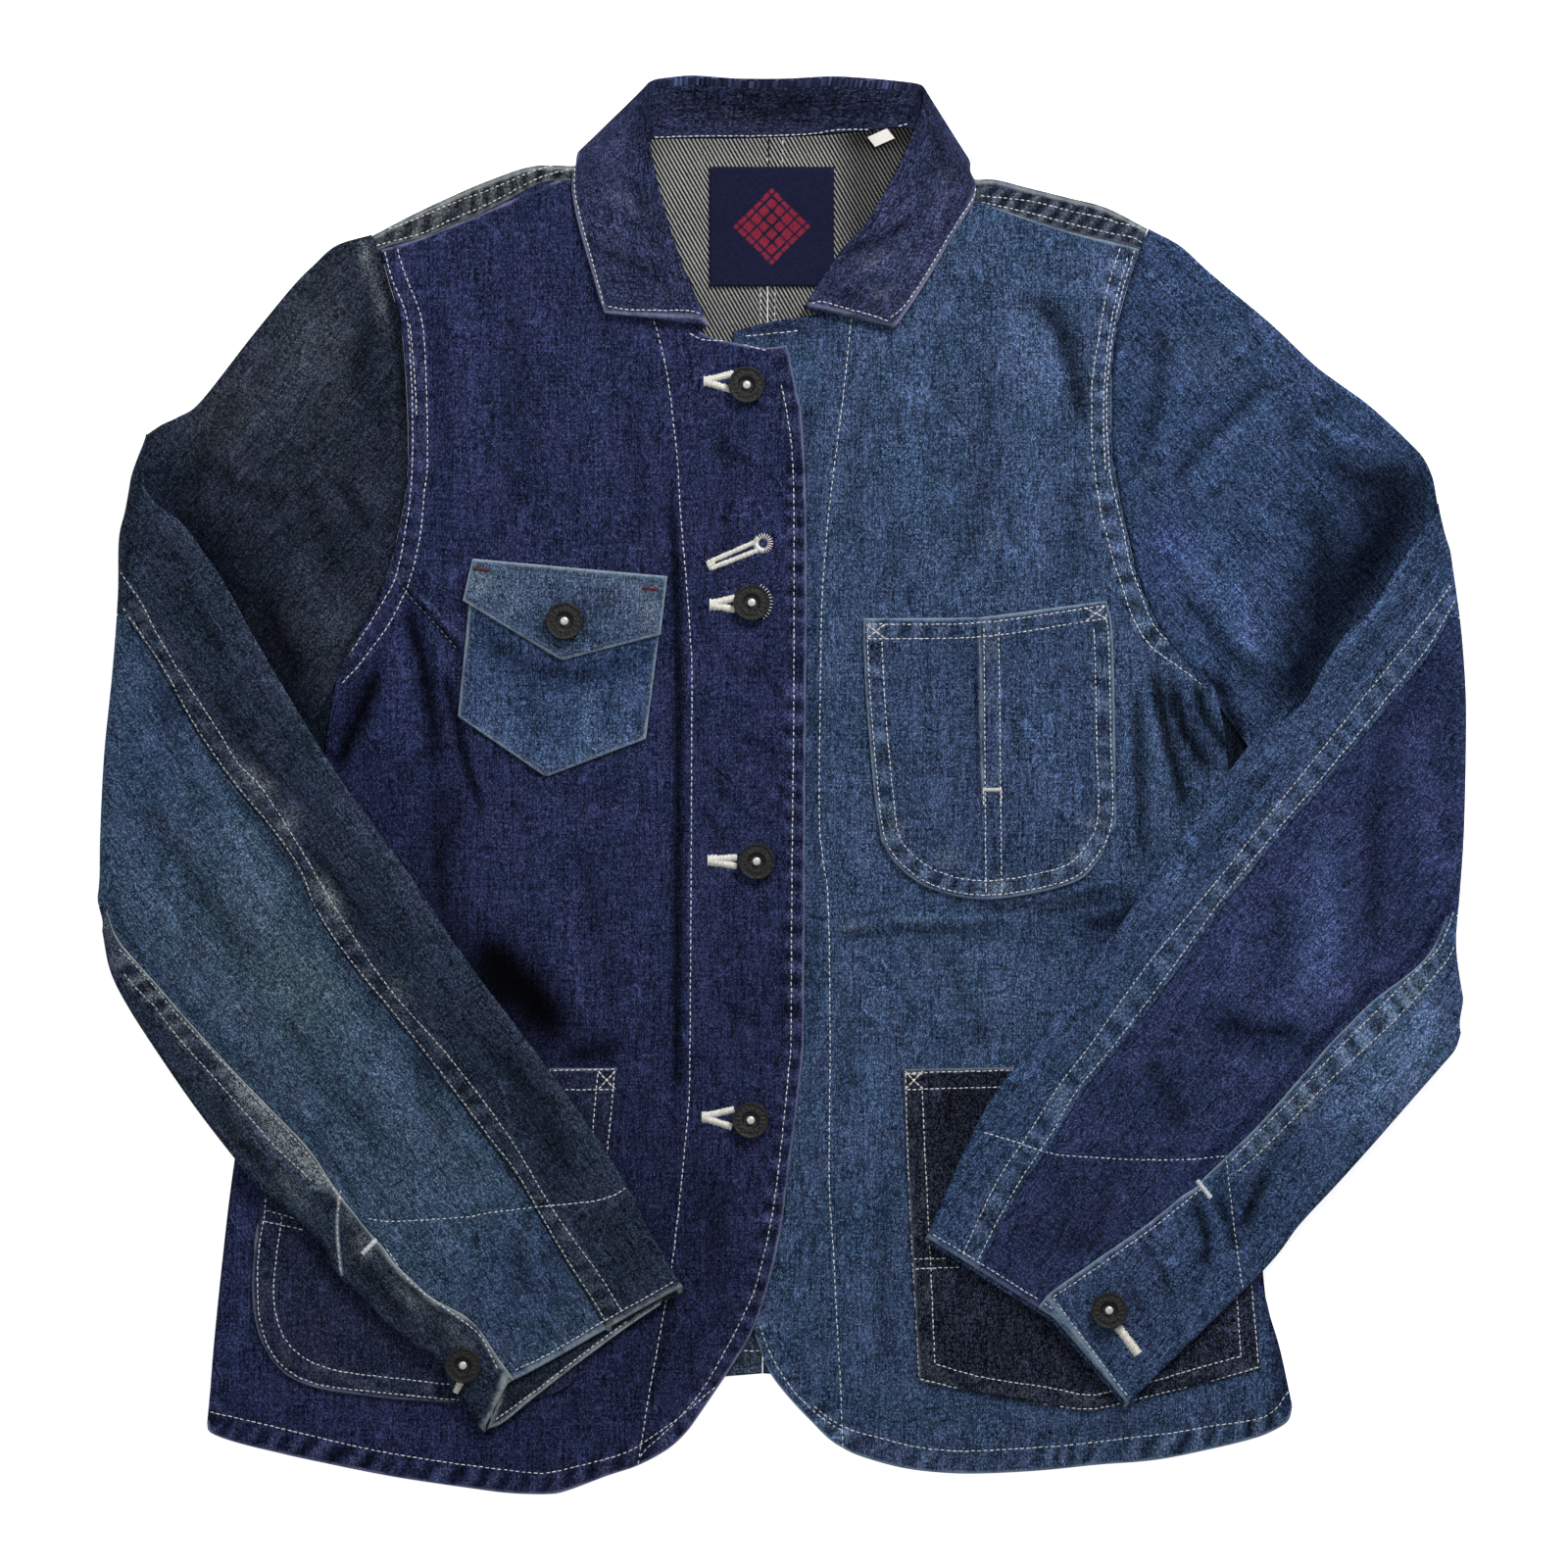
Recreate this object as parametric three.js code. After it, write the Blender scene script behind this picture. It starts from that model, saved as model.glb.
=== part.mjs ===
// A short patchwork denim work jacket, laid flat on its back with both sleeves
// folded in over the fronts. Millimetres, +Z up, origin at the middle of the
// footprint on the surface it lies on. Outlines are written in drawing units of
// 0.45 mm, x to the right and y down the jacket, and turned into millimetres by
// pt(). "Right" and "left" are the wearer's, so the right front is at -X.
import * as THREE from 'three';
import { mergeVertices } from 'three/addons/utils/BufferGeometryUtils.js';

// ---- driving dimensions -------------------------------------------------
const UNIT = 0.45;            // mm in one drawing unit
const MID_X = 799, MID_Y = 799; // drawing point over the origin
const T = 1.2;                // cloth wall
const GAP = 0.3;              // clearance between pieces that touch
const LAYER = T + GAP;        // rise of one layer on the next
const SEAM = 1.3;             // gap at a seam, in drawing units
const FOLD_Z = 5.7;           // height of the sleeve's fold axis
const SLEEVE_H0 = 2 * T + GAP; // sleeve thickness at the armhole
const SLEEVE_H1 = 5.4;        // sleeve thickness at the fold
const SLEEVE_H2 = 4.2;        // sleeve thickness at the cuff
const CUFF_Z = 4.9;           // underside of the sleeve at the cuff
const STAND_LIFT = LAYER;     // what the fall of the collar lifts the neck by
const BUTTON_R = 8.4, BUTTON_H = 3.4, CUFF_BUTTON_R = 8.2;
const BUTTON_SIDES = 12;

const COLOUR = {
  violet: 0x2b3160, teal: 0x2f4d73, charcoal: 0x262f3f, light: 0x3d5c7d,
  navy: 0x232b4e, black: 0x1e222e, back: 0x2c3a52, label: 0x1f2747, tag: 0xe6e2da, metal: 0x26272a,
};

// ---- small tools --------------------------------------------------------
const pt = (p) => [(p[0] - MID_X) * UNIT, (MID_Y - p[1]) * UNIT];
const lerp = (a, b, t) => a + (b - a) * t;
const mix = (p, q, t) => p.map((v, i) => lerp(v, q[i], t));
const sub = (p, q) => [p[0] - q[0], p[1] - q[1]];
const len = (p) => Math.hypot(p[0], p[1]);
const unit = (p) => { const l = len(p) || 1; return [p[0] / l, p[1] / l]; };
const smooth = (a, b, x) => { const t = Math.min(1, Math.max(0, (x - a) / (b - a))); return t * t * (3 - 2 * t); };

// point at fraction f of a polyline's length
function along(line, f) {
  const run = [0];
  for (let i = 1; i < line.length; i++) run.push(run[i - 1] + len(sub(line[i], line[i - 1])));
  const want = f * run[run.length - 1];
  for (let i = 1; i < line.length; i++) {
    if (want <= run[i] || i === line.length - 1) {
      return mix(line[i - 1], line[i], (want - run[i - 1]) / (run[i] - run[i - 1] || 1));
    }
  }
  return line[0];
}
// n + 1 points, evenly spread along a polyline
const spread = (line, n) => Array.from({ length: n + 1 }, (_, i) => along(line, i / n));
// point at fraction f counted in equal steps from node to node
function byNode(nodes, f) {
  const s = Math.min(nodes.length - 1 - 1e-9, Math.max(0, f * (nodes.length - 1)));
  const i = Math.floor(s);
  return mix(nodes[i], nodes[i + 1], s - i);
}
// grid [row][column] filled between four edges given as node lists
function coons(bottom, top, left, right) {
  const nu = bottom.length - 1, nv = left.length - 1, g = [];
  for (let j = 0; j <= nv; j++) {
    const v = j / nv, row = [];
    for (let i = 0; i <= nu; i++) {
      const u = i / nu;
      row.push([0, 1].map((k) => lerp(bottom[i][k], top[i][k], v) + lerp(left[j][k], right[j][k], u)
        - lerp(lerp(bottom[0][k], bottom[nu][k], u), lerp(top[0][k], top[nu][k], u), v)));
    }
    g.push(row);
  }
  return g;
}

// closed wall between two matching grids of [x, y, z]
function wall(name, a, b, colour, roughness = 0.9, metalness = 0) {
  const nj = a.length, ni = a[0].length, pos = [], tri = [];
  for (const g of [a, b]) for (const row of g) for (const p of row) pos.push(p[0], p[1], p[2]);
  const A = (j, i) => j * ni + i, B = (j, i) => nj * ni + j * ni + i;
  for (let j = 0; j < nj - 1; j++) for (let i = 0; i < ni - 1; i++) {
    tri.push([A(j, i), A(j, i + 1), A(j + 1, i + 1)], [A(j, i), A(j + 1, i + 1), A(j + 1, i)]);
    tri.push([B(j, i), B(j + 1, i + 1), B(j, i + 1)], [B(j, i), B(j + 1, i), B(j + 1, i + 1)]);
  }
  const rim = (p, q, r, s) => tri.push([p, q, r], [p, r, s]);
  for (let i = 0; i < ni - 1; i++) {
    rim(A(0, i), B(0, i), B(0, i + 1), A(0, i + 1));
    rim(A(nj - 1, i + 1), B(nj - 1, i + 1), B(nj - 1, i), A(nj - 1, i));
  }
  for (let j = 0; j < nj - 1; j++) {
    rim(A(j + 1, 0), B(j + 1, 0), B(j, 0), A(j, 0));
    rim(A(j, ni - 1), B(j, ni - 1), B(j + 1, ni - 1), A(j + 1, ni - 1));
  }
  return solid(name, pos, tri, colour, roughness, metalness);
}
function solid(name, pos, tri, colour, roughness, metalness) {
  let geo = new THREE.BufferGeometry();
  geo.setAttribute('position', new THREE.Float32BufferAttribute(pos, 3));
  geo.setIndex(tri.flat());
  geo = mergeVertices(geo, 1e-3);
  const p = geo.attributes.position, idx = geo.index.array, keep = [];
  let volume = 0;
  const va = new THREE.Vector3(), vb = new THREE.Vector3(), vc = new THREE.Vector3();
  for (let i = 0; i < idx.length; i += 3) {
    const [x, y, z] = [idx[i], idx[i + 1], idx[i + 2]];
    if (x === y || y === z || x === z) continue;
    keep.push(x, y, z);
    va.fromBufferAttribute(p, x); vb.fromBufferAttribute(p, y); vc.fromBufferAttribute(p, z);
    volume += va.dot(vb.cross(vc)) / 6;
  }
  if (volume < 0) for (let i = 0; i < keep.length; i += 3) [keep[i + 1], keep[i + 2]] = [keep[i + 2], keep[i + 1]];
  geo.setIndex(keep);
  geo.computeVertexNormals();
  const mesh = new THREE.Mesh(geo, new THREE.MeshStandardMaterial({ color: colour, roughness, metalness }));
  mesh.name = name;
  return mesh;
}

// ---- heights --------------------------------------------------------------
// the fall of the collar lies under the neck, so what is over it is lifted
const lift = (p) => STAND_LIFT * smooth(540, 580, p[0]) * (1 - smooth(1006, 1046, p[0])) * (1 - smooth(200, 250, p[1]));
// the fronts come down from it a little further out
const frontLift = (p) => STAND_LIFT * smooth(505, 565, p[0]) * (1 - smooth(1020, 1080, p[0])) * (1 - smooth(235, 330, p[1]));
// soft folds that run down the fronts from the underarms
function ridge(p, from, to, width, height) {
  const d = sub(to, from), L = len(d), u = unit(d), q = sub(p, from);
  const s = (q[0] * u[0] + q[1] * u[1]) / L, w = Math.abs(q[0] * u[1] - q[1] * u[0]) / width;
  return height * Math.exp(-w * w) * smooth(-0.1, 0.25, s) * (1 - smooth(0.7, 1.1, s));
}
const puff = (p) => ridge(p, [402, 640], [420, 900], 24, 1.3) + ridge(p, [380, 700], [330, 960], 22, 1.2)
  + ridge(p, [1186, 670], [1182, 900], 18, 0.9) + ridge(p, [1222, 700], [1255, 930], 22, 1.2);
// placket: the right front climbs over the left one
const climb = (p) => LAYER * smooth(676, 728, p[0]);
const backZ = (p) => lift(p);
const leftFrontZ = (p) => LAYER + frontLift(p) + puff(p);
const rightFrontZ = (p) => LAYER + frontLift(p) + puff(p) + climb(p);

const panel = (name, grid, zOf, colour) => {
  const at = (dz) => grid.map((row) => row.map((p) => [...pt(p), zOf(p) + dz]));
  return wall(name, at(0), at(T), colour);
};

// ---- outlines -------------------------------------------------------------
// armholes, shoulder tip to underarm: 7 nodes; the first step is the shoulder band
const armR = [[379, 239], [389, 259], [409, 328], [416, 415], [414, 505], [396, 588], [347, 672]];
const armL = [[1172, 233], [1164, 257], [1140, 335], [1134, 425], [1143, 512], [1168, 603], [1240, 699]];
const sideR = [[347, 672], [335, 738], [322, 830], [284, 1000], [242, 1190], [228, 1290], [218, 1380], [212, 1452]];
const sideL = [[1240, 699], [1253, 775], [1258, 920], [1268, 1070], [1276, 1200], [1287, 1310], [1306, 1375], [1319, 1436]];

// collar stations, along its roll line from the right front's end to the left's:
// n = neck seam, r = roll line, e = outer edge, turn = 0 where the fall lies on
// top, 180 where it lies underneath
const collar = [
  { n: [714, 337], r: [722, 333], e: [617, 320], turn: 0 },
  { n: [699, 318], r: [713, 312], e: [612, 306], turn: 0 },
  { n: [680, 287], r: [697, 275], e: [604, 278], turn: 0 },
  { n: [662, 252], r: [683, 235], e: [595, 248], turn: 0 },
  { n: [648, 222], r: [672, 195], e: [587, 217], turn: 0 },
  { n: [634, 194], r: [664, 160], e: [583, 192], turn: 0 },
  { n: [624, 176], r: [660, 128], e: [584, 176], turn: 0 },
  { n: [623, 166], r: [660, 108], e: [588, 168], turn: 0 },
  { n: [628, 158], r: [659, 96], e: [588.5, 160], turn: 45 },
  { n: [638, 151], r: [660, 88], e: [589.5, 156], turn: 90 },
  { n: [648, 146], r: [663, 84], e: [596, 160], turn: 135 },
  { n: [661, 141], r: [670, 81], e: [611, 172], turn: 180 },
  { n: [703, 140], r: [705, 77], e: [676, 183], turn: 180 },
  { n: [745, 140], r: [752, 81], e: [740, 186], turn: 180 },
  { n: [790, 139], r: [802, 81], e: [800, 187], turn: 180 },
  { n: [835, 137], r: [850, 78], e: [862, 186], turn: 180 },
  { n: [880, 133], r: [895, 81], e: [922, 181], turn: 180 },
  { n: [922, 129], r: [932, 85], e: [972, 173], turn: 180 },
  { n: [938, 133], r: [940, 87], e: [985, 166], turn: 135 },
  { n: [950, 140], r: [943, 91], e: [989, 164], turn: 90 },
  { n: [962, 150], r: [943, 98], e: [990, 168], turn: 45 },
  { n: [967, 161], r: [942, 107], e: [990, 175], turn: 0 },
  { n: [967, 174], r: [938, 122], e: [996, 187], turn: 0 },
  { n: [962, 197], r: [925, 155], e: [995, 204], turn: 0 },
  { n: [944, 221], r: [905, 195], e: [983, 224], turn: 0 },
  { n: [921, 244], r: [884, 230], e: [967, 250], turn: 0 },
  { n: [893, 269], r: [858, 257], e: [950, 280], turn: 0 },
  { n: [862, 299], r: [838, 288], e: [931, 310], turn: 0 },
  { n: [836, 322], r: [821, 314], e: [914, 334], turn: 0 },
];
// the panels' neck edge: the stand's seam moved clear of it
const neckEdge = (k) => { const s = collar[k], d = unit(sub(s.n, s.r)); return [s.n[0] + d[0] * SEAM, s.n[1] + d[1] * SEAM]; };

// shoulder: the fold over the top, and the felled edge that lies on the front
const foldR = [[381, 243], [420, 222.5], [460, 203.5], [500, 186.5], [545, 172], [592, 172], [612, 163]];
const bandR = [[389, 257], [420, 246.5], [460, 231.5], [500, 214.5], [545, 191], [592, 184], [619, 176]];
const foldL = [[1170, 236], [1128, 214.5], [1090, 204.5], [1050, 194.5], [1015, 186], [996, 186], [987, 181]];
const bandL = [[1164, 255], [1128, 246], [1090, 237], [1050, 224], [1015, 212], [996, 205], [986, 197]];

// ---- backs ------------------------------------------------------------------
// rows run from the hem to the neck and shoulder, then over the shoulder fold
const BACK_ROWS = [1402, 1250, 1100, 950, 800, 680, 560, 460, 380, 316, 270, 236, 203, 141];
function backPanel(name, centre, fold, band, arm, side, neck, colour) {
  const rim = [...fold, ...neck];
  const left = [...[...side].reverse(), ...[...arm].reverse().slice(1)];
  left[left.length - 1] = fold[0];
  const rows = left.length - 1;
  const right = BACK_ROWS.map((y) => [lerp(centre[0][0], centre[1][0], (1402 - y) / (1402 - 141)), y]);
  right[rows] = neck[neck.length - 1];
  const hem = spread([side[side.length - 1], mix(side[side.length - 1], centre[0], 0.5), centre[0]], rim.length - 1);
  const grid = coons(hem, rim, left, right);
  const out = grid.map((row) => row.map((p) => [...pt(p), backZ(p)]));
  const inn = grid.map((row) => row.map((p) => [...pt(p), backZ(p) + T]));
  const R = T + GAP / 2, r = GAP / 2;
  const outward = rim.map((_, i) => {
    const a = fold[Math.max(0, Math.min(fold.length - 1, i) - 1)], b = fold[Math.min(fold.length - 1, i + 1)];
    const d = unit(sub(b, a));
    const h = [d[1], -d[0]];
    return h[1] < 0 ? h : [-h[0], -h[1]];
  });
  for (const deg of [45, 90, 135, 180]) {
    const s = Math.sin(deg * Math.PI / 180), c = Math.cos(deg * Math.PI / 180);
    const rows2 = [R, r].map((rad) => rim.map((p, i) => {
      if (i >= fold.length) return i; // the neck edge has no fold
      const [x, y] = pt(p), h = outward[i];
      return [x + h[0] * rad * s, y - h[1] * rad * s, R - rad * c + backZ(p)];
    }));
    out.push(rows2[0].map((p, i) => (typeof p === 'number' ? out[grid.length - 1][i] : p)));
    inn.push(rows2[1].map((p, i) => (typeof p === 'number' ? inn[grid.length - 1][i] : p)));
  }
  const edge = rim.map((p, i) => (i < fold.length ? [band[i][0], band[i][1] - SEAM] : p));
  out.push(edge.map((p, i) => (i < fold.length ? [...pt(p), LAYER + T + backZ(p)] : out[grid.length - 1][i])));
  inn.push(edge.map((p, i) => (i < fold.length ? [...pt(p), LAYER + backZ(p)] : inn[grid.length - 1][i])));
  return wall(name, out, inn, colour);
}
const neckBackR = [8, 9, 10, 11, 12, 13].map(neckEdge).concat([[783.6, neckEdge(14)[1]]]);
const neckBackL = [20, 19, 18, 17, 16, 15].map(neckEdge).concat([[784.6, neckEdge(14)[1]]]);
const backRight = backPanel('back_right', [[777.6, 1402], [783.6, 141]], foldR, bandR, armR, sideR, neckBackR, COLOUR.back);
const backLeft = backPanel('back_left', [[778.6, 1402], [784.6, 141]], foldL, bandL, armL, sideL, neckBackL, COLOUR.navy);

// ---- fronts -----------------------------------------------------------------
const frontEdgeR = [[716, 1440], [730, 1420], [755, 1380], [775, 1340], [790, 1290], [800, 1230], [809, 1170], [815, 1110],
  [820, 1050], [821, 900], [822, 750], [823, 600], [822, 500], [818, 425], [803, 353]];
const hemR = [[212, 1456], [240, 1472], [320, 1491], [400, 1507], [480, 1519], [560, 1525], [620, 1506], [680, 1480], [716, 1440]];
const frontTopR = [...bandR.slice(0, 6), ...[6, 5, 4, 3, 2, 1, 0].map(neckEdge), [745, 349], [775, 355], [803, 353]];
function frontPanel(name, hem, top, arm, side, edge, zOf, colour) {
  const outer = [...[...side].reverse(), ...[...arm].reverse().slice(1, -1)];
  outer[0] = hem[0]; outer[outer.length - 1] = top[0];
  const inner = spread(edge, outer.length - 1);
  const bottom = spread(hem, top.length - 1);
  bottom[0] = hem[0];
  return panel(name, coons(bottom, top, outer, inner), zOf, colour);
}
const frontRight = frontPanel('front_right', hemR, frontTopR, armR, sideR, frontEdgeR, rightFrontZ, COLOUR.violet);
const frontEdgeL = [[832, 1455], [808, 1430], [785, 1400], [770, 1362], [755, 1320], [744, 1200], [740, 1000], [740, 700], [742, 450], [748, 338]];
const hemL = [[1319, 1438], [1313, 1452], [1275, 1470], [1166, 1490], [1080, 1499], [1000, 1502], [920, 1497], [860, 1479], [832, 1455]];
const frontTopL = [...bandL.slice(0, 6), ...[23, 24, 25, 26, 27, 28].map(neckEdge), [815, 324], [782, 329], [748, 338]];
const frontLeft = frontPanel('front_left', hemL, frontTopL, armL, sideL, frontEdgeL, leftFrontZ, COLOUR.teal);

// ---- collar -------------------------------------------------------------------
function collarBand() {
  const out = [], inn = [], half = T / 2;
  collar.forEach((s, k) => {
    const phi = s.turn * Math.PI / 180, c = Math.cos(phi), sn = Math.sin(phi);
    const rightSide = k > 14 ? -1 : 1;
    const toN = unit(sub(s.n, s.r)), toE = unit(sub(s.e, s.r));
    const bulge = unit([-(toN[0] + toE[0]), -(toN[1] + toE[1])]);
    // horizontal normals: away from the jacket for the fall, into the neck for the stand
    let hf = [toE[1], -toE[0]]; if (hf[1] > 0) hf = [-hf[0], -hf[1]];
    let hs = [toN[1], -toN[0]]; if (hs[0] * rightSide < 0) hs = [-hs[0], -hs[1]];
    const top = (c + 1) / 2; // 1 on the wings, 0 at the back
    const standZ = () => T / 2 + STAND_LIFT + LAYER * top;
    const fallZ = () => lerp(T / 2, T / 2 + STAND_LIFT + 2 * LAYER, top);
    const pull = (s.turn === 0 || s.turn === 180) ? 4.4 : 9;
    const stand = [s.n, mix(s.n, s.r, 0.5), [s.r[0] + toN[0] * pull, s.r[1] + toN[1] * pull]];
    if (len(sub(s.n, s.r)) < 2.2 * pull) { stand[1] = mix(s.n, s.r, 0.3); stand[2] = mix(s.n, s.r, 0.6); }
    const fall = [[s.r[0] + toE[0] * pull, s.r[1] + toE[1] * pull], mix(s.r, s.e, 0.36), mix(s.r, s.e, 0.68), s.e];
    const ro = [], ri = [];
    const add = (p, z, n) => {
      const [x, y] = pt(p);
      ro.push([x + n[0] * half, y - n[1] * half, z + n[2] * half]);
      ri.push([x - n[0] * half, y + n[1] * half, z - n[2] * half]);
    };
    for (const p of stand) add(p, standZ(p), [hs[0] * sn, hs[1] * sn, -c]);
    add(s.r, (standZ(s.r) + fallZ(s.r)) / 2, [bulge[0], bulge[1], 0]);
    for (const p of fall) add(p, fallZ(p), [hf[0] * sn, hf[1] * sn, c]);
    out.push(ro); inn.push(ri);
  });
  return wall('collar', out, inn, COLOUR.violet);
}

// ---- sleeves ---------------------------------------------------------------------
// Each sleeve is a flat tube that runs out from the armhole, folds over on a slanted
// line at the elbow and lies back across the front. w runs across the tube, from its
// upper edge to its lower one; h is the height in the tube, before it folds over.
function sleeve(d) {
  const upRows = [0, 0.25, 0.5, 0.75, 1];
  const bend = [36, 72, 108, 144];
  const downRows = d.downRows;
  const nw = 24;
  const armNodes = d.arm.map((p) => [p[0] + d.out * SEAM, p[1] + SEAM * 0.4]);
  const upper = coons(Array.from({ length: nw + 1 }, (_, i) => byNode(armNodes, i / nw)), spread(d.fold, nw),
    spread(d.topEdge, 16), spread(d.underEdge, 16));
  const lower = coons(spread(d.fold, nw), spread(d.cuff, nw), spread(d.upperEdge, 24), spread(d.lowerEdge, 24));
  const at = (grid, l, w) => {
    const y = Math.min(grid.length - 1 - 1e-9, Math.max(0, l * (grid.length - 1))), j = Math.floor(y);
    const x = Math.min(grid[0].length - 1 - 1e-9, Math.max(0, w * (grid[0].length - 1))), i = Math.floor(x);
    return mix(mix(grid[j][i], grid[j][i + 1], x - i), mix(grid[j + 1][i], grid[j + 1][i + 1], x - i), y - j);
  };
  // w at which a row of the lower arm crosses a line
  const crossing = (l, line) => {
    let best = [1e9, 0];
    for (let k = 0; k <= 400; k++) {
      const p = at(lower, l, k / 400);
      for (let i = 1; i < line.length; i++) {
        const a = line[i - 1], b = line[i], ab = sub(b, a), f = Math.min(1, Math.max(0, ((p[0] - a[0]) * ab[0] + (p[1] - a[1]) * ab[1]) / (len(ab) ** 2)));
        const e = len(sub(p, mix(a, b, f)));
        if (e < best[0]) best = [e, k / 400];
      }
    }
    return best[1];
  };
  const rows = [];
  const wA0 = crossing(0, d.seamA), wB0 = crossing(0, d.seamB);
  for (const l of upRows) rows.push({ part: 'up', l, H: lerp(SLEEVE_H0, SLEEVE_H1, smooth(0, 0.7, l)), a: lerp(d.armA, wA0, l), b: lerp(d.armB, wB0, l), raise: 0 });
  for (const deg of bend) rows.push({ part: 'bend', deg, H: SLEEVE_H1, a: wA0, b: wB0, raise: 0 });
  for (const l of downRows) {
    const H = lerp(SLEEVE_H1, SLEEVE_H2, l);
    const b = l < d.ventL ? crossing(l, d.seamB) : lerp(crossing(d.ventL, d.seamB), d.cuffB, (l - d.ventL) / (1 - d.ventL));
    const flap = l <= d.ventL + 1e-6 ? b : Math.min(b, crossing(l, d.flap));
    rows.push({ part: 'down', l, H, top: lerp(2 * FOLD_Z, CUFF_Z + SLEEVE_H2, smooth(0, 1, l)), a: crossing(l, d.seamA), b, flap, raise: l >= d.ventL - 1e-6 ? LAYER : 0 });
  }
  const place = (row, w, h) => {
    if (row.part === 'up') return [...pt(at(upper, row.l, w)), h];
    if (row.part === 'bend') {
      const p = along(d.fold, w), q = along(d.fold, Math.min(1, w + 0.02)), o = along(d.fold, Math.max(0, w - 0.02));
      const t = unit(sub(q, o));
      let n = [t[1], -t[0]]; if (n[0] * d.out < 0) n = [-n[0], -n[1]];
      const R = FOLD_Z - h, th = row.deg * Math.PI / 180, [x, y] = pt(p);
      return [x + n[0] * R * Math.sin(th), y - n[1] * R * Math.sin(th), FOLD_Z - R * Math.cos(th)];
    }
    const end = row.l === 1 && h > row.H / 2 ? d.under : 0; // the far layer reaches a little further out
    const p = at(lower, row.l, w);
    return [...pt([p[0] + end * d.along[0], p[1] + end * d.along[1]]), row.top - h];
  };
  const widthOf = (row) => {
    const g = row.part === 'up' ? upper : lower, l = row.part === 'bend' ? 0 : row.l;
    return len(sub(at(g, l, 0), at(g, l, 1))) * UNIT;
  };
  const shell = rows.map((row) => {
    const W = widthOf(row), r = row.H / 2, o = [], i = [];
    const add = (wo, ho, wi, hi) => { o.push(place(row, wo, ho)); i.push(place(row, wi, hi)); };
    const turns = [0, 60, 120, 180].map((v) => v * Math.PI / 180);
    const g = 0.3 / W;
    add(row.a - g, 0, row.a - g, T);
    add(row.a * 0.5, 0, row.a * 0.5, T);
    for (const t of turns) add((r - r * Math.sin(t)) / W, r - r * Math.cos(t), (r - (r - T) * Math.sin(t)) / W, r - (r - T) * Math.cos(t));
    for (let k = 1; k < 6; k++) add(k / 6, row.H, k / 6, row.H - T);
    for (const t of [...turns].reverse()) add(1 - (r - r * Math.sin(t)) / W, r - r * Math.cos(t), 1 - (r - (r - T) * Math.sin(t)) / W, r - (r - T) * Math.cos(t));
    const free = row.part === 'down' && row.raise > 0;
    const near = lerp(row.b, 1, 0.45);
    if (free) {
      add(near, -row.raise * 0.5, near, T - row.raise * 0.5);
      add(row.b + 2 * g, -row.raise, row.b + 2 * g, T - row.raise);
      add(Math.min(row.flap, row.b) + g, -row.raise, Math.min(row.flap, row.b) + g, T - row.raise);
    } else {
      add(near, 0, near, T);
      add(row.b + 2 * g, 0, row.b + 2 * g, T);
      add(row.b + g, 0, row.b + g, T);
    }
    return [o, i];
  });
  const strip = rows.map((row) => {
    const W = widthOf(row), g = 0.3 / W, o = [], i = [];
    for (let k = 0; k <= 4; k++) {
      const w = lerp(row.a + g, row.b - g, k / 4);
      o.push(place(row, w, 0)); i.push(place(row, w, T));
    }
    return [o, i];
  });
  return [
    wall('top_sleeve_' + d.name, shell.map((s) => s[0]), shell.map((s) => s[1]), d.topColour),
    wall('under_sleeve_' + d.name, strip.map((s) => s[0]), strip.map((s) => s[1]), d.underColour),
  ];
}
const rightSleeve = sleeve({
  name: 'right', out: -1, arm: armR, armA: 0.32, armB: 0.9, topColour: COLOUR.charcoal, underColour: COLOUR.light,
  topEdge: [[379 - SEAM, 239], [343, 250], [300, 290], [251, 350], [204, 410], [168, 436], [160, 452]],
  fold: [[160, 452], [146, 500], [135, 550], [133, 610], [127, 690], [120, 770], [116, 850], [116, 930], [118, 948]],
  underEdge: [[347 - SEAM, 673], [327, 725], [280, 795], [210, 868], [118, 948]],
  upperEdge: [[160, 452], [155, 505], [190, 538], [230, 595], [260, 650], [295, 710], [345, 790], [420, 895], [480, 985], [556, 1085], [635, 1200], [697, 1312]],
  lowerEdge: [[118, 948], [130, 1025], [160, 1072], [200, 1130], [240, 1182], [290, 1232], [345, 1300], [390, 1345], [450, 1392], [495, 1455]],
  cuff: [[697, 1312], [620, 1355], [540, 1402], [495, 1455]],
  seamA: [[126, 624], [155, 666], [200, 746], [260, 826], [300, 882], [340, 962], [400, 1038], [470, 1128], [530, 1208], [590, 1306], [618, 1354]],
  seamB: [[104, 908], [130, 968], [180, 1025], [240, 1092], [300, 1155], [345, 1215], [390, 1268]],
  flap: [[384, 1262], [420, 1303], [460, 1333], [495, 1360], [519, 1396]],
  ventL: 0.62, cuffB: 0.9, under: 6, along: [-0.1, 1], downRows: [0, 0.12, 0.25, 0.38, 0.5, 0.62, 0.75, 0.88, 1],
});
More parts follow.
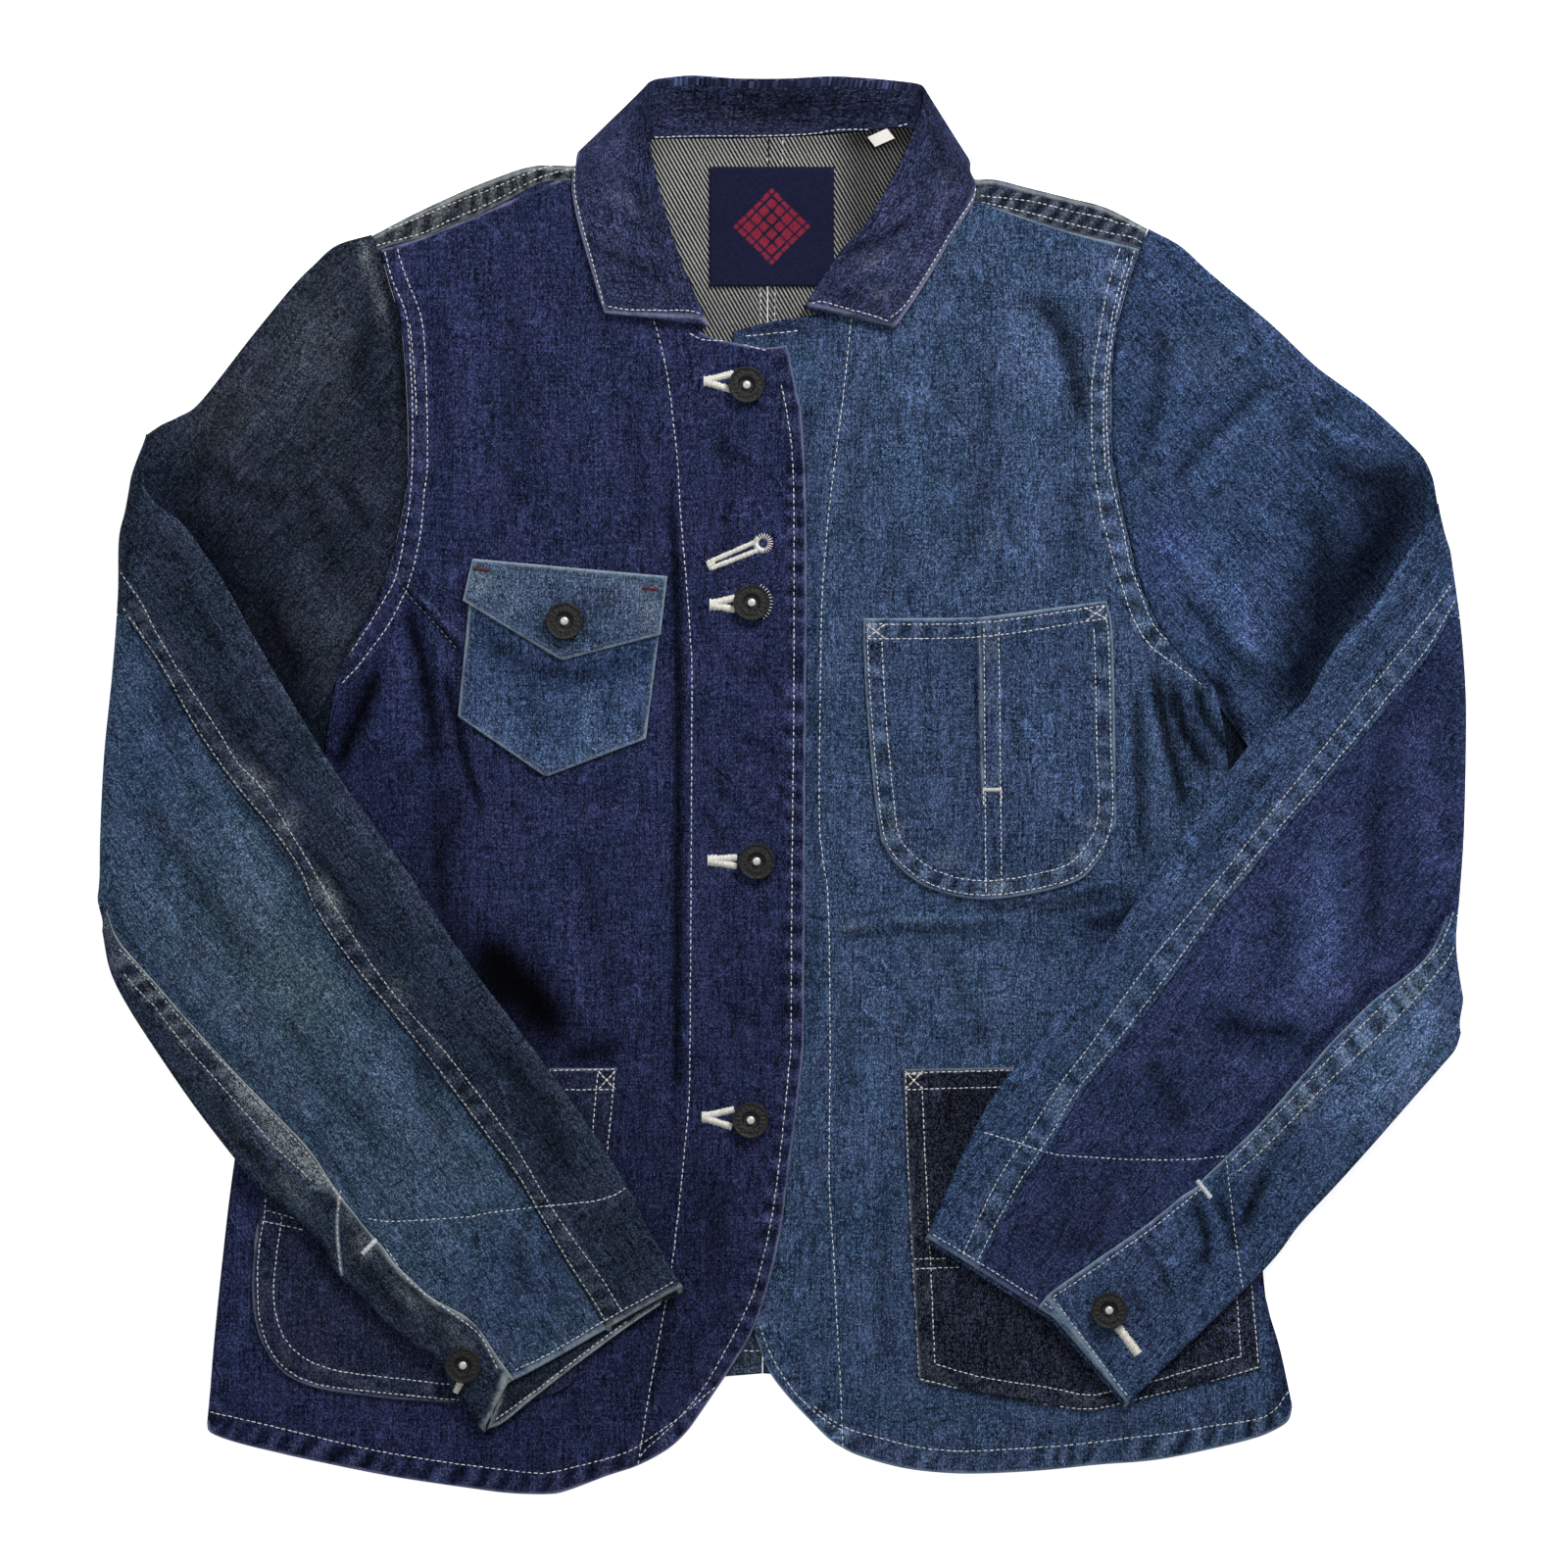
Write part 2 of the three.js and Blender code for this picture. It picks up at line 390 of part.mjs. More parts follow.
const leftSleeve = sleeve({
  name: 'left', out: 1, arm: armL, armA: 0.32, armB: 0.88, topColour: COLOUR.teal, underColour: COLOUR.violet,
  topEdge: [[1172 + SEAM, 233], [1204, 250], [1249, 290], [1297, 330], [1339, 370], [1393, 410], [1437, 450], [1455, 492]],
  fold: [[1455, 492], [1461, 540], [1468, 570], [1474, 610], [1479, 650], [1483, 710], [1483, 770], [1481, 850], [1477, 910], [1473, 960], [1474, 1010], [1476, 1052]],
  underEdge: [[1240 + SEAM, 700], [1272, 750], [1340, 856], [1476, 1052]],
  upperEdge: [[1455, 492], [1447, 545], [1403, 616], [1366, 653], [1340, 696], [1300, 742], [1237, 807], [1192, 874], [1150, 933], [1102, 998], [1000, 1140], [945, 1262]],
  lowerEdge: [[1476, 1052], [1468, 1090], [1433, 1130], [1398, 1170], [1362, 1210], [1325, 1250], [1285, 1300], [1150, 1432]],
  cuff: [[945, 1262], [985, 1287], [1040, 1322], [1100, 1375], [1150, 1432]],
  seamA: [[1484, 614], [1442, 692], [1395, 748], [1340, 813], [1265, 905], [1190, 1000], [1100, 1115], [1004, 1290]],
  seamB: [[1490, 909], [1480, 950], [1460, 972], [1437, 996], [1400, 1028], [1290, 1138], [1222, 1206]],
  flap: [[1224, 1203], [1067, 1322]],
  ventL: 0.62, cuffB: 0.8, under: 5, along: [-0.35, 0.9], downRows: [0, 0.12, 0.25, 0.38, 0.5, 0.62, 0.75, 0.88, 1],
});

// ---- pockets: made from the front's own heights, moved out ------------------------
const onFront = (zOf, n) => (p) => zOf(p) + n * LAYER + 0.1;
function patch(name, bottom, top, left, right, nu, nv, zOf, colour) {
  return panel(name, coons(spread(bottom, nu), spread(top, nu), spread(left, nv), spread(right, nv)), zOf, colour);
}
const chestPocketRight = patch('chest_pocket_right', [[467, 731], [557, 793], [659, 754]], [[481, 590], [576, 596], [678, 604]],
  [[467, 731], [481, 590]], [[659, 754], [678, 604]], 4, 4, onFront(rightFrontZ, 1), COLOUR.light);
const chestFlapRight = patch('chest_flap_right', [[472, 613], [573, 674], [674, 648]], [[482, 570], [580, 579], [681, 588]],
  [[472, 613], [482, 570]], [[674, 648], [681, 588]], 4, 3, onFront(rightFrontZ, 2), COLOUR.light);
const chestPocketLeft = patch('chest_pocket_left', [[903, 866], [917, 885], [952, 908], [1010, 918], [1090, 903], [1119, 881], [1134, 858]],
  [[881, 631], [1000, 630], [1129, 613]], [[903, 866], [892, 810], [884, 718], [881, 631]], [[1134, 858], [1139, 800], [1137, 700], [1129, 613]], 6, 5, (p) => leftFrontZ(p) + LAYER + 0.3, COLOUR.teal);
const hipPocketRight = patch('hip_pocket_right', [[277, 1388], [295, 1405], [325, 1417], [420, 1429], [520, 1432], [575, 1418], [594, 1396]],
  [[292, 1086], [460, 1090], [630, 1090]], [[277, 1388], [260, 1345], [257, 1300], [262, 1250], [292, 1086]], [[594, 1396], [608, 1330], [618, 1230], [630, 1090]], 6, 6, onFront(rightFrontZ, 1), COLOUR.navy);
const hipPocketLeft = patch('hip_pocket_left', [[938, 1410], [1112, 1441], [1287, 1396]], [[921, 1091], [1090, 1088], [1262, 1084]],
  [[938, 1410], [931, 1285], [921, 1091]], [[1287, 1396], [1279, 1318], [1262, 1084]], 6, 5, onFront(leftFrontZ, 1), COLOUR.black);

// ---- label and tag -----------------------------------------------------------------
const quad = (name, c, zOf, h, colour) => {
  const g = coons(spread([c[3], c[2]], 2), spread([c[0], c[1]], 2), spread([c[3], c[0]], 3), spread([c[2], c[1]], 3));
  return wall(name, g.map((r) => r.map((p) => [...pt(p), zOf(p)])), g.map((r) => r.map((p) => [...pt(p), zOf(p) + h])), colour);
};
const neckLabel = quad('neck_label', [[724, 170], [851, 170], [851, 292], [724, 292]], (p) => lift(p) + T + GAP + 0.25, 1.0, COLOUR.label);
const sizeTag = quad('size_tag', [[885, 140], [905, 131], [913, 141], [893, 150]], () => STAND_LIFT + T + GAP + 0.1, 1.0, COLOUR.tag);

// ---- buttons: a rolled ring with a rivet in the middle ---------------------------------
function button(name, p, z, R) {
  const h = BUTTON_H;
  const prof = [[0, 0], [R * 0.78, 0], [R, h * 0.5], [R * 0.84, h], [R * 0.52, h * 0.88], [R * 0.34, h * 0.45], [R * 0.16, h * 0.7], [0, h * 0.75]];
  let geo = new THREE.LatheGeometry(prof.map(([x, y]) => new THREE.Vector2(x, y)), BUTTON_SIDES);
  geo.rotateX(Math.PI / 2);
  geo.deleteAttribute('normal'); geo.deleteAttribute('uv');
  geo = mergeVertices(geo, 1e-4);
  const pos = Array.from(geo.attributes.position.array), idx = Array.from(geo.index.array), tri = [];
  for (let i = 0; i < idx.length; i += 3) tri.push([idx[i], idx[i + 1], idx[i + 2]]);
  const mesh = solid(name, pos, tri, COLOUR.metal, 0.45, 0.9);
  const [x, y] = pt(p);
  mesh.position.set(x, y, z);
  return mesh;
}
const overRight = (p) => rightFrontZ(p) + T + GAP + 0.1;
const buttons = [
  button('front_button_1', [762, 393], overRight([762, 393]), BUTTON_R),
  button('front_button_2', [767, 615], overRight([767, 615]), BUTTON_R),
  button('front_button_3', [772, 879], overRight([772, 879]), BUTTON_R),
  button('front_button_4', [766, 1143], overRight([766, 1143]), BUTTON_R),
  button('flap_button_right', [576, 634], LAYER * 3 + T + GAP + 0.2, BUTTON_R),
  button('cuff_button_right', [473, 1392], CUFF_Z + SLEEVE_H2 + LAYER + GAP + 0.5, CUFF_BUTTON_R),
  button('cuff_button_left', [1132, 1335], CUFF_Z + SLEEVE_H2 + LAYER + GAP + 0.5, CUFF_BUTTON_R),
];

const jacket = new THREE.Group();
jacket.name = 'jacket';
jacket.add(backRight, backLeft, frontRight, frontLeft, collarBand(), ...rightSleeve, ...leftSleeve,
  chestPocketRight, chestFlapRight, chestPocketLeft, hipPocketRight, hipPocketLeft, neckLabel, sizeTag, ...buttons);
export default jacket;
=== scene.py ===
"""Looks of a short patchwork denim work jacket, laid flat on its back with both
sleeves folded in over the fronts.  Outlines, folds, stitch rows and tones are
placed in drawing units of 0.45 mm (x right, y down the jacket), heights
in millimetres; world() turns them into metres in the part's own frame."""
import math

import bpy
import numpy as np
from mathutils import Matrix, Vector
from mathutils.bvhtree import BVHTree

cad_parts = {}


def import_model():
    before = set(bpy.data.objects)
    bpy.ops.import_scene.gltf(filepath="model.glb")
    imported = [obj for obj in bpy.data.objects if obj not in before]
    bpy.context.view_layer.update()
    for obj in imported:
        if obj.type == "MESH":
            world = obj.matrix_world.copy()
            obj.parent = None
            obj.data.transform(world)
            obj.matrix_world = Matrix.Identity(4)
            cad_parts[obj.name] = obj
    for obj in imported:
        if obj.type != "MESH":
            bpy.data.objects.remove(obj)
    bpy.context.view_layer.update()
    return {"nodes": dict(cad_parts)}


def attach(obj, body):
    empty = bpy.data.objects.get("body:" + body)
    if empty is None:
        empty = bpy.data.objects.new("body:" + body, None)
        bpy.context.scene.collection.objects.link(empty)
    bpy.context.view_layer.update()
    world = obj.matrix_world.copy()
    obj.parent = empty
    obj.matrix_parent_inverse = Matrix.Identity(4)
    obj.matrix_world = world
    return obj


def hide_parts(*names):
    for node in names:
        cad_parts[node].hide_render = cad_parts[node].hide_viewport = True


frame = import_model()

U = 0.00045
T = 1.2
LAYER = 1.5
FOLD_Z = 5.7
SLEEVE_H0, SLEEVE_H1, SLEEVE_H2 = 2.7, 5.4, 4.2
CUFF_Z = 4.9
rng = np.random.default_rng(11)


# ------------------------------------------------------------------ small tools
def world(x, y, z):
    return np.stack([(x - 799.0) * U, (799.0 - y) * U, z * 0.001], -1)


def smooth(a, b, x):
    t = np.clip((x - a) / (b - a), 0.0, 1.0)
    return t * t * (3.0 - 2.0 * t)


def runs(line):
    return np.r_[0.0, np.cumsum(np.hypot(*np.diff(line[:, :2], axis=0).T))]


def at(line, f):
    s = runs(line)
    f = np.asarray(f, float) * s[-1]
    return np.stack([np.interp(f, s, line[:, k]) for k in range(line.shape[1])], -1)


def resample(line, step):
    n = max(1, int(round(runs(line)[-1] / step)))
    return at(line, np.linspace(0.0, 1.0, n + 1))


def curve(pts, step=4.0):
    """smooth line through given points"""
    p = np.asarray(pts, float)
    if len(p) > 2:
        q = np.vstack([2 * p[0] - p[1], p, 2 * p[-1] - p[-2]])
        t = np.linspace(0.0, 1.0, 9)[:-1, None]
        out = []
        for i in range(len(p) - 1):
            a, b, c, d = q[i:i + 4]
            out.append(0.5 * (2 * b + (c - a) * t + (2 * a - 5 * b + 4 * c - d) * t ** 2 + (3 * b - a - 3 * c + d) * t ** 3))
        p = np.vstack(out + [p[-1:]])
    return resample(p, step)


def chain(*parts):
    """smooth lines joined at corners"""
    out = [curve(parts[0], 3.0)]
    for part in parts[1:]:
        out.append(curve(part, 3.0)[1:])
    return np.vstack(out)


def offset(line, d):
    t = np.gradient(line, axis=0)
    t /= np.hypot(t[:, 0], t[:, 1])[:, None] + 1e-9
    return line + d * np.stack([-t[:, 1], t[:, 0]], 1)


def coons(bottom, top, left, right, u, v):
    B, Tp, L, R = at(bottom, u), at(top, u), at(left, v), at(right, v)
    u, v = u[..., None], v[..., None]
    return ((1 - v) * B + v * Tp + (1 - u) * L + u * R
            - ((1 - u) * (1 - v) * bottom[0] + u * (1 - v) * bottom[-1] + (1 - u) * v * top[0] + u * v * top[-1]))


def spacing(n, length, border=(0.25, 0.65, 1.3)):
    e = np.array([0.0, *border]) / length
    return np.r_[e[:-1], np.linspace(e[-1], 1 - e[-1], n), 1 - e[:-1][::-1]]


def graded(n, length, boosts, border=(0.25, 0.65, 1.3)):
    """like spacing, but closer together round each (place, half width, boost)"""
    f = np.linspace(0, 1, 2001)
    w = np.ones(f.shape) + sum(b * np.exp(-((f - c) / h) ** 4) for c, h, b in boosts)
    cum = np.r_[0, np.cumsum((w[1:] + w[:-1]) / 2)]
    e = np.array([0.0, *border]) / length
    inner = e[-1] + (1 - 2 * e[-1]) * np.interp(np.linspace(0, 1, n), cum / cum[-1], f)
    return np.r_[e[:-1], inner, 1 - e[:-1][::-1]]


def near(p, line, reach=None):
    """distance to a line, run along it and side of it; far beyond reach nothing is measured"""
    if reach is not None:
        lo, hi = line.min(0) - reach, line.max(0) + reach
        m = (p[..., 0] > lo[0]) & (p[..., 0] < hi[0]) & (p[..., 1] > lo[1]) & (p[..., 1] < hi[1])
        d, s, side = np.full(m.shape, 1e6), np.zeros(m.shape), np.zeros(m.shape)
        if m.any():
            d[m], s[m], side[m] = near(p[m], line)
        return d, s, side
    x, y = p[..., 0], p[..., 1]
    best = np.full(x.shape, 1e18)
    s = np.zeros(x.shape)
    side = np.zeros(x.shape)
    r = runs(line)
    for i in range(len(line) - 1):
        a = line[i]
        d = line[i + 1] - a
        l2 = d @ d + 1e-12
        t = np.clip(((x - a[0]) * d[0] + (y - a[1]) * d[1]) / l2, 0, 1)
        ex, ey = x - a[0] - t * d[0], y - a[1] - t * d[1]
        q = ex * ex + ey * ey
        m = q < best
        best = np.where(m, q, best)
        s = np.where(m, r[i] + t * (r[i + 1] - r[i]), s)
        side = np.where(m, np.sign(d[0] * ey - d[1] * ex), side)
    return np.sqrt(best), s, side


def lattice(i, j, seed):
    h = (i.astype(np.int64) * 374761393 + j.astype(np.int64) * 668265263 + seed * 974711) & 0xFFFFFFFF
    h = ((h ^ (h >> 13)) * 1274126177) & 0xFFFFFFFF
    h = h ^ (h >> 16)
    return (h & 0xFFFF) / 65535.0


def vnoise(x, y, seed):
    i, j = np.floor(x), np.floor(y)
    fx, fy = x - i, y - j
    fx, fy = fx * fx * (3 - 2 * fx), fy * fy * (3 - 2 * fy)
    a, b = lattice(i, j, seed), lattice(i + 1, j, seed)
    c, d = lattice(i, j + 1, seed), lattice(i + 1, j + 1, seed)
    return (a * (1 - fx) + b * fx) * (1 - fy) + (c * (1 - fx) + d * fx) * fy


def fbm(x, y, seed, octaves=3):
    z, amp, tot = 0.0, 1.0, 0.0
    for k in range(octaves):
        z = z + amp * vnoise(x * 2 ** k, y * 2 ** k, seed + 31 * k)
        tot += amp
        amp *= 0.5
    return z / tot


# ------------------------------------------------------------------ heights
def neck_lift(x, y):
    return LAYER * smooth(540, 580, x) * (1 - smooth(1006, 1046, x)) * (1 - smooth(200, 250, y))


def front_lift(x, y):
    return LAYER * smooth(505, 565, x) * (1 - smooth(1020, 1080, x)) * (1 - smooth(235, 330, y))


def bulge(x, y, a, b, width, height):
    dx, dy = b[0] - a[0], b[1] - a[1]
    L = math.hypot(dx, dy)
    s = ((x - a[0]) * dx + (y - a[1]) * dy) / L ** 2
    w = ((x - a[0]) * dy - (y - a[1]) * dx) / L / width
    return height * np.exp(-w * w) * smooth(-0.1, 0.25, s) * (1 - smooth(0.7, 1.1, s))


def puff(x, y):
    return (bulge(x, y, (402, 640), (420, 900), 24, 1.3) + bulge(x, y, (380, 700), (330, 960), 22, 1.2)
            + bulge(x, y, (1186, 670), (1182, 900), 18, 0.9) + bulge(x, y, (1222, 700), (1255, 930), 22, 1.2))


def left_z(x, y):
    return LAYER + front_lift(x, y) + puff(x, y)


def right_z(x, y):
    return left_z(x, y) + LAYER * smooth(676, 728, x)


# ------------------------------------------------------------------ what lies on a panel
class Cloth:
    """folds (points, width, height), stitch rows, felled strips (points, half width,
    height, wear), worn edges (points, width in mm), tones and a base colour"""

    def __init__(self, seed, base, calm=0.25, folds=(), rows=(), strips=(), worn=(), tones=(), pucker=0.16, ropes=(), spots=()):
        self.seed, self.base, self.calm, self.pucker = seed, np.array(base, float), calm, pucker
        self.folds = [(curve(p, 14.0), w, h) for p, w, h in folds]
        self.rows = [curve(p, 14.0) for p in rows]
        self.strips = [(curve(p, 14.0), w, h, k) for p, w, h, k in strips]
        self.worn = [(curve(p, 8.0), w) for p, w in worn]
        self.tones = tones
        self.ropes = [(curve(p, 10.0), *r) for p, *r in ropes]
        self.spots = spots

    def crease(self, p, line, w):
        d, s, _ = near(p, line, 3.2 * w)
        f = s / runs(line)[-1]
        return np.exp(-(d / w) ** 2) * smooth(0, 0.22, f) * (1 - smooth(0.78, 1, f))

    def relief(self, p):
        x, y = p[..., 0], p[..., 1]
        z = self.calm * (2 * fbm(x / 62, y / 95, self.seed, 5) - 1) * 2.4
        for line, w, h in self.folds:
            z = z + h * self.crease(p, line, w)
        for k, (line, w, h, _) in enumerate(self.strips):
            d, s, _ = near(p, line, w + 6)
            m = 1 - smooth(w - 2.5, w + 3.0, d)
            z = z + h * m * (0.8 + 0.5 * (vnoise(s / 13, 0 * s + k, self.seed + 5) - 0.5))
        for k, line in enumerate(self.rows):
            d, s, side = near(p, line, 27)
            z = z - 0.2 * np.exp(-(d / 2.4) ** 2)
            z = z + self.pucker * np.exp(-(d / 9.0) ** 2) * 2 * (vnoise(s / 12, 3 * side + 11 * k, self.seed + 9) - 0.5)
        for k, rope in enumerate(self.ropes):
            z = z + rope[4] * self.twist(p, k)
        return z

    def twist(self, p, k):
        """slanting puckers along a seam: rope = line, near, far, wavelength, height, lean, wear"""
        line, lo, hi, wl, _, lean, _ = self.ropes[k]
        d, s, side = near(p, line, hi + 6)
        band = smooth(lo - 3, lo + 3, d) * (1 - smooth(hi - 4, hi + 4, d))
        ph = (s + lean * d * side) / wl + 1.6 * vnoise(s / (2.3 * wl), 0 * s + k, self.seed + 41)
        amp = 0.35 + 0.9 * vnoise(s / (1.7 * wl), 0 * s + 5 + k, self.seed + 43)
        return band * amp * np.sin(2 * math.pi * ph)

    def wear(self, p):
        w = np.zeros(p.shape[:-1])
        for k, (line, hw, _, amount) in enumerate(self.strips):
            d, s, side = near(p, line, hw + 6)
            m = 1 - smooth(hw - 1.0, hw + 3.0, d)
            n = fbm(s / 15, side * d / 7 + 9 * k, self.seed + 17, 2)
            w = w + amount * m * smooth(0.42, 0.75, n)
        for k, rope in enumerate(self.ropes):
            w = w + rope[6] * np.maximum(0, self.twist(p, k))
        x, y = p[..., 0], p[..., 1]
        for cx, cy, rx, ry, ang, amount in self.spots:
            a = math.radians(ang)
            u = ((x - cx) * math.cos(a) + (y - cy) * math.sin(a)) / rx
            v = (-(x - cx) * math.sin(a) + (y - cy) * math.cos(a)) / ry
            w = w + amount * np.exp(-(u * u + v * v)) * (0.4 + 1.2 * vnoise(x / 7, y / 7, self.seed + 23))
        return np.clip(w, 0, 1)

    def edge(self, p):
        e = np.full(p.shape[:-1], 9.0)
        for line, w in self.worn:
            d, _, _ = near(p, line, 40)
            e = np.minimum(e, d * 0.45 / w)
        return e

    def tone(self, p):
        c = np.ones(p.shape[:-1] + (3,)) * self.base
        x, y = p[..., 0], p[..., 1]
        for t in self.tones:
            if t[0] == "o":
                _, cx, cy, rx, ry, ang, gain = t
                a = math.radians(ang)
                u = ((x - cx) * math.cos(a) + (y - cy) * math.sin(a)) / rx
                v = (-(x - cx) * math.sin(a) + (y - cy) * math.cos(a)) / ry
                k = np.exp(-(u * u + v * v))
            else:
                _, pts, width, gain = t
                d, s, _ = near(p, curve(pts, 14.0), 3.2 * width)
                k = np.exp(-(d / width) ** 2)
            g = np.array(gain, float) * np.ones(3)
            c = c * (1 + k[..., None] * (g - 1))
        # crests are painted paler and troughs darker: partly rubbed wear and dye kept in the hollows, partly painted
        # highlight and painted shade that make the folds show
        for line, w, h in self.folds:
            g = 0.50 * min(h, 1.2) if h > 0 else 0.66 * max(h, -1.3)
            c = c * (1 + g * self.crease(p, line, w))[..., None]
        # pucker ridges along a seam are painted paler and their hollows darker: painted highlight and painted shade
        for k, rope in enumerate(self.ropes):
            c = c * np.maximum(0.25, 1 + 1.35 * min(rope[4], 0.45) * self.twist(p, k))[..., None]
        return c


# ------------------------------------------------------------------ meshes
def finish_mesh(name, verts, faces, mat, attrs=None, flat=False):
    me = bpy.data.meshes.new(name)
    me.from_pydata(verts.tolist() if hasattr(verts, "tolist") else verts, [], faces)
    for key, val in (attrs or {}).items():
        val = np.asarray(val, np.float32)
        if val.ndim == 1:
            me.attributes.new(key, "FLOAT", "POINT").data.foreach_set("value", val)
        elif key == "tone":
            rgba = np.concatenate([val, np.ones((len(val), 1), np.float32)], 1)
            me.attributes.new(key, "FLOAT_COLOR", "POINT").data.foreach_set("color", rgba.ravel())
        else:
            me.attributes.new(key, "FLOAT_VECTOR", "POINT").data.foreach_set("vector", val.ravel())
    if not flat:
        me.polygons.foreach_set("use_smooth", np.ones(len(me.polygons), bool))
    me.validate()
    me.update()
    me.materials.append(mat)
    ob = bpy.data.objects.new(name + "_look" if name in frame["nodes"] else name, me)
    bpy.context.scene.collection.objects.link(ob)
    return ob


def grid_faces(nj, ni, base=0, flip=False):
    j, i = np.meshgrid(np.arange(nj - 1), np.arange(ni - 1), indexing="ij")
    a = base + j * ni + i
    q = np.stack([a, a + 1, a + ni + 1, a + ni], -1).reshape(-1, 4)
    return q[:, ::-1] if flip else q


def coarse(n, k):
    idx = list(range(0, n, k))
    if idx[-1] != n - 1:
        idx.append(n - 1)
    return idx


def shell(A, B, kj=4, ki=4, flip=False):
    """closed sheet: fine face A, coarse face B on every kj-th row and ki-th column"""
    nj, ni = A.shape[:2]
    rj, ri = coarse(nj, kj), coarse(ni, ki)
    b = B[np.ix_(rj, ri)]
    nb = nj * ni
    faces = grid_faces(nj, ni, 0, flip).tolist()
    faces += grid_faces(len(rj), len(ri), nb, not flip).tolist()
    bi = lambda j, i: nb + j * len(ri) + i
    ai = lambda j, i: j * ni + i
    rims = []
    for k in range(len(ri) - 1):
        s, e = ri[k], ri[k + 1]
        rims.append([ai(0, i) for i in range(e, s - 1, -1)] + [bi(0, k), bi(0, k + 1)])
        rims.append([ai(nj - 1, i) for i in range(s, e + 1)] + [bi(len(rj) - 1, k + 1), bi(len(rj) - 1, k)])
    for k in range(len(rj) - 1):
        s, e = rj[k], rj[k + 1]
        rims.append([ai(j, 0) for j in range(s, e + 1)] + [bi(k + 1, 0), bi(k, 0)])
        rims.append([ai(j, ni - 1) for j in range(e, s - 1, -1)] + [bi(k, len(ri) - 1), bi(k + 1, len(ri) - 1)])
    faces += [r[::-1] if flip else r for r in rims]
    verts = np.vstack([A.reshape(-1, 3), b.reshape(-1, 3)])

    def pick(a):
        return np.concatenate([a.reshape((-1,) + a.shape[2:]), a[np.ix_(rj, ri)].reshape((-1,) + a.shape[2:])])
    return verts, faces, pick


TOPS = {}


def keep(name, ob, slot, node=None):
    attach(ob, "root")
    if node:
        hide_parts(node)
    return ob


def tree(*objs):
    vs, fs = [], []
    for ob in objs:
        base = len(vs)
        vs += [v.co[:] for v in ob.data.vertices]
        fs += [[base + k for k in p.vertices] for p in ob.data.polygons]
    return BVHTree.FromPolygons(vs, fs)


def rounding(d, t=T, r=1.1):
    q = np.clip(1 - d / r, 0, 1)
    return 0.55 * t * (1 - np.sqrt(np.maximum(0, 1 - q * q)))


def panel(name, node, slot, outline, zfun, cloth, mat, pitch=2.1, thick=1.1, grain=(0.0, 0.0, 0.0), floor=None, k=4, soft=1.0, fine=((), ())):
    """a flat panel of cloth between four edges"""
    bottom, top, left, right = outline
    W = max(runs(bottom)[-1], runs(top)[-1]) * 0.45
    H = max(runs(left)[-1], runs(right)[-1]) * 0.45
    us, vs = graded(int(W / pitch), W, fine[0]), graded(int(H / pitch), H, fine[1])
    v, u = np.meshgrid(vs, us, indexing="ij")
    p = coons(bottom, top, left, right, u, v)
    x, y = p[..., 0], p[..., 1]
    d = np.minimum(np.minimum(u, 1 - u) * W, np.minimum(v, 1 - v) * H)
    rel = cloth.relief(p) * smooth(-0.5, 2.5, d) * soft
    rel = np.where(rel < -0.55, -0.55 - 0.45 * (1 - np.exp(np.minimum(0, rel + 0.55) / 0.45)), rel)
    z = zfun(x, y) + T + rel - rounding(d)
    zb = z - thick + rounding(d) * 0.8
    if floor is not None:
        zb = np.maximum(zb, floor)
    verts, faces, pick = shell(world(x, y, z), world(x, y, zb), k, k)
    g = np.stack([x * 0.45 + grain[0], y * 0.45 + grain[1], 0 * x + cloth.seed * 3.7], -1)
    if grain[2]:
        a = math.radians(grain[2])
        g = np.stack([g[..., 0] * math.cos(a) + g[..., 1] * math.sin(a), -g[..., 0] * math.sin(a) + g[..., 1] * math.cos(a), g[..., 2]], -1)
    attrs = {"tone": pick(cloth.tone(p)), "wear": pick(cloth.wear(p)), "edge": pick(cloth.edge(p)), "grain": pick(g)}
    ob = finish_mesh(name, verts, faces, mat, attrs)
    return keep(name, ob, slot, node)


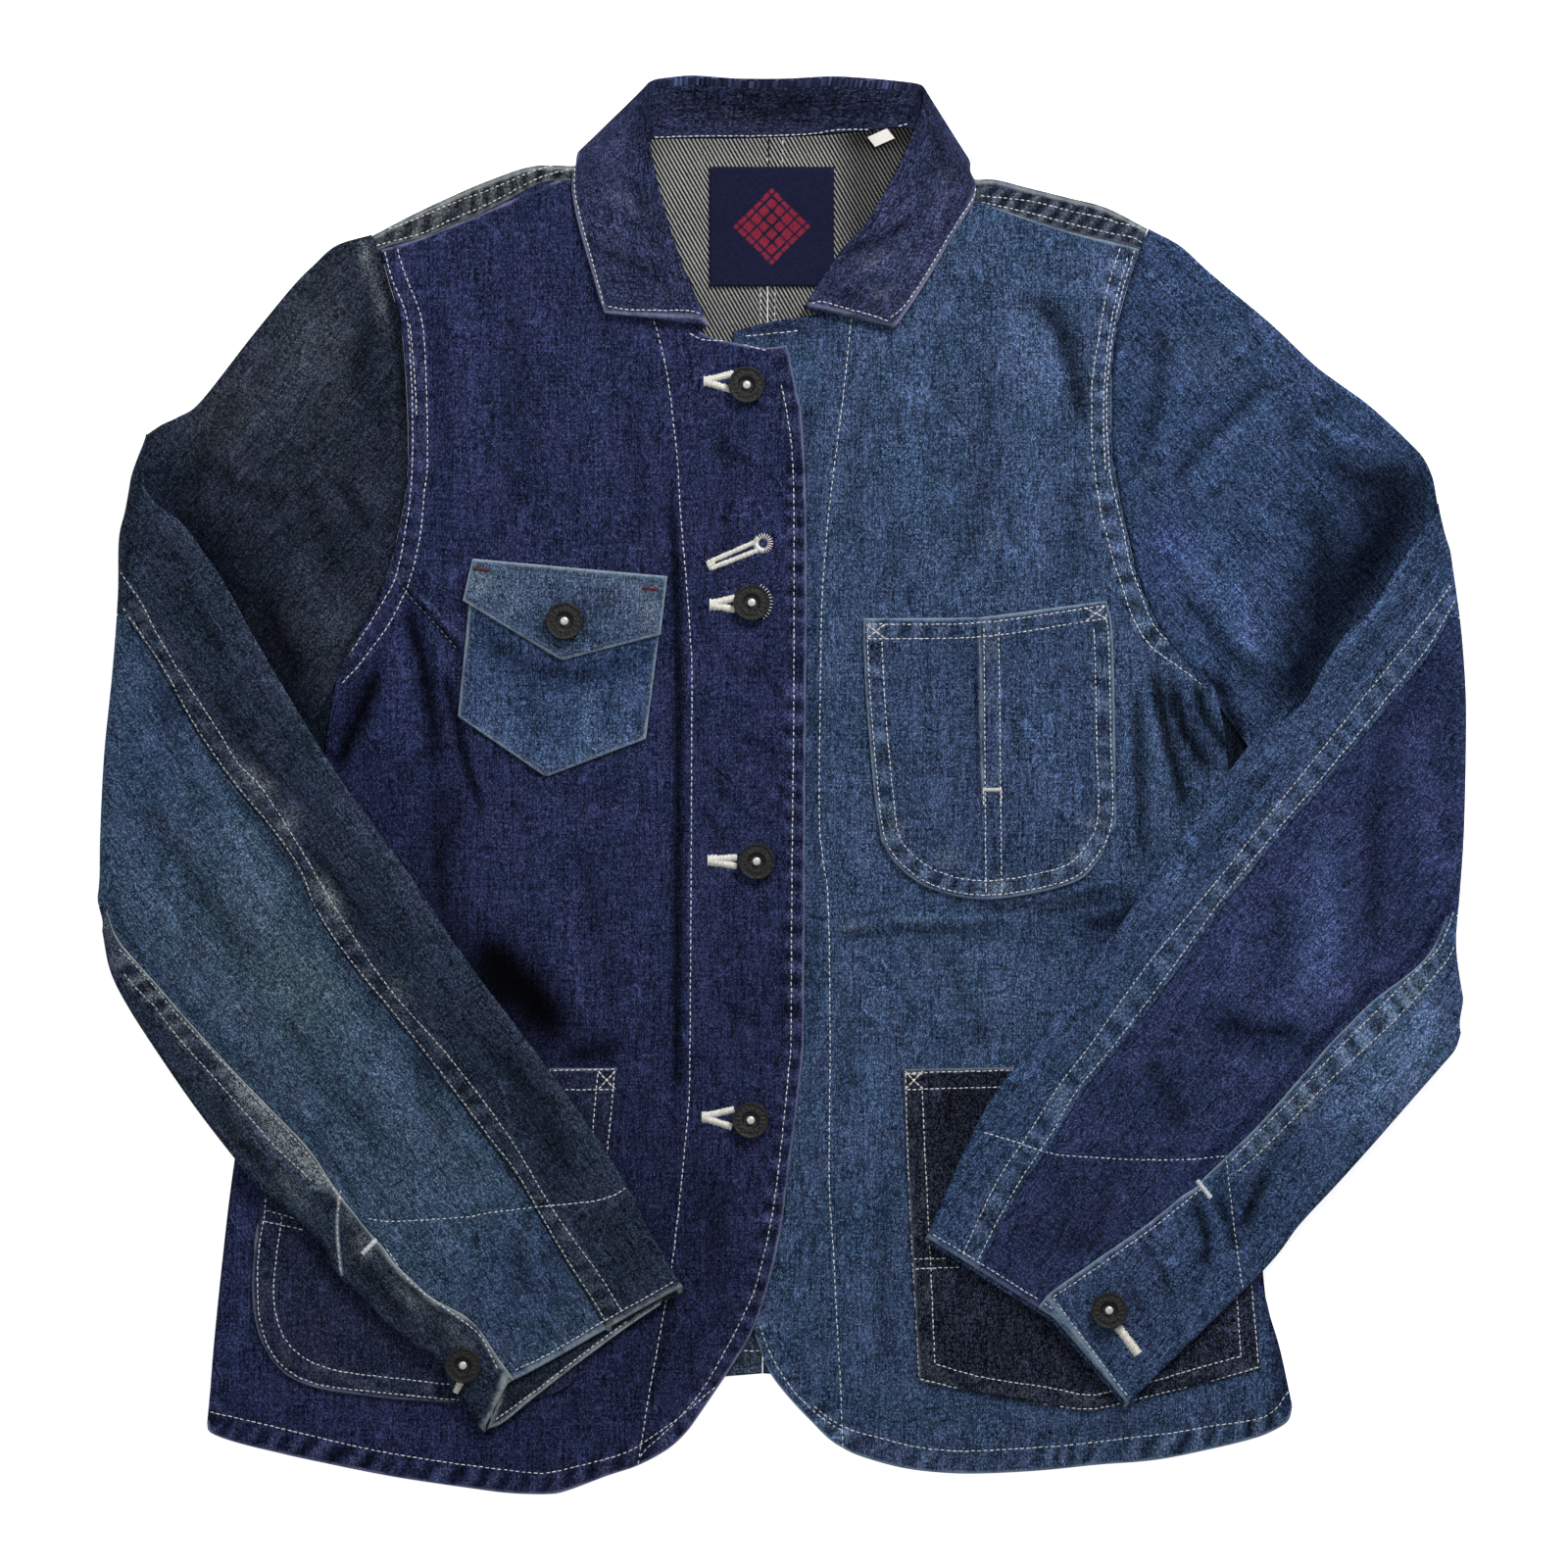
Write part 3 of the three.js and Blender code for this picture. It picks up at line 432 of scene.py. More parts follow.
# ------------------------------------------------------------------ materials
class Graph:
    def __init__(self, name):
        self.mat = bpy.data.materials.new(name)
        self.mat.use_nodes = True
        self.tree = self.mat.node_tree
        self.tree.nodes.clear()
        self.out = self.tree.nodes.new("ShaderNodeOutputMaterial")
        self.bsdf = self.tree.nodes.new("ShaderNodeBsdfPrincipled")
        self.tree.links.new(self.bsdf.outputs[0], self.out.inputs[0])

    def put(self, sock, val):
        if hasattr(val, "is_output"):
            self.tree.links.new(val, sock)
        else:
            sock.default_value = val

    def math(self, op, a, b=0.0, c=None, clamp=False):
        n = self.tree.nodes.new("ShaderNodeMath")
        n.operation = op
        n.use_clamp = clamp
        self.put(n.inputs[0], a)
        self.put(n.inputs[1], b)
        if c is not None:
            self.put(n.inputs[2], c)
        return n.outputs[0]

    def vec(self, op, a, b):
        n = self.tree.nodes.new("ShaderNodeVectorMath")
        n.operation = op
        self.put(n.inputs[0], a)
        if op == "SCALE":
            self.put(n.inputs["Scale"], b)
        else:
            self.put(n.inputs[1], b)
        return n.outputs[0]

    def noise(self, vector, detail=2.0, rough=0.55, scale=1.0):
        n = self.tree.nodes.new("ShaderNodeTexNoise")
        self.put(n.inputs["Vector"], vector)
        n.inputs["Scale"].default_value = scale
        n.inputs["Detail"].default_value = detail
        n.inputs["Roughness"].default_value = rough
        return n.outputs[0]

    def cells(self, vector):
        n = self.tree.nodes.new("ShaderNodeTexWhiteNoise")
        n.noise_dimensions = "3D"
        self.put(n.inputs["Vector"], self.vec("FLOOR", vector, (0, 0, 0)))
        return n.outputs["Value"]

    def attr(self, name, out="Fac"):
        n = self.tree.nodes.new("ShaderNodeAttribute")
        n.attribute_name = name
        return n.outputs[out]

    def ramp(self, a, lo, hi, x0=0.0, x1=1.0):
        n = self.tree.nodes.new("ShaderNodeMapRange")
        n.interpolation_type = "SMOOTHSTEP"
        self.put(n.inputs[0], a)
        n.inputs[1].default_value = lo
        n.inputs[2].default_value = hi
        n.inputs[3].default_value = x0
        n.inputs[4].default_value = x1
        return n.outputs[0]

    def mix(self, f, a, b, mode="MIX"):
        n = self.tree.nodes.new("ShaderNodeMix")
        n.data_type = "RGBA"
        n.blend_type = mode
        self.put(n.inputs[0], f)
        self.put(n.inputs[6], a)
        self.put(n.inputs[7], b)
        return n.outputs[2]


def denim(name, pale=(0.20, 0.25, 0.36, 1), speck=1.0, streak=1.2, blotch=0.9, wash=0.7, fleck=0.40, edge=0.75, twill=None, rough=0.92, hue=(1.06, 0.985, 1.0)):
    g = Graph(name)
    co = g.attr("grain", "Vector")
    half = lambda n: g.math("SUBTRACT", n, 0.5)
    c1 = g.cells(g.vec("MULTIPLY", co, (2.1, 1.4, 1.0)))
    n2 = g.noise(g.vec("MULTIPLY", co, (2.0, 1.7, 1.0)), 1.0, 0.5)
    warp = g.noise(g.vec("MULTIPLY", co, (1.5, 0.06, 1.0)), 2.0, 0.6)
    weft = g.noise(g.vec("MULTIPLY", co, (0.08, 1.5, 1.0)), 1.0, 0.6)
    n4 = g.noise(g.vec("MULTIPLY", co, (0.15, 0.08, 1.0)), 3.0, 0.62)
    n5 = g.noise(g.vec("MULTIPLY", co, (0.05, 0.035, 1.0)), 2.0, 0.6)
    n6 = g.noise(g.vec("MULTIPLY", co, (0.060, 0.036, 1.0)), 2.0, 0.45)
    # single pale weft ends over the dyed warp, thread streaks both ways, then patches of wash
    val = g.math("MULTIPLY_ADD", g.math("POWER", c1, 3.0), 2.0 * speck, 1.0 - 0.50 * speck)
    val = g.math("MULTIPLY_ADD", half(n2), 0.9 * speck, val)
    val = g.math("MULTIPLY_ADD", half(warp), 1.7 * streak, val)
    val = g.math("MULTIPLY_ADD", half(weft), 1.0 * streak, val)
    val = g.math("MULTIPLY", val, g.math("MULTIPLY_ADD", half(n4), blotch, 1.0))
    val = g.math("MULTIPLY", val, g.math("MULTIPLY_ADD", half(n5), wash, 1.0))
    # hair-line creases: a pale crest beside a dark one, coming and going; the pale crest is partly rubbed wear and
    # partly painted highlight, the dark line beside it is painted shade
    crest = g.math("MULTIPLY", g.ramp(g.math("ABSOLUTE", half(n6)), 0.022, 0.0), g.ramp(n4, 0.46, 0.60))
    dip = g.math("MULTIPLY", g.ramp(g.math("ABSOLUTE", g.math("SUBTRACT", n6, 0.455)), 0.026, 0.0), g.ramp(n4, 0.44, 0.58))
    val = g.math("MULTIPLY", val, g.math("MULTIPLY_ADD", crest, 0.55, g.math("MULTIPLY_ADD", dip, -0.42, 1.0)))
    val = g.math("MAXIMUM", val, 0.10)
    col = g.vec("SCALE", g.attr("tone", "Color"), val)
    col = g.vec("MULTIPLY", col, g.mix(g.ramp(n5, 0.35, 0.65), (2 - hue[0], 2 - hue[1], 2 - hue[2], 1), (hue[0], hue[1], hue[2], 1)))
    fl = g.math("MULTIPLY", g.ramp(c1, 0.88, 1.0), fleck)
    col = g.mix(fl, col, g.vec("MULTIPLY", g.attr("tone", "Color"), (4.2, 3.9, 3.1)))
    n1 = g.math("MULTIPLY_ADD", half(c1), 0.35, n2)
    rag = g.math("MULTIPLY_ADD", half(n1), 1.8, g.math("MULTIPLY_ADD", half(n4), 1.8, g.attr("edge")))
    near_edge = g.ramp(rag, 1.15, 0.10)
    w = g.math("MULTIPLY_ADD", near_edge, edge, g.math("MULTIPLY", g.attr("wear"), g.ramp(n1, 0.34, 0.68, 0.05, 1.0)), clamp=True)
    worn = g.mix(n1, (pale[0] * 0.5, pale[1] * 0.5, pale[2] * 0.5, 1), (pale[0] * 1.8, pale[1] * 1.7, pale[2] * 1.5, 1))
    col = g.mix(w, col, worn)
    if twill:
        inside = g.attr("inside")
        lines = g.tree.nodes.new("ShaderNodeTexWave")
        lines.bands_direction = "X"
        lines.wave_profile = "SIN"
        g.put(lines.inputs["Vector"], g.vec("MULTIPLY", g.attr("diag", "Vector"), (1.0, 1.0, 1.0)))
        lines.inputs["Scale"].default_value = twill[0]
        lines.inputs["Distortion"].default_value = 0.7
        lines.inputs["Detail"].default_value = 2.0
        lines.inputs["Detail Scale"].default_value = 2.0
        t = g.math("MULTIPLY_ADD", half(n2), 0.6, lines.outputs[1])
        twc = g.mix(g.ramp(t, 0.44, 0.70), twill[1], twill[2])
        twc = g.vec("SCALE", twc, g.math("MULTIPLY_ADD", half(n1), 0.8, 1.0))
        twc = g.vec("MULTIPLY", twc, g.attr("tone", "Color"))
        col = g.mix(inside, col, twc)
    g.put(g.bsdf.inputs["Base Color"], col)
    g.bsdf.inputs["Roughness"].default_value = rough
    g.bsdf.inputs["Specular IOR Level"].default_value = 0.04
    bump = g.tree.nodes.new("ShaderNodeBump")
    bump.inputs["Strength"].default_value = 0.6
    bump.inputs["Distance"].default_value = 0.00035
    g.put(bump.inputs["Height"], g.math("MULTIPLY_ADD", crest, 1.0, g.math("MULTIPLY_ADD", dip, -1.0, g.math("ADD", g.math("MULTIPLY", warp, 0.5), g.math("MULTIPLY", n2, 0.8)))))
    g.tree.links.new(bump.outputs[0], g.bsdf.inputs["Normal"])
    return g.mat


def plain(name, colour, rough=0.8, metal=0.0, spec=0.3, bump=None, tone=False, vary=0.0, fine=(2400.0, 2400.0, 2400.0)):
    g = Graph(name)
    if tone or vary:
        col = g.attr("tone", "Color") if tone else (*colour, 1)
        if vary:
            co = g.tree.nodes.new("ShaderNodeTexCoord").outputs["Object"]
            n = g.noise(g.vec("MULTIPLY", co, fine), 2.0, 0.6)
            lo, hi = 1 - vary, 1 + vary
            k = g.mix(g.ramp(n, 0.3, 0.7), (lo, lo, lo, 1), (hi, hi, hi, 1))
            col = g.mix(1.0, col, k, "MULTIPLY")
        g.put(g.bsdf.inputs["Base Color"], col)
    else:
        g.bsdf.inputs["Base Color"].default_value = (*colour, 1)
    g.bsdf.inputs["Roughness"].default_value = rough
    g.bsdf.inputs["Metallic"].default_value = metal
    g.bsdf.inputs["Specular IOR Level"].default_value = spec
    if bump:
        co = g.tree.nodes.new("ShaderNodeTexCoord").outputs["Object"]
        n = g.noise(co, 3.0, 0.6, bump[0])
        b = g.tree.nodes.new("ShaderNodeBump")
        b.inputs["Strength"].default_value = bump[1]
        b.inputs["Distance"].default_value = bump[2]
        g.put(b.inputs["Height"], n)
        g.tree.links.new(b.outputs[0], g.bsdf.inputs["Normal"])
    return g.mat


M_VIOLET = denim("denim violet", pale=(0.17, 0.19, 0.34, 1))
M_TEAL = denim("denim teal", pale=(0.21, 0.29, 0.40, 1))
M_CHAR = denim("denim charcoal", pale=(0.23, 0.28, 0.33, 1), edge=0.95)
M_PALE = denim("denim pale", pale=(0.26, 0.34, 0.44, 1), edge=0.85)
M_NAVY = denim("denim navy", pale=(0.15, 0.18, 0.27, 1))
M_BLACK = denim("denim black", pale=(0.14, 0.17, 0.23, 1), speck=1.5)
M_COLLAR = denim("denim violet collar", pale=(0.20, 0.22, 0.36, 1), speck=1.15, blotch=1.4)
M_VIOLET2 = denim("denim violet sleeve", pale=(0.17, 0.19, 0.34, 1), speck=0.95, blotch=0.7, wash=0.9)
M_BACK = denim("denim slate", pale=(0.24, 0.27, 0.30, 1), twill=(0.1915, (0.010, 0.012, 0.016, 1), (0.56, 0.56, 0.53, 1)))
M_THREAD = plain("thread", (0.7, 0.7, 0.7), 0.75, tone=True, vary=0.14, fine=(1500.0, 1500.0, 1500.0))
M_BUTTON = plain("button metal", (0.014, 0.014, 0.015), 0.40, 0.4, 0.5, bump=(1100.0, 1.0, 0.0007), vary=0.35, fine=(900.0, 900.0, 900.0))
M_RIVET = plain("rivet", (0.75, 0.73, 0.70), 0.42, 0.55, 0.5, vary=0.12, fine=(1800.0, 1800.0, 1800.0))
M_LABEL = plain("label cloth", (0.1, 0.1, 0.1), 0.95, spec=0.03, tone=True, vary=0.30, fine=(1300.0, 3600.0, 1300.0), bump=(2600.0, 0.5, 0.0002))
M_TAG = plain("tag cloth", (0.82, 0.79, 0.74), 0.7, vary=0.07, fine=(3600.0, 1500.0, 1500.0), bump=(2600.0, 0.4, 0.0002))

# ------------------------------------------------------------------ given lines
ARM_R = [(388, 255), (392, 270), (396, 285), (402, 305), (408, 325), (413, 370), (416, 430), (416, 480), (411, 520),
         (400, 570), (384, 615), (362, 650), (347, 672)]
ARM_R_NEAR = [(391, 250), (395, 268), (402, 290), (410, 308), (415, 325), (419, 370), (421, 440), (419, 500), (412, 550),
              (403, 590), (390, 615), (375, 640), (360, 662), (351, 676)]
ARM_R_TWIN = [(418, 330), (421, 360), (424, 400), (425, 425)]
ARM_R_FAR = [(404, 247), (408, 265), (417, 290), (426, 312), (432, 340), (435, 400), (436, 470), (433, 500), (428, 550),
             (417, 595), (408, 615), (395, 640), (380, 660), (365, 680), (348, 698)]
DART_R = [(398, 582), (415, 605), (445, 638), (466, 662)]
SIDE_R = [(347, 672), (335, 738), (322, 830), (284, 1000), (242, 1190), (228, 1290), (218, 1380), (211, 1452)]
EDGE_R = [(716, 1440), (743, 1400), (766, 1362), (783, 1315), (796, 1260), (804, 1200), (812, 1140), (819, 1080), (820, 1050),
          (821, 900), (822, 750), (823, 600), (822, 500), (818, 425), (813, 400), (808, 375), (803, 352)]
HEM_R = [(211, 1452), (214, 1462), (240, 1472), (280, 1482), (320, 1491), (400, 1507), (480, 1519), (520, 1524), (560, 1525),
         (580, 1521), (620, 1506), (650, 1496), (680, 1480), (700, 1462), (716, 1440)]
EDGE_R_ROW = [(797, 392), (801, 410), (805, 435), (808, 460), (810, 520), (810, 700), (808, 900), (807, 1060), (805, 1090),
              (797, 1170), (787, 1245), (772, 1310), (762, 1335), (750, 1360), (738, 1382), (725, 1405), (708, 1430),
              (690, 1450), (675, 1465), (660, 1478), (652, 1488)]
FACING_R = [(667, 326), (675, 355), (682, 390), (687, 430), (692, 480), (694, 520), (700, 590), (705, 660), (706, 700), (705, 900),
            (704, 1060), (703, 1120), (695, 1210), (687, 1280), (679, 1330), (670, 1380), (661, 1430), (651, 1495)]
HEM_R_ROW = [(213, 1441), (240, 1447), (300, 1461), (380, 1480), (460, 1493), (540, 1503), (560, 1503), (600, 1494),
             (640, 1482), (660, 1470), (680, 1456), (700, 1441), (730, 1415)]
TOP_R_ROW = [(703, 340), (718, 347), (740, 348), (760, 352), (782, 358)]

ARM_L = [(1163, 254), (1151, 290), (1140, 333), (1135, 370), (1134, 410), (1135, 460), (1143, 512), (1151, 547), (1165, 600),
         (1190, 650), (1215, 678), (1240, 699)]
ARM_L_NEAR = [(1165, 230), (1155, 265), (1143, 305), (1135, 345), (1130, 390), (1129, 420), (1131, 460), (1134, 490), (1146, 540),
              (1153, 575), (1162, 600), (1178, 639), (1200, 660), (1242, 692)]
ARM_L_TWIN = [(1151, 262), (1140, 300), (1132, 340), (1127, 390), (1126, 430), (1128, 480)]
ARM_L_FAR = [(1153, 223), (1142, 256), (1130, 295), (1122, 340), (1115, 385), (1114, 420), (1115, 460), (1122, 515), (1128, 540),
             (1138, 578), (1142, 588), (1156, 630), (1175, 660), (1205, 682), (1237, 707)]
DART_L = [(1155, 575), (1140, 590), (1125, 605)]
SIDE_L = [(1240, 699), (1253, 775), (1258, 920), (1268, 1070), (1276, 1200), (1287, 1310), (1306, 1375), (1319, 1436)]
EDGE_L = [(832, 1455), (808, 1430), (785, 1400), (770, 1362), (755, 1320), (744, 1200), (740, 1000), (740, 700), (742, 450), (748, 338)]
HEM_L = [(1319, 1436), (1315, 1450), (1300, 1460), (1280, 1468), (1240, 1478), (1180, 1490), (1120, 1495), (1060, 1501), (1000, 1504),
         (960, 1503), (920, 1498), (880, 1487), (860, 1478), (845, 1468), (832, 1455)]
EDGE_L_ROW = [(775, 1352), (783, 1375), (795, 1398), (810, 1420), (830, 1440), (850, 1455), (860, 1460)]
HEM_L_ROW = [(830, 1435), (850, 1450), (870, 1460), (900, 1468), (930, 1476), (960, 1480), (990, 1481), (1050, 1478), (1100, 1474),
             (1150, 1468), (1200, 1462), (1240, 1455), (1280, 1449), (1300, 1440), (1315, 1420)]
FACING_L = [(869, 323), (866, 350), (862, 390), (854, 455), (846, 520), (840, 590), (838, 630), (837, 700), (836, 830), (840, 880),
            (845, 920), (847, 1060), (846, 1180), (847, 1230), (850, 1270), (855, 1370), (858, 1420), (860, 1478)]
NECK_L_ROW = [(760, 343), (790, 340), (815, 337)]

FOLD_R = [(381, 243), (420, 222.5), (460, 203.5), (500, 186.5), (545, 172), (592, 172), (612, 163)]
BAND_R = [(385, 256), (400, 249.5), (420, 245), (440, 239), (460, 230), (480, 223), (500, 213), (520, 203), (540, 192), (560, 185), (592, 184), (619, 176)]
FOLD_L = [(1170, 236), (1128, 214.5), (1090, 204.5), (1050, 194.5), (1015, 186), (996, 186), (987, 181)]
BAND_L = [(1164, 255), (1150, 250), (1128, 245), (1100, 239), (1050, 224), (1015, 212), (996, 205), (986, 197)]
BAND_R_ROWS = [[(582, 166), (560, 170), (540, 176), (500, 193), (460, 208), (420, 225), (400, 232), (378, 238)],
               [(582, 173), (560, 178), (540, 186), (500, 207), (460, 224), (440, 234), (420, 241), (400, 246), (383, 251)]]
BAND_L_ROWS = [[(1000, 200), (1050, 205), (1100, 217), (1125, 222), (1140, 227), (1165, 232)],
               [(1000, 206), (1050, 217), (1100, 230), (1130, 237), (1155, 242), (1166, 248)]]

# collar stations: neck seam, roll line, outer edge, turn (0 fall on top, 180 fall beneath)
COLLAR = np.array([
    (714, 337, 722, 333, 617, 320, 0), (699, 318, 713, 312, 612, 306, 0), (680, 287, 697, 275, 604, 278, 0), (662, 252, 683, 235, 595, 248, 0),
    (648, 222, 672, 195, 587, 217, 0), (634, 194, 664, 160, 583, 192, 0), (624, 176, 660, 128, 584, 176, 0), (623, 166, 660, 108, 588, 168, 0),
    (628, 158, 659, 96, 588.5, 160, 45), (638, 151, 660, 88, 589.5, 156, 90), (648, 146, 663, 84, 596, 160, 135), (661, 141, 670, 81, 611, 172, 180),
    (703, 140, 705, 77, 676, 183, 180), (745, 140, 752, 81, 740, 186, 180), (790, 139, 802, 81, 800, 187, 180), (835, 137, 850, 78, 862, 186, 180),
    (880, 133, 895, 81, 922, 181, 180), (922, 129, 932, 85, 972, 173, 180), (938, 133, 940, 87, 985, 166, 135), (950, 140, 943, 91, 989, 164, 90),
    (962, 150, 943, 98, 990, 168, 45), (967, 161, 942, 107, 990, 175, 0), (967, 174, 938, 122, 996, 187, 0), (962, 197, 925, 155, 995, 204, 0),
    (944, 221, 905, 195, 983, 224, 0), (921, 244, 884, 230, 967, 250, 0), (893, 269, 858, 257, 950, 280, 0), (862, 299, 838, 288, 931, 310, 0),
    (836, 322, 821, 314, 914, 334, 0)], float)
WING_R_ROW = [(587, 165), (586, 185), (588, 205), (597, 240), (608, 280), (616, 312)]
WING_R_ROW2 = [(620, 313), (640, 316), (680, 317), (700, 317), (715, 320)]
WING_L_ROW = [(996, 180), (994, 200), (980, 222), (960, 255), (940, 288), (922, 313), (908, 325)]
WING_L_ROW2 = [(907, 328), (890, 322), (860, 314), (840, 308), (827, 310)]
NECK_ROW = [(661, 140), (720, 138.5), (760, 138.5), (800, 138), (830, 136), (860, 132), (900, 132), (927, 126)]


SIDE_RB = [(347, 672), (318, 712), (296, 790), (280, 900), (262, 1040), (238, 1190), (226, 1290), (217, 1380), (212, 1448)]
SIDE_LB = [(1240, 699), (1278, 742), (1292, 830), (1290, 920), (1292, 1070), (1290, 1200), (1290, 1310), (1306, 1375), (1319, 1434)]


def neck_edge(k):
    n, r = COLLAR[k, 0:2], COLLAR[k, 2:4]
    d = (n - r) / np.hypot(*(n - r))
    return tuple(n + d * 1.3)


# ------------------------------------------------------------------ backs
def back(name, slot, centre, fold, band, side, arm, neck, band_rows, seed, denim_colour, band_colour, cb):
    fold_c, neck_c = curve(fold, 3.0), curve(neck, 3.0)
    rim = np.vstack([fold_c, neck_c])
    left = np.vstack([curve(side[::-1], 4.0), curve(arm[::-1], 4.0)[1:], fold_c[:1]])
    right = np.array([centre[0], centre[1], neck[-1]], float)
    bottom = np.array([side[-1], centre[0]], float)
    W, H = 220.0, 560.0
    us, vs = spacing(74, W), spacing(170, H)
    v, u = np.meshgrid(vs, us, indexing="ij")
    p = coons(bottom, rim, left, right, u, v)
    x, y = p[..., 0], p[..., 1]
    d = np.minimum(np.minimum(u, 1 - u) * W, np.minimum(v, 1 - v) * H)
    # the dark ovals at (340, 750) and (1270, 750) are painted shadow in the underarm gaps where the back shows
    spec = Cloth(seed, denim_colour, calm=0.07, rows=cb, tones=[("o", 340, 750, 70, 110, 0, (0.3, 0.3, 0.3)), ("o", 1270, 750, 60, 110, 0, (0.16, 0.22, 0.12)), ("o", 768, 1390, 70, 26, 0, (1.8, 1.7, 1.5))])
    z = neck_lift(x, y) + T + 0.5 * spec.relief(p) * smooth(0, 3, d) - rounding(d) * 0.6
    zb = np.maximum(neck_lift(x, y), 0.02) + rounding(d) * 0.5
    verts, faces, pick = shell(world(x, y, z), world(x, y, zb), 3, 3)
    inside = (1 - smooth(372, 380, y)) * 1.0
    tone = spec.tone(p)
    # painted shade on the inside of the back neck: darker on the right in the shadow of the collar stand, and darker
    # towards the bottom, the top and the left edge
    light = np.ones_like(tone) * 0.72 * (1 - 0.64 * smooth(835, 880, x) * (1 - smooth(300, 330, y)) - 0.25 * smooth(255, 330, y) - 0.25 * (1 - smooth(138, 165, y)) - 0.25 * (1 - smooth(655, 690, x)))[..., None]
    tone_top = tone * (1 - inside[..., None]) + light * inside[..., None]
    g = np.stack([x * 0.45, y * 0.45, 0 * x + seed], -1)
    a = math.radians(30)
    dg = np.stack([x * 0.45 * math.cos(a) - y * 0.45 * math.sin(a), x * 0.0, x * 0.0], -1)
    nt = x.size
    tn, ins = pick(tone_top), pick(inside)
    under = pick(tone)
    tn[nt:] = under[nt:]
    ins[nt:] = 0
    attrs = {"tone": tn, "wear": pick(0 * x), "edge": pick(0 * x + 9), "grain": pick(g), "inside": ins, "diag": pick(dg)}
    # the shoulder band: over the fold and down to its felled edge on the front
    bc = curve(band, 3.0)
    n = 90
    f = np.linspace(0, 1, n)
    F, Bn = at(fold_c, f), at(bc, f)
    tang = np.gradient(F, axis=0)
    tang /= np.hypot(tang[:, 0], tang[:, 1])[:, None]
    out = np.stack([tang[:, 1], -tang[:, 0]], 1)
    out = np.where(out[:, 1:2] < 0, out, -out)
    R, r = T + 0.15, 0.15
    oz, iz, ox, ix = [], [], [], []
    bspec = Cloth(seed + 3, band_colour, calm=0.2, rows=band_rows, pucker=0.3, ropes=[((0.5 * (at(curve(band_rows[0]), f[::8]) + at(curve(band_rows[1]), f[::8]))).tolist(), -4, 14, 17, 0.42, 0.5, 0.30)])
    base = neck_lift(F[:, 0], F[:, 1])
    for deg in np.linspace(0, 180, 9):
        s, c = math.sin(math.radians(deg)), math.cos(math.radians(deg))
        ox.append(F + out * (R * s / 0.45))
        ix.append(F + out * (r * s / 0.45))
        oz.append(R - R * c + base)
        iz.append(R - r * c + base)
    for t in np.linspace(0.08, 1, 16):
        q = F + (Bn - F) * t
        rel = bspec.relief(q) * smooth(0, 0.25, t)
        dd = (1 - t) * np.hypot(*(Bn - F).T) * 0.45
        ox.append(q)
        ix.append(q)
        oz.append(2 * R + neck_lift(q[:, 0], q[:, 1]) + rel + 0.25 - rounding(dd))
        iz.append(R + r + neck_lift(q[:, 0], q[:, 1]) + rel * 0.5)
    ox, ix, oz, iz = (np.array(k) for k in (ox, ix, oz, iz))
    v2, f2, pick2 = shell(world(ox[..., 0], ox[..., 1], oz), world(ix[..., 0], ix[..., 1], iz), 1, 3, flip=(out[0, 0] > 0) != (tang[0, 0] > 0))
    faces2 = [[k + len(verts) for k in q] for q in f2]
    g2 = np.stack([ox[..., 0] * 0.45, ox[..., 1] * 0.45, 0 * oz + seed + 8], -1)
    at2 = {"tone": pick2(bspec.tone(ox)), "wear": pick2(bspec.wear(ox)), "edge": pick2(np.minimum(near(ox, bc)[0] * 0.45 / 1.1, near(ox, offset(fold_c, 0.0))[0] * 0.45 / 1.2)), "grain": pick2(g2),
           "inside": pick2(0 * oz), "diag": pick2(0 * g2)}
    allv = np.vstack([verts, v2])
    ob = finish_mesh(name, allv, faces + faces2, M_BACK, {k: np.concatenate([attrs[k], at2[k]]) for k in attrs})
    bm_fix(ob)
    return keep(name, ob, slot, name)


def bm_fix(ob):
    import bmesh
    bm = bmesh.new()
    bm.from_mesh(ob.data)
    bmesh.ops.recalc_face_normals(bm, faces=bm.faces)
    bm.to_mesh(ob.data)
    bm.free()
    ob.data.update()


CB_ROWS = [[(784, 142), (783, 168)], [(799, 142), (798, 168)], [(776, 290), (776, 345)], [(791, 290), (790, 345)]]
neck_r = [neck_edge(k) for k in (8, 9, 10, 11, 12, 13)] + [(783.6, 140.3)]
neck_l = [neck_edge(k) for k in (20, 19, 18, 17, 16, 15)] + [(784.6, 140.3)]
back_right = back("back_right", "denim_slate", ((777.6, 1402), (780.6, 770)), FOLD_R, BAND_R, SIDE_RB, ARM_R, neck_r, BAND_R_ROWS, 3,
                  (0.022, 0.034, 0.062), (0.036, 0.044, 0.055), CB_ROWS)
back_left = back("back_left", "denim_navy", ((778.6, 1402), (781.6, 770)), FOLD_L, BAND_L, SIDE_LB, ARM_L, neck_l, BAND_L_ROWS, 5,
                 (0.022, 0.030, 0.085), (0.026, 0.036, 0.064), CB_ROWS)

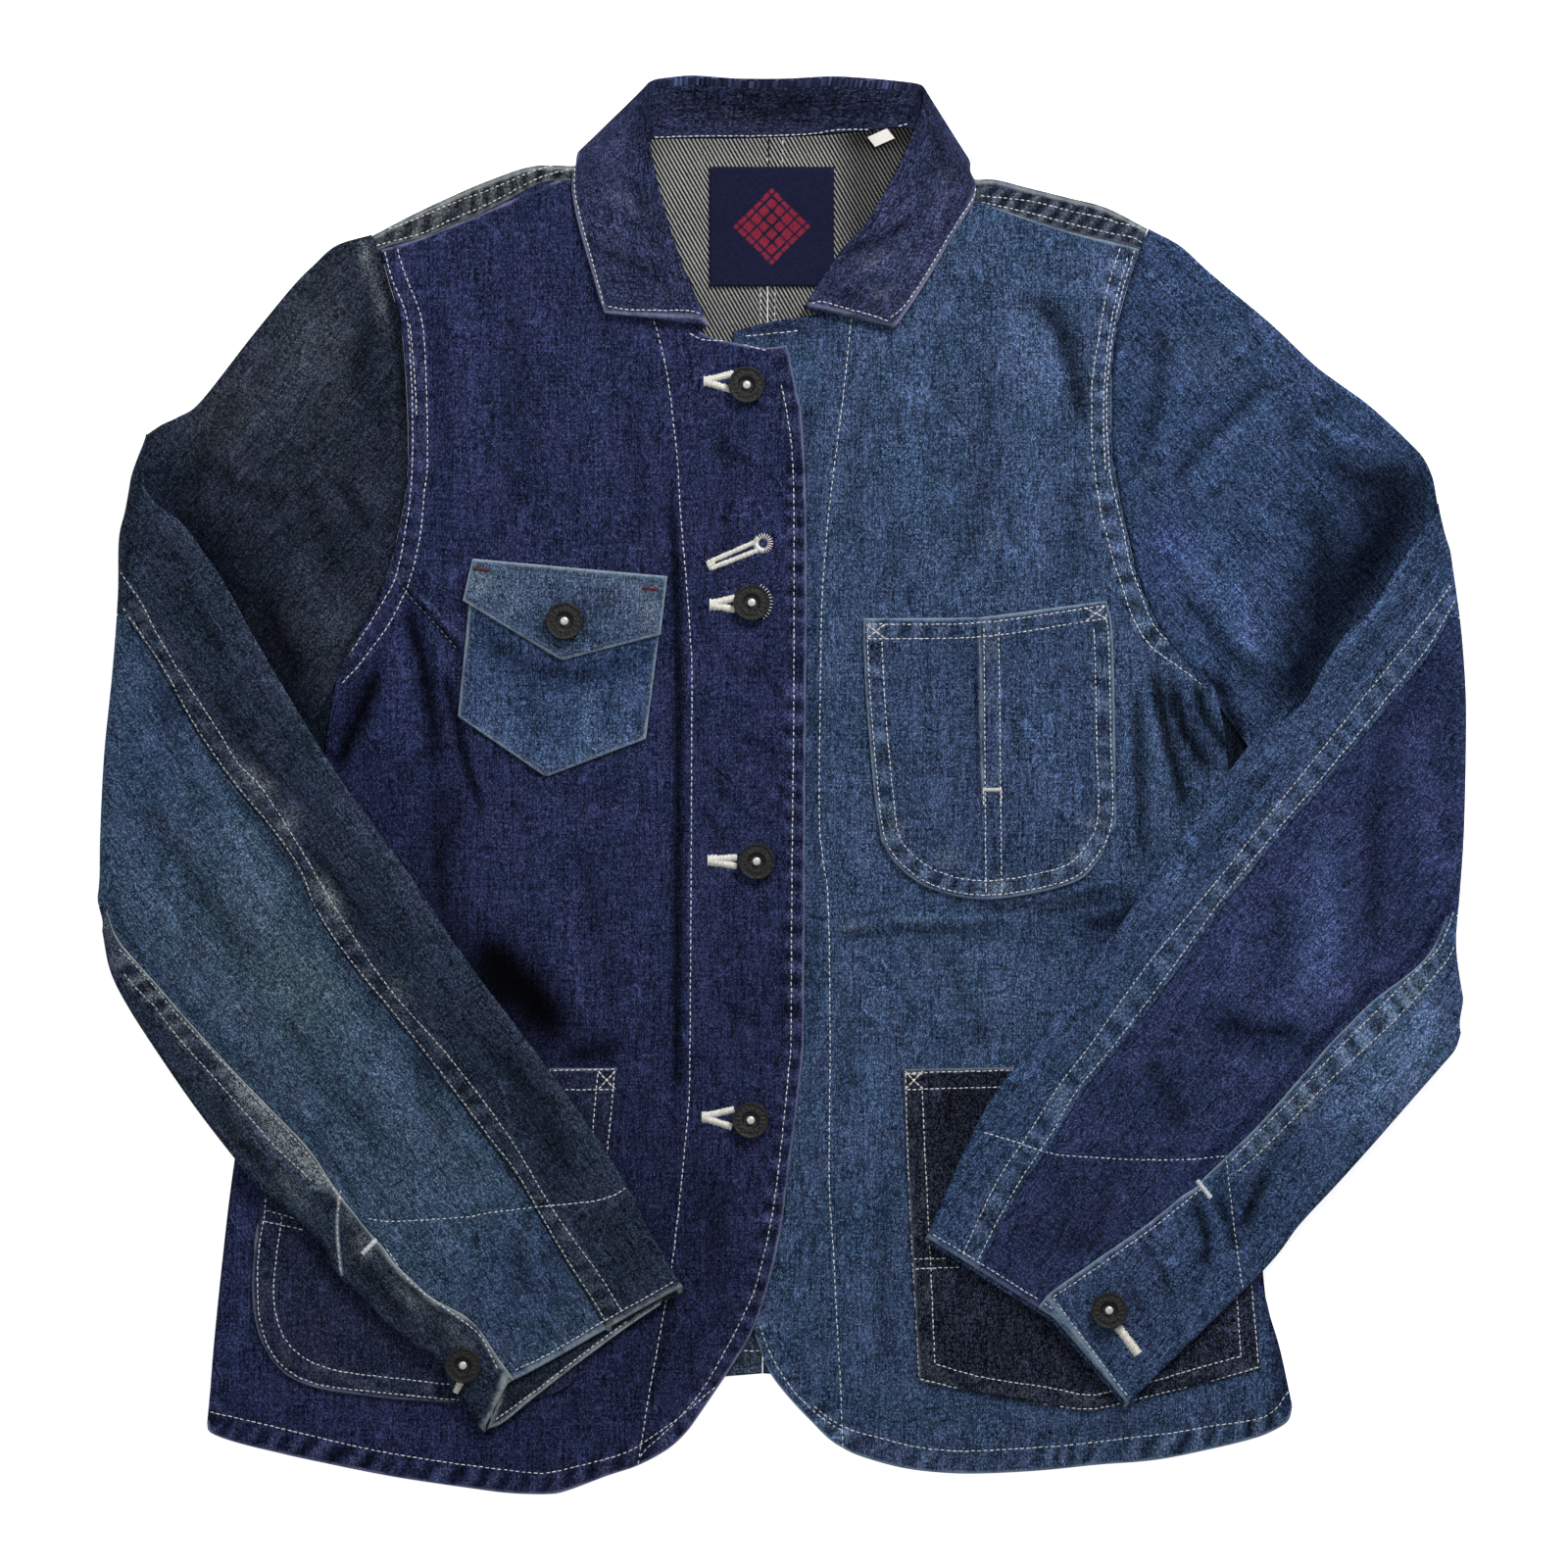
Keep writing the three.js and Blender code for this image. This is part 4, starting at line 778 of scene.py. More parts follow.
# ------------------------------------------------------------------ fronts
top_r = np.vstack([curve(BAND_R[:11], 3.0), curve([neck_edge(k) for k in (6, 5, 4, 3, 2, 1, 0)], 3.0),
                   curve([(722, 344), (745, 349), (780, 355), (803, 352)], 3.0)])
fr_outline = (chain(HEM_R), top_r, chain(SIDE_R[::-1], ARM_R[::-1]), chain(EDGE_R))
FR = Cloth(21, (0.0200, 0.0262, 0.0735), calm=0.30,
           folds=[([(676, 420), (684, 520), (690, 600), (692, 700), (692, 850), (691, 1000), (690, 1110), (684, 1200)], 5, -1.0), ([(703, 590), (705, 820), (703, 1060)], 6, 0.35),
                  ([(406, 592), (425, 615), (445, 638), (472, 667)], 3.6, -0.9), ([(424, 604), (445, 628), (466, 652)], 4.5, 0.6), ([(412, 610), (424, 650), (434, 690), (442, 745), (446, 800)], 9, -1.1),
                  ([(398, 640), (405, 700), (408, 790)], 14, 0.9), ([(434, 622), (448, 664), (457, 705)], 5, 0.6), ([(452, 676), (462, 720), (474, 775), (494, 836)], 6, -0.9),
                  ([(388, 676), (374, 715), (352, 766), (338, 796)], 8, -1.7), ([(456, 780), (450, 850), (452, 920), (470, 980)], 16, -0.8), ([(478, 958), (520, 988), (556, 1030), (576, 1066)], 17, -1.6),
                  ([(556, 950), (590, 1005), (612, 1062)], 15, 0.6), ([(520, 830), (560, 900), (575, 960)], 10, 0.4), ([(600, 850), (615, 960), (630, 1040)], 13, -0.4), ([(650, 830), (657, 950), (645, 1060)], 12, 0.4),
                  ([(712, 632), (742, 672)], 5, -0.4), ([(700, 748), (747, 808)], 5, -0.45), ([(712, 826), (745, 866)], 5, -0.45), ([(735, 430), (745, 530), (738, 600)], 9, -0.45), ([(768, 660), (785, 698), (802, 722)], 5, -0.5),
                  ([(736, 915), (755, 1000), (742, 1090)], 9, -0.45), ([(788, 950), (800, 1010), (794, 1066)], 6, -0.5), ([(712, 1076), (738, 1104)], 5, -0.4), ([(765, 430), (775, 500), (770, 560)], 9, 0.4), ([(725, 680), (735, 730), (728, 790)], 8, 0.4),
                  ([(646, 1056), (606, 1076), (570, 1078)], 9, -0.7), ([(700, 1180), (730, 1240), (720, 1330)], 12, -0.5), ([(650, 1190), (642, 1300), (620, 1410)], 12, 0.45), ([(690, 1296), (674, 1380), (660, 1450)], 7, -0.7),
                  ([(235, 1215), (250, 1300), (238, 1410)], 10, 0.45), ([(470, 320), (482, 420), (470, 530)], 14, 0.4), ([(520, 290), (532, 420), (520, 545)], 15, -0.4), ([(600, 340), (612, 450), (600, 560)], 15, 0.4),
                  ([(440, 290), (449, 380), (451, 490)], 10, -0.5), ([(640, 380), (648, 490), (652, 580)], 10, -0.4), ([(560, 800), (600, 815), (640, 800)], 10, -0.35), ([(715, 455), (760, 470), (800, 500)], 4, -0.5), ([(720, 700), (765, 715), (805, 745)], 4, 0.5), ([(715, 790), (760, 830), (800, 850)], 4, -0.5), ([(725, 935), (770, 950), (812, 985)], 4, 0.5),
                  ([(720, 1010), (765, 1040), (805, 1050)], 4, -0.5), ([(735, 650), (792, 655)], 4, 0.4), ([(745, 745), (800, 772)], 4, -0.45), ([(730, 520), (770, 530), (805, 560)], 4, 0.45), ([(520, 800), (536, 850), (540, 900)], 6, -0.5), ([(575, 830), (600, 900), (608, 960)], 6, -0.45), ([(640, 830), (650, 880), (640, 940)], 6, -0.45)],
           rows=[ARM_R_NEAR, ARM_R_FAR, DART_R, EDGE_R_ROW, FACING_R, HEM_R_ROW, TOP_R_ROW],
           strips=[([(398, 252), (412, 300), (424, 340), (428, 430), (427, 500), (418, 560), (408, 596), (388, 640), (360, 680)], 8, 0.3, 0.10)],
           ropes=[(HEM_R, 1, 22, 25, 0.45, 0.5, 0.16), (EDGE_R, 1, 20, 25, 0.44, 0.1, 0.14), (ARM_R_NEAR, -4, 15, 24, 0.24, 0.3, 0.06)],
           worn=[(HEM_R, 1.2), (EDGE_R, 1.1), ([(716, 340), (745, 349), (780, 355), (803, 352)], 1.3), ([(388, 256), (420, 247), (500, 215), (582, 180)], 0.8)],
           # painted shade in creases and grooves: the dark line along the dart, the two dark lines along the fold
           # troughs below it, and the dark line beside the facing stitching at x 684-691
           # painted shadow in these tones: the near-black ovals at (512, 1000), (545, 1036) and (500, 1000) are the
           # shadowed hollow beside the right sleeve, and the dark oval at (360, 730) is shade beside the rolled
           # underarm edge
           tones=[("o", 470, 1130, 260, 420, -12, (0.82, 0.84, 0.82)), ("o", 512, 1000, 56, 30, 48, (0.12, 0.12, 0.13)), ("o", 545, 1036, 40, 28, 48, (0.16, 0.16, 0.18)), ("o", 500, 1000, 40, 30, 50, (0.4, 0.4, 0.4)), ("l", [(406, 594), (425, 615), (445, 637), (472, 667)], 2.4, (0.30, 0.30, 0.33)), ("l", [(412, 590), (431, 611), (451, 631), (470, 650)], 3.0, (1.7, 1.65, 1.4)), ("l", [(415, 618), (424, 650), (434, 690), (442, 745)], 6, (0.55, 0.55, 0.58)), ("l", [(455, 690), (463, 725), (475, 778), (492, 825)], 5, (0.55, 0.55, 0.58)), ("l", [(600, 728), (601, 772)], 5, (1.35, 1.3, 1.2)), ("o", 600, 1075, 40, 16, 0, (0.6, 0.6, 0.62)), ("o", 455, 860, 26, 70, 5, (0.78, 0.78, 0.8)),
                  ("o", 360, 730, 14, 60, 24, (0.45, 0.45, 0.5)), ("o", 395, 760, 22, 60, 8, (1.12, 1.12, 1.14)), ("o", 560, 420, 130, 170, 0, (1.13, 1.13, 1.10)), ("o", 570, 850, 130, 110, 0, (1.18, 1.2, 1.18)), ("o", 700, 1330, 90, 150, 0, (0.82, 0.82, 0.8)),
                  ("o", 640, 1230, 110, 110, 0, (0.84, 0.84, 0.86)), ("l", [(213, 1450), (300, 1472), (460, 1504), (560, 1513), (650, 1486)], 26, (0.84, 0.84, 0.86)), ("l", [(684, 520), (690, 600), (691, 850), (690, 1100)], 5, (0.48, 0.48, 0.50)), ("o", 380, 800, 70, 130, 10, (0.80, 0.80, 0.82))])
front_right = panel("front_right", "front_right", "denim_violet", fr_outline, right_z, FR, M_VIOLET, pitch=1.42, k=6, fine=([(0.2, 0.13, 1.0), (0.86, 0.14, 0.7)], [(0.61, 0.11, 0.9)]))

top_l = np.vstack([curve(BAND_L[:7], 3.0), curve([neck_edge(k) for k in (23, 24, 25, 26, 27, 28)], 3.0), curve([(815, 324), (782, 329), (748, 338)], 3.0)])
fl_outline = (chain(HEM_L), top_l, chain(SIDE_L[::-1], ARM_L[::-1]), chain(EDGE_L))
FL = Cloth(34, (0.0425, 0.0710, 0.1420), calm=0.32,
           folds=[([(1176, 668), (1186, 730), (1200, 785), (1214, 845)], 9, -1.3), ([(1160, 686), (1180, 750), (1193, 826)], 10, 0.9), ([(1194, 686), (1206, 740), (1240, 796)], 8, -1.4), ([(1208, 680), (1218, 722), (1250, 776)], 7, 0.9),
                  ([(1218, 688), (1232, 738), (1266, 776)], 8, -1.4), ([(1236, 704), (1264, 754)], 6, 0.5), ([(1143, 686), (1152, 790), (1157, 882)], 4.5, 0.55), ([(1159, 686), (1163, 790), (1163, 896)], 7, -1.0),
                  ([(1042, 292), (1078, 328), (1095, 372), (1105, 450)], 12, -1.1), ([(1026, 316), (1060, 370), (1080, 446)], 20, 0.8), ([(846, 946), (900, 940), (1000, 938), (1054, 943)], 3.8, 0.7), ([(848, 956), (930, 951), (1014, 951)], 5, -0.6),
                  ([(986, 927), (1060, 924), (1154, 905)], 4.2, -0.7), ([(1036, 937), (1100, 925), (1164, 915)], 4.2, -0.6), ([(1076, 916), (1152, 897)], 4.2, 0.5), ([(1100, 945), (1140, 940), (1170, 920)], 8, -0.8),
                  ([(1010, 370), (1000, 480), (985, 596)], 15, -0.5), ([(960, 325), (930, 430), (914, 566)], 17, 0.55), ([(1050, 420), (1056, 500), (1040, 606)], 14, 0.5), ([(882, 390), (873, 480), (862, 566)], 9, -0.5),
                  ([(1002, 556), (990, 590), (974, 626)], 7, 0.55), ([(905, 470), (916, 560), (905, 624)], 12, -0.45), ([(1090, 480), (1100, 540), (1095, 600)], 10, -0.5), ([(935, 380), (960, 400), (985, 440)], 9, -0.4),
                  ([(900, 970), (890, 1080), (880, 1206)], 13, 0.55), ([(956, 956), (985, 1020), (1012, 1084)], 11, -0.5), ([(870, 1210), (880, 1320), (872, 1436)], 11, 0.5), ([(906, 1170), (900, 1300), (906, 1430)], 9, -0.55),
                  ([(1000, 956), (1032, 1000), (1052, 1044)], 15, 0.45), ([(860, 990), (866, 1060), (862, 1140)], 8, -0.45), ([(1300, 1290), (1300, 1360), (1310, 1430)], 8, -0.6), ([(1200, 1455), (1100, 1462), (1000, 1466)], 8, -0.35)],
           rows=[ARM_L_NEAR, ARM_L_FAR, DART_L, EDGE_L_ROW, HEM_L_ROW, FACING_L, NECK_L_ROW],
           strips=[([(1158, 240), (1140, 285), (1128, 340), (1122, 400), (1123, 460), (1130, 520), (1146, 580), (1166, 635), (1195, 672), (1238, 700)], 8, 0.3, 0.12)],
           ropes=[(HEM_L, 1, 23, 24, 0.45, 0.5, 0.22), ([(1154, 240), (1136, 285), (1124, 340), (1119, 400), (1120, 460), (1128, 520), (1143, 580), (1163, 635), (1192, 672)], -4, 9, 23, 0.42, 0.15, 0.30), (EDGE_L_ROW, -4, 12, 22, 0.3, 0.3, 0.2)],
           worn=[(HEM_L, 1.2), ([(770, 1362), (785, 1400), (808, 1430), (832, 1455)], 0.8), ([(1164, 255), (1100, 239), (1015, 212)], 0.8)],
           spots=[(1010, 552, 9, 6, 0, 0.3), (868, 945, 20, 3.5, -3, 0.5), (930, 939, 30, 3, 0, 0.3), (845, 690, 10, 5, 0, 0.3)],
           # painted shade in these tones: the dark oval at (790, 334) along the neck edge where the right front and
           # collar lie over it, the dark oval at (1140, 945) beside the left sleeve's edge, and the dark oval at (1225,
           # 745) in the underarm gathers
           tones=[("o", 790, 334, 60, 15, -5, (0.42, 0.42, 0.46)), ("o", 900, 1330, 260, 200, 0, (0.86, 0.88, 0.88)), ("o", 980, 480, 150, 150, 0, (1.04, 1.04, 1.04)), ("l", [(826, 950), (870, 950), (1000, 952), (1180, 936)], 11, (0.8, 0.8, 0.82)),
                  ("o", 1140, 945, 50, 45, 0, (0.55, 0.56, 0.6)), ("l", [(1288, 1290), (1310, 1370), (1322, 1440)], 17, (0.62, 0.55, 0.75)), ("o", 1000, 1005, 60, 50, 0, (1.14, 1.12, 1.08)), ("l", [(829, 420), (830, 600), (831, 900), (828, 1060)], 7, (0.62, 0.64, 0.68)),
                  ("o", 1050, 360, 30, 50, -20, (1.12, 1.1, 1.08)), ("o", 1225, 745, 20, 46, -30, (0.6, 0.6, 0.64)), ("l", [(850, 1462), (960, 1490), (1100, 1484), (1300, 1446)], 24, (0.86, 0.85, 0.86)), ("o", 1080, 780, 200, 330, 0, (0.95, 0.96, 0.98))])
front_left = panel("front_left", "front_left", "denim_teal", fl_outline, left_z, FL, M_TEAL, pitch=1.42, k=6, fine=([(0.1, 0.14, 0.9)], [(0.55, 0.12, 0.8), (0.43, 0.03, 0.8)]))


# ------------------------------------------------------------------ collar
def collar():
    sub = 6
    idx = np.arange(len(COLLAR))
    t = np.linspace(0, len(COLLAR) - 1, (len(COLLAR) - 1) * sub + 1)
    st = np.stack([np.interp(t, idx, COLLAR[:, k]) for k in range(7)], 1)
    ker = np.array([1, 2, 3, 2, 1], float) / 9
    for k in range(6):
        pad = np.r_[2 * st[0, k] - st[2:0:-1, k], st[:, k], 2 * st[-1, k] - st[-2:-4:-1, k]]
        st[:, k] = np.convolve(pad, ker, "valid")
    n, r, e, turn = st[:, 0:2], st[:, 2:4], st[:, 4:6], st[:, 6]
    top = (np.cos(np.radians(turn)) + 1) / 2
    zs = T / 2 + LAYER + LAYER * top
    zf = (T / 2) * (1 - top) + (T / 2 + LAYER + 2 * LAYER) * top
    un, ue = (n - r), (e - r)
    ln, le = np.hypot(*un.T), np.hypot(*ue.T)
    un, ue = un / ln[:, None], ue / le[:, None]
    side = np.sin(np.radians(turn))
    pull = np.minimum(2.6 + 5.5 * side, 0.45 * ln)
    p0, p3 = r + un * pull[:, None], r + ue * pull[:, None]
    p1, p2 = p0 - un * pull[:, None] * 1.3, p3 - ue * pull[:, None] * 1.3
    rows = []
    zz = []
    for f in [0, 0.02, 0.05, 0.1, 0.2, 0.32, 0.44, 0.56, 0.68, 0.8, 0.9]:
        rows.append(n + (p0 - n) * f)
        zz.append(zs)
    for f in np.linspace(0, 1, 11):
        b = [(1 - f) ** 3, 3 * f * (1 - f) ** 2, 3 * f * f * (1 - f), f ** 3]
        rows.append(b[0] * p0 + b[1] * p1 + b[2] * p2 + b[3] * p3)
        zz.append((b[0] + b[1]) * zs + (b[2] + b[3]) * zf)
    for f in np.r_[np.linspace(0.03, 0.955, 30), 0.972, 0.985, 0.994, 1.0]:
        rows.append(p3 + (e - p3) * f)
        zz.append(zf)
    P = np.stack(rows, 1)
    Z = np.stack(zz, 1)
    spec = Cloth(55, (0.0275, 0.0345, 0.0810), calm=0.22, rows=[WING_R_ROW, WING_R_ROW2, WING_L_ROW, WING_L_ROW2],
                 folds=[([(604, 250), (640, 268), (694, 293)], 4.5, -0.8), ([(612, 232), (650, 250), (684, 272)], 9, 0.6), ([(618, 194), (652, 215)], 6, 0.6), ([(640, 190), (660, 230), (690, 280)], 7, -0.5),
                        ([(846, 258), (895, 245), (938, 220)], 6, -0.8), ([(866, 284), (900, 273), (934, 260)], 8, 0.6), ([(838, 300), (880, 306), (906, 320)], 6, -0.5), ([(984, 190), (962, 162), (946, 118)], 8, -0.5),
                        ([(600, 172), (625, 150), (646, 108)], 9, 0.5), ([(960, 215), (950, 245), (925, 285)], 7, 0.5)],
                 worn=[([(588, 158), (583, 175), (582, 190), (592, 235), (600, 265), (616, 319)], 1.8), ([(616, 319), (680, 322), (715, 324), (722, 333)], 1.3),
                       ([(993, 172), (998, 190), (985, 220), (955, 270), (925, 317), (913, 335)], 1.9), ([(913, 335), (880, 325), (840, 314), (826, 312)], 1.4)],
                 spots=[(892, 268, 18, 8, -20, 0.3), (900, 300, 12, 10, 0, 0.3), (640, 208, 20, 7, 35, 0.3), (965, 190, 14, 20, 30, 0.15)],
                 tones=[("o", 800, 108, 150, 28, 0, (0.25, 0.24, 0.24)), ("o", 930, 260, 50, 60, -30, (1.18, 1.18, 1.14)), ("l", [(661, 84), (659, 130), (668, 180), (688, 250), (715, 318)], 7, (0.8, 0.8, 0.85)),
                        ("o", 660, 150, 14, 60, 0, (0.8, 0.8, 0.85)), ("l", [(740, 118), (800, 121), (860, 119)], 7, (1.4, 1.35, 1.25)), ("l", [(928, 120), (938, 105), (942, 92)], 6, (0.5, 0.5, 0.5))])
    rel = spec.relief(P)
    nf = Z.shape[1]
    wt = np.r_[np.zeros(11), np.zeros(11), smooth(0, 0.3, np.linspace(0.03, 1, nf - 22))][None, :] * top[:, None]
    Z = Z + np.maximum(rel, -0.1) * wt
    M = world(P[..., 0], P[..., 1], Z)
    du, dv = np.gradient(M, axis=1), np.gradient(M, axis=0)
    N = np.cross(du, dv)
    N /= np.linalg.norm(N, axis=-1)[..., None] + 1e-12
    th = np.full(nf, 0.0006)
    th[-4:] *= [0.96, 0.85, 0.7, 0.42]
    N = N * th[None, :, None]
    verts, faces, pick = shell(M + N, M - N, 1, 1)
    a = np.broadcast_to(t[:, None] * 13.2, Z.shape)
    b = np.broadcast_to(np.r_[np.linspace(0, 24, 11), np.linspace(24, 27, 11), 27 + 45 * np.linspace(0.03, 1, nf - 22)][None, :], Z.shape)
    g = np.stack([b + 0 * a, a + 0 * b, 0 * Z + 91], -1)
    ob = finish_mesh("collar", verts, faces, M_COLLAR, {"tone": pick(spec.tone(P)), "wear": pick(spec.wear(P)), "edge": pick(spec.edge(P)), "grain": pick(g)})
    bm_fix(ob)
    return keep("collar", ob, "denim_violet", "collar")


collar_ob = collar()


# ------------------------------------------------------------------ sleeves
def sleeve(d):
    arm = curve(d["arm"], 3.0)
    fold, cuff = curve(d["fold"], 3.0), chain(*d["cuff"])
    top_edge, under_edge = curve(d["topEdge"], 3.0), curve(d["underEdge"], 3.0)
    upper_edge, lower_edge = curve(d["upperEdge"], 3.0), curve(d["lowerEdge"], 3.0)
    up = lambda w, l: coons(arm, fold, top_edge, under_edge, w, l)
    low = lambda w, l: coons(fold, cuff, upper_edge, lower_edge, w, l)
    nu, nbend, nd = 78, 11, 226
    lu, ld = np.linspace(0, 1, nu), np.r_[np.linspace(0, 0.985, nd - 4), 0.990, 0.9945, 0.998, 1.0]

    def crossing(ls, pts):
        line = curve(pts, 10.0)
        ws = np.linspace(0, 1, 321)
        W, L = np.meshgrid(ws, ls)
        dist, _, _ = near(low(W, L), line)
        w = ws[np.argmin(dist, 1)]
        pad = np.r_[np.full(4, w[0]), w, np.full(4, w[-1])]
        return np.convolve(pad, np.ones(9) / 9, "valid")
    wa, wb = crossing(ld, d["seamA"]), crossing(ld, d["seamB"])
    iv = int(np.argmin(abs(ld - d["ventL"])))
    f = np.clip((ld - d["ventL"]) / (1 - d["ventL"]), 0, 1)
    wb = np.where(ld < d["ventL"], wb, wb[iv] + (d["cuffB"] - wb[iv]) * f)
    wf = np.where(ld < d["ventL"], wb, np.minimum(wb, crossing(ld, d["flap"])))
    ease = smooth(d["ventL"] - 0.01, d["ventL"] + 0.05, ld)
    wf = wb + (wf - wb) * ease
    A = np.r_[d["armA"] + (wa[0] - d["armA"]) * lu, np.full(nbend, wa[0]), wa]
    Bw = np.r_[d["armB"] + (wb[0] - d["armB"]) * lu, np.full(nbend, wb[0]), wb]
    Fw = np.r_[Bw[:nu + nbend], wf]
    H = np.r_[SLEEVE_H0 + (SLEEVE_H1 - SLEEVE_H0) * smooth(0, 0.7, lu), np.full(nbend, SLEEVE_H1), SLEEVE_H1 + (SLEEVE_H2 - SLEEVE_H1) * ld]
    raise_ = np.r_[np.zeros(nu + nbend), LAYER * 0.8 * ease]
    topz = np.r_[np.zeros(nu + nbend), 2 * FOLD_Z + (CUFF_Z + SLEEVE_H2 - 2 * FOLD_Z) * smooth(0, 1, ld)]
    L = np.r_[lu, np.zeros(nbend), ld]
    deg = np.r_[np.zeros(nu), np.linspace(14, 166, nbend), np.zeros(nd)]
    part = np.r_[np.zeros(nu), np.ones(nbend), 2 * np.ones(nd)].astype(int)
    one = np.ones(len(L))
    Wd = np.where(part == 0, np.hypot(*(up(0 * one, L) - up(one, L)).T), np.hypot(*(low(0 * one, L) - low(one, L)).T)) * 0.45

    def place(w, h):
        shape = w.shape
        Lg = np.broadcast_to(L[:, None], shape)
        out = np.zeros(shape + (3,))
        m = part == 0
        q = up(w[m], Lg[m])
        out[m, :, 0], out[m, :, 1], out[m, :, 2] = q[..., 0], q[..., 1], h[m]
        m = part == 2
        q = low(w[m], Lg[m])
        hh = h[m]
        far = smooth(0.94, 1.0, Lg[m]) * d["under"] * smooth(0.45, 0.6, hh / H[m][:, None])
        out[m, :, 0] = q[..., 0] + far * d["along"][0]
        out[m, :, 1] = q[..., 1] + far * d["along"][1]
        out[m, :, 2] = topz[m][:, None] - hh
        m = part == 1
        ww = np.clip(w[m], 0, 1)
        q = at(fold, ww)
        tg = at(fold, np.minimum(1, ww + 0.03)) - at(fold, np.maximum(0, ww - 0.03))
        tg /= np.hypot(tg[..., 0], tg[..., 1])[..., None]
        nn = np.stack([tg[..., 1], -tg[..., 0]], -1)
        nn = np.where(nn[..., :1] * d["out"] < 0, -nn, nn)
        R = FOLD_Z - h[m]
        th = np.radians(deg[m])[:, None]
        nn = nn * (smooth(-0.01, 0.10, ww) * (1 - smooth(0.93, 1.0, ww)))[..., None]
        out[m, :, 0] = q[..., 0] + nn[..., 0] * R * np.sin(th) / 0.45
        out[m, :, 1] = q[..., 1] + nn[..., 1] * R * np.sin(th) / 0.45
        out[m, :, 2] = FOLD_Z - R * np.cos(th)
        return out

    # section, from seam A round by the upper edge and the lower edge to seam B
    nA, nR, nT, nB = 36, 9, 108, 24
    half = H / 2
    rw = half / Wd
    sa = np.r_[0, 0.004, 0.012, 0.028, np.linspace(0.05, 1, nA - 4)]
    sb = np.r_[np.linspace(0, 0.93, nB - 4), 0.955, 0.975, 0.99, 1.0]
    th = np.linspace(0, math.pi, nR)
    wo, ho, wi, hi, flat = [], [], [], [], []
    g = 0.3 / Wd
    lap = 0.30 * np.where(part == 0, 1 - smooth(0.7, 1, L), np.where(part == 1, 0.0, smooth(0, 0.05, L)))
    for s in sa:
        w = (A - g) + (rw - (A - g)) * s
        wo.append(w); ho.append(0 * w - lap * (1 - s) ** 6); wi.append(w); hi.append(0 * w + T - lap * 0.83 * (1 - s) ** 6)
        flat.append(np.clip((w - rw) * Wd / 7, 0, 1))
    for a in th[1:-1]:
        wo.append((half - half * math.sin(a)) / Wd); ho.append(half - half * math.cos(a))
        wi.append((half - (half - T) * math.sin(a)) / Wd); hi.append(half - (half - T) * math.cos(a))
        flat.append(0 * A)
    for s in np.linspace(0, 1, nT):
        w = rw + (1 - 2 * rw) * s
        wo.append(w); ho.append(H); wi.append(w); hi.append(H - T)
        flat.append(np.clip(np.minimum(w - rw, 1 - rw - w) * Wd / 7, 0, 1))
    for a in th[::-1][1:-1]:
        wo.append(1 - (half - half * math.sin(a)) / Wd); ho.append(half - half * math.cos(a))
        wi.append(1 - (half - (half - T) * math.sin(a)) / Wd); hi.append(half - (half - T) * math.cos(a))
        flat.append(0 * A)
    for s in sb:
        w = (1 - rw) + ((Fw + g) - (1 - rw)) * s
        rz = raise_ * smooth(0.0, 0.6, s) + lap * s ** 6
        wo.append(w); ho.append(-rz); wi.append(w); hi.append(T - rz)
        flat.append(np.clip((1 - rw - w) * Wd / 7, 0, 1))
    wo, ho, wi, hi, flat = (np.stack(k, 1) for k in (wo, ho, wi, hi, flat))
    nTop0, nTop1 = nA + nR - 2, nA + nR - 2 + nT
    O, I = place(wo, ho), place(wi, hi)
    cols = np.arange(wo.shape[1])
    is_top = (cols >= nTop0) & (cols < nTop1)
    spec_u, spec_l = d["upper"], d["lower"]
    mU, mD = part == 0, part == 2
    rel = np.zeros(wo.shape)
    relU = spec_u.relief(O[mU][..., :2])
    rel[mU] = np.where(is_top[None, :], relU, 0) * smooth(0, 0.12, L[mU])[:, None] * (1 - smooth(0.86, 1, L[mU]))[:, None]
    relD = spec_l.relief(O[mD][..., :2])
    endm = (1 - smooth(0.97, 1.0, ld) * 0.7)[:, None] * smooth(0.0, 0.08, ld)[:, None]
    rel[mD] = np.where(is_top[None, :], 0, relD) * endm
    rel = rel * smooth(0, 1, flat)
    edge_drop = np.zeros(wo.shape)
    dA = np.abs(wo - (A - g)[:, None]) * Wd[:, None]
    dB = np.abs(wo - (Fw + g)[:, None]) * Wd[:, None]
    vis = (~is_top)[None, :] & mD[:, None]
    edge_drop += np.where(vis & (cols < nA)[None, :], rounding(dA, T, 0.9), 0)
    edge_drop += np.where(vis & (cols >= nTop1)[None, :], rounding(dB, T, 0.9), 0)
    dc = ((1 - L) * runs(upper_edge)[-1] * 0.45)[:, None]
    edge_drop += np.where(vis, rounding(dc, T, 1.0), 0)
    O[..., 2] += rel - edge_drop
    I[..., 2] += rel
    tone = np.where((part == 2)[:, None, None] & (~is_top)[None, :, None], spec_l.tone(O[..., :2]), spec_u.tone(O[..., :2]))
    # across the fold the two tones run into each other
    fb = np.where(part == 0, smooth(0.75, 1, L) * 0.5, np.where(part == 1, 0.5, 0.5 * (1 - smooth(0, 0.05, L))))[:, None, None]
    other = np.where((part == 2)[:, None, None] & (~is_top)[None, :, None], spec_u.tone(O[..., :2]), spec_l.tone(O[..., :2]))
    tone = tone * (1 - fb) + other * fb
    wear = np.where(vis, spec_l.wear(O[..., :2]), np.where(is_top[None, :] & mU[:, None], spec_u.wear(O[..., :2]), 0))
    edge = np.full(wo.shape, 9.0)
    edge = np.where(vis & (cols >= nTop1)[None, :], np.minimum(edge, dB / d["wornB"]), edge)
    edge = np.where(vis, np.minimum(edge, dc / 1.2), edge)
    ext = spec_l.edge(O[..., :2])
    edge = np.where(vis, np.minimum(edge, ext), edge)
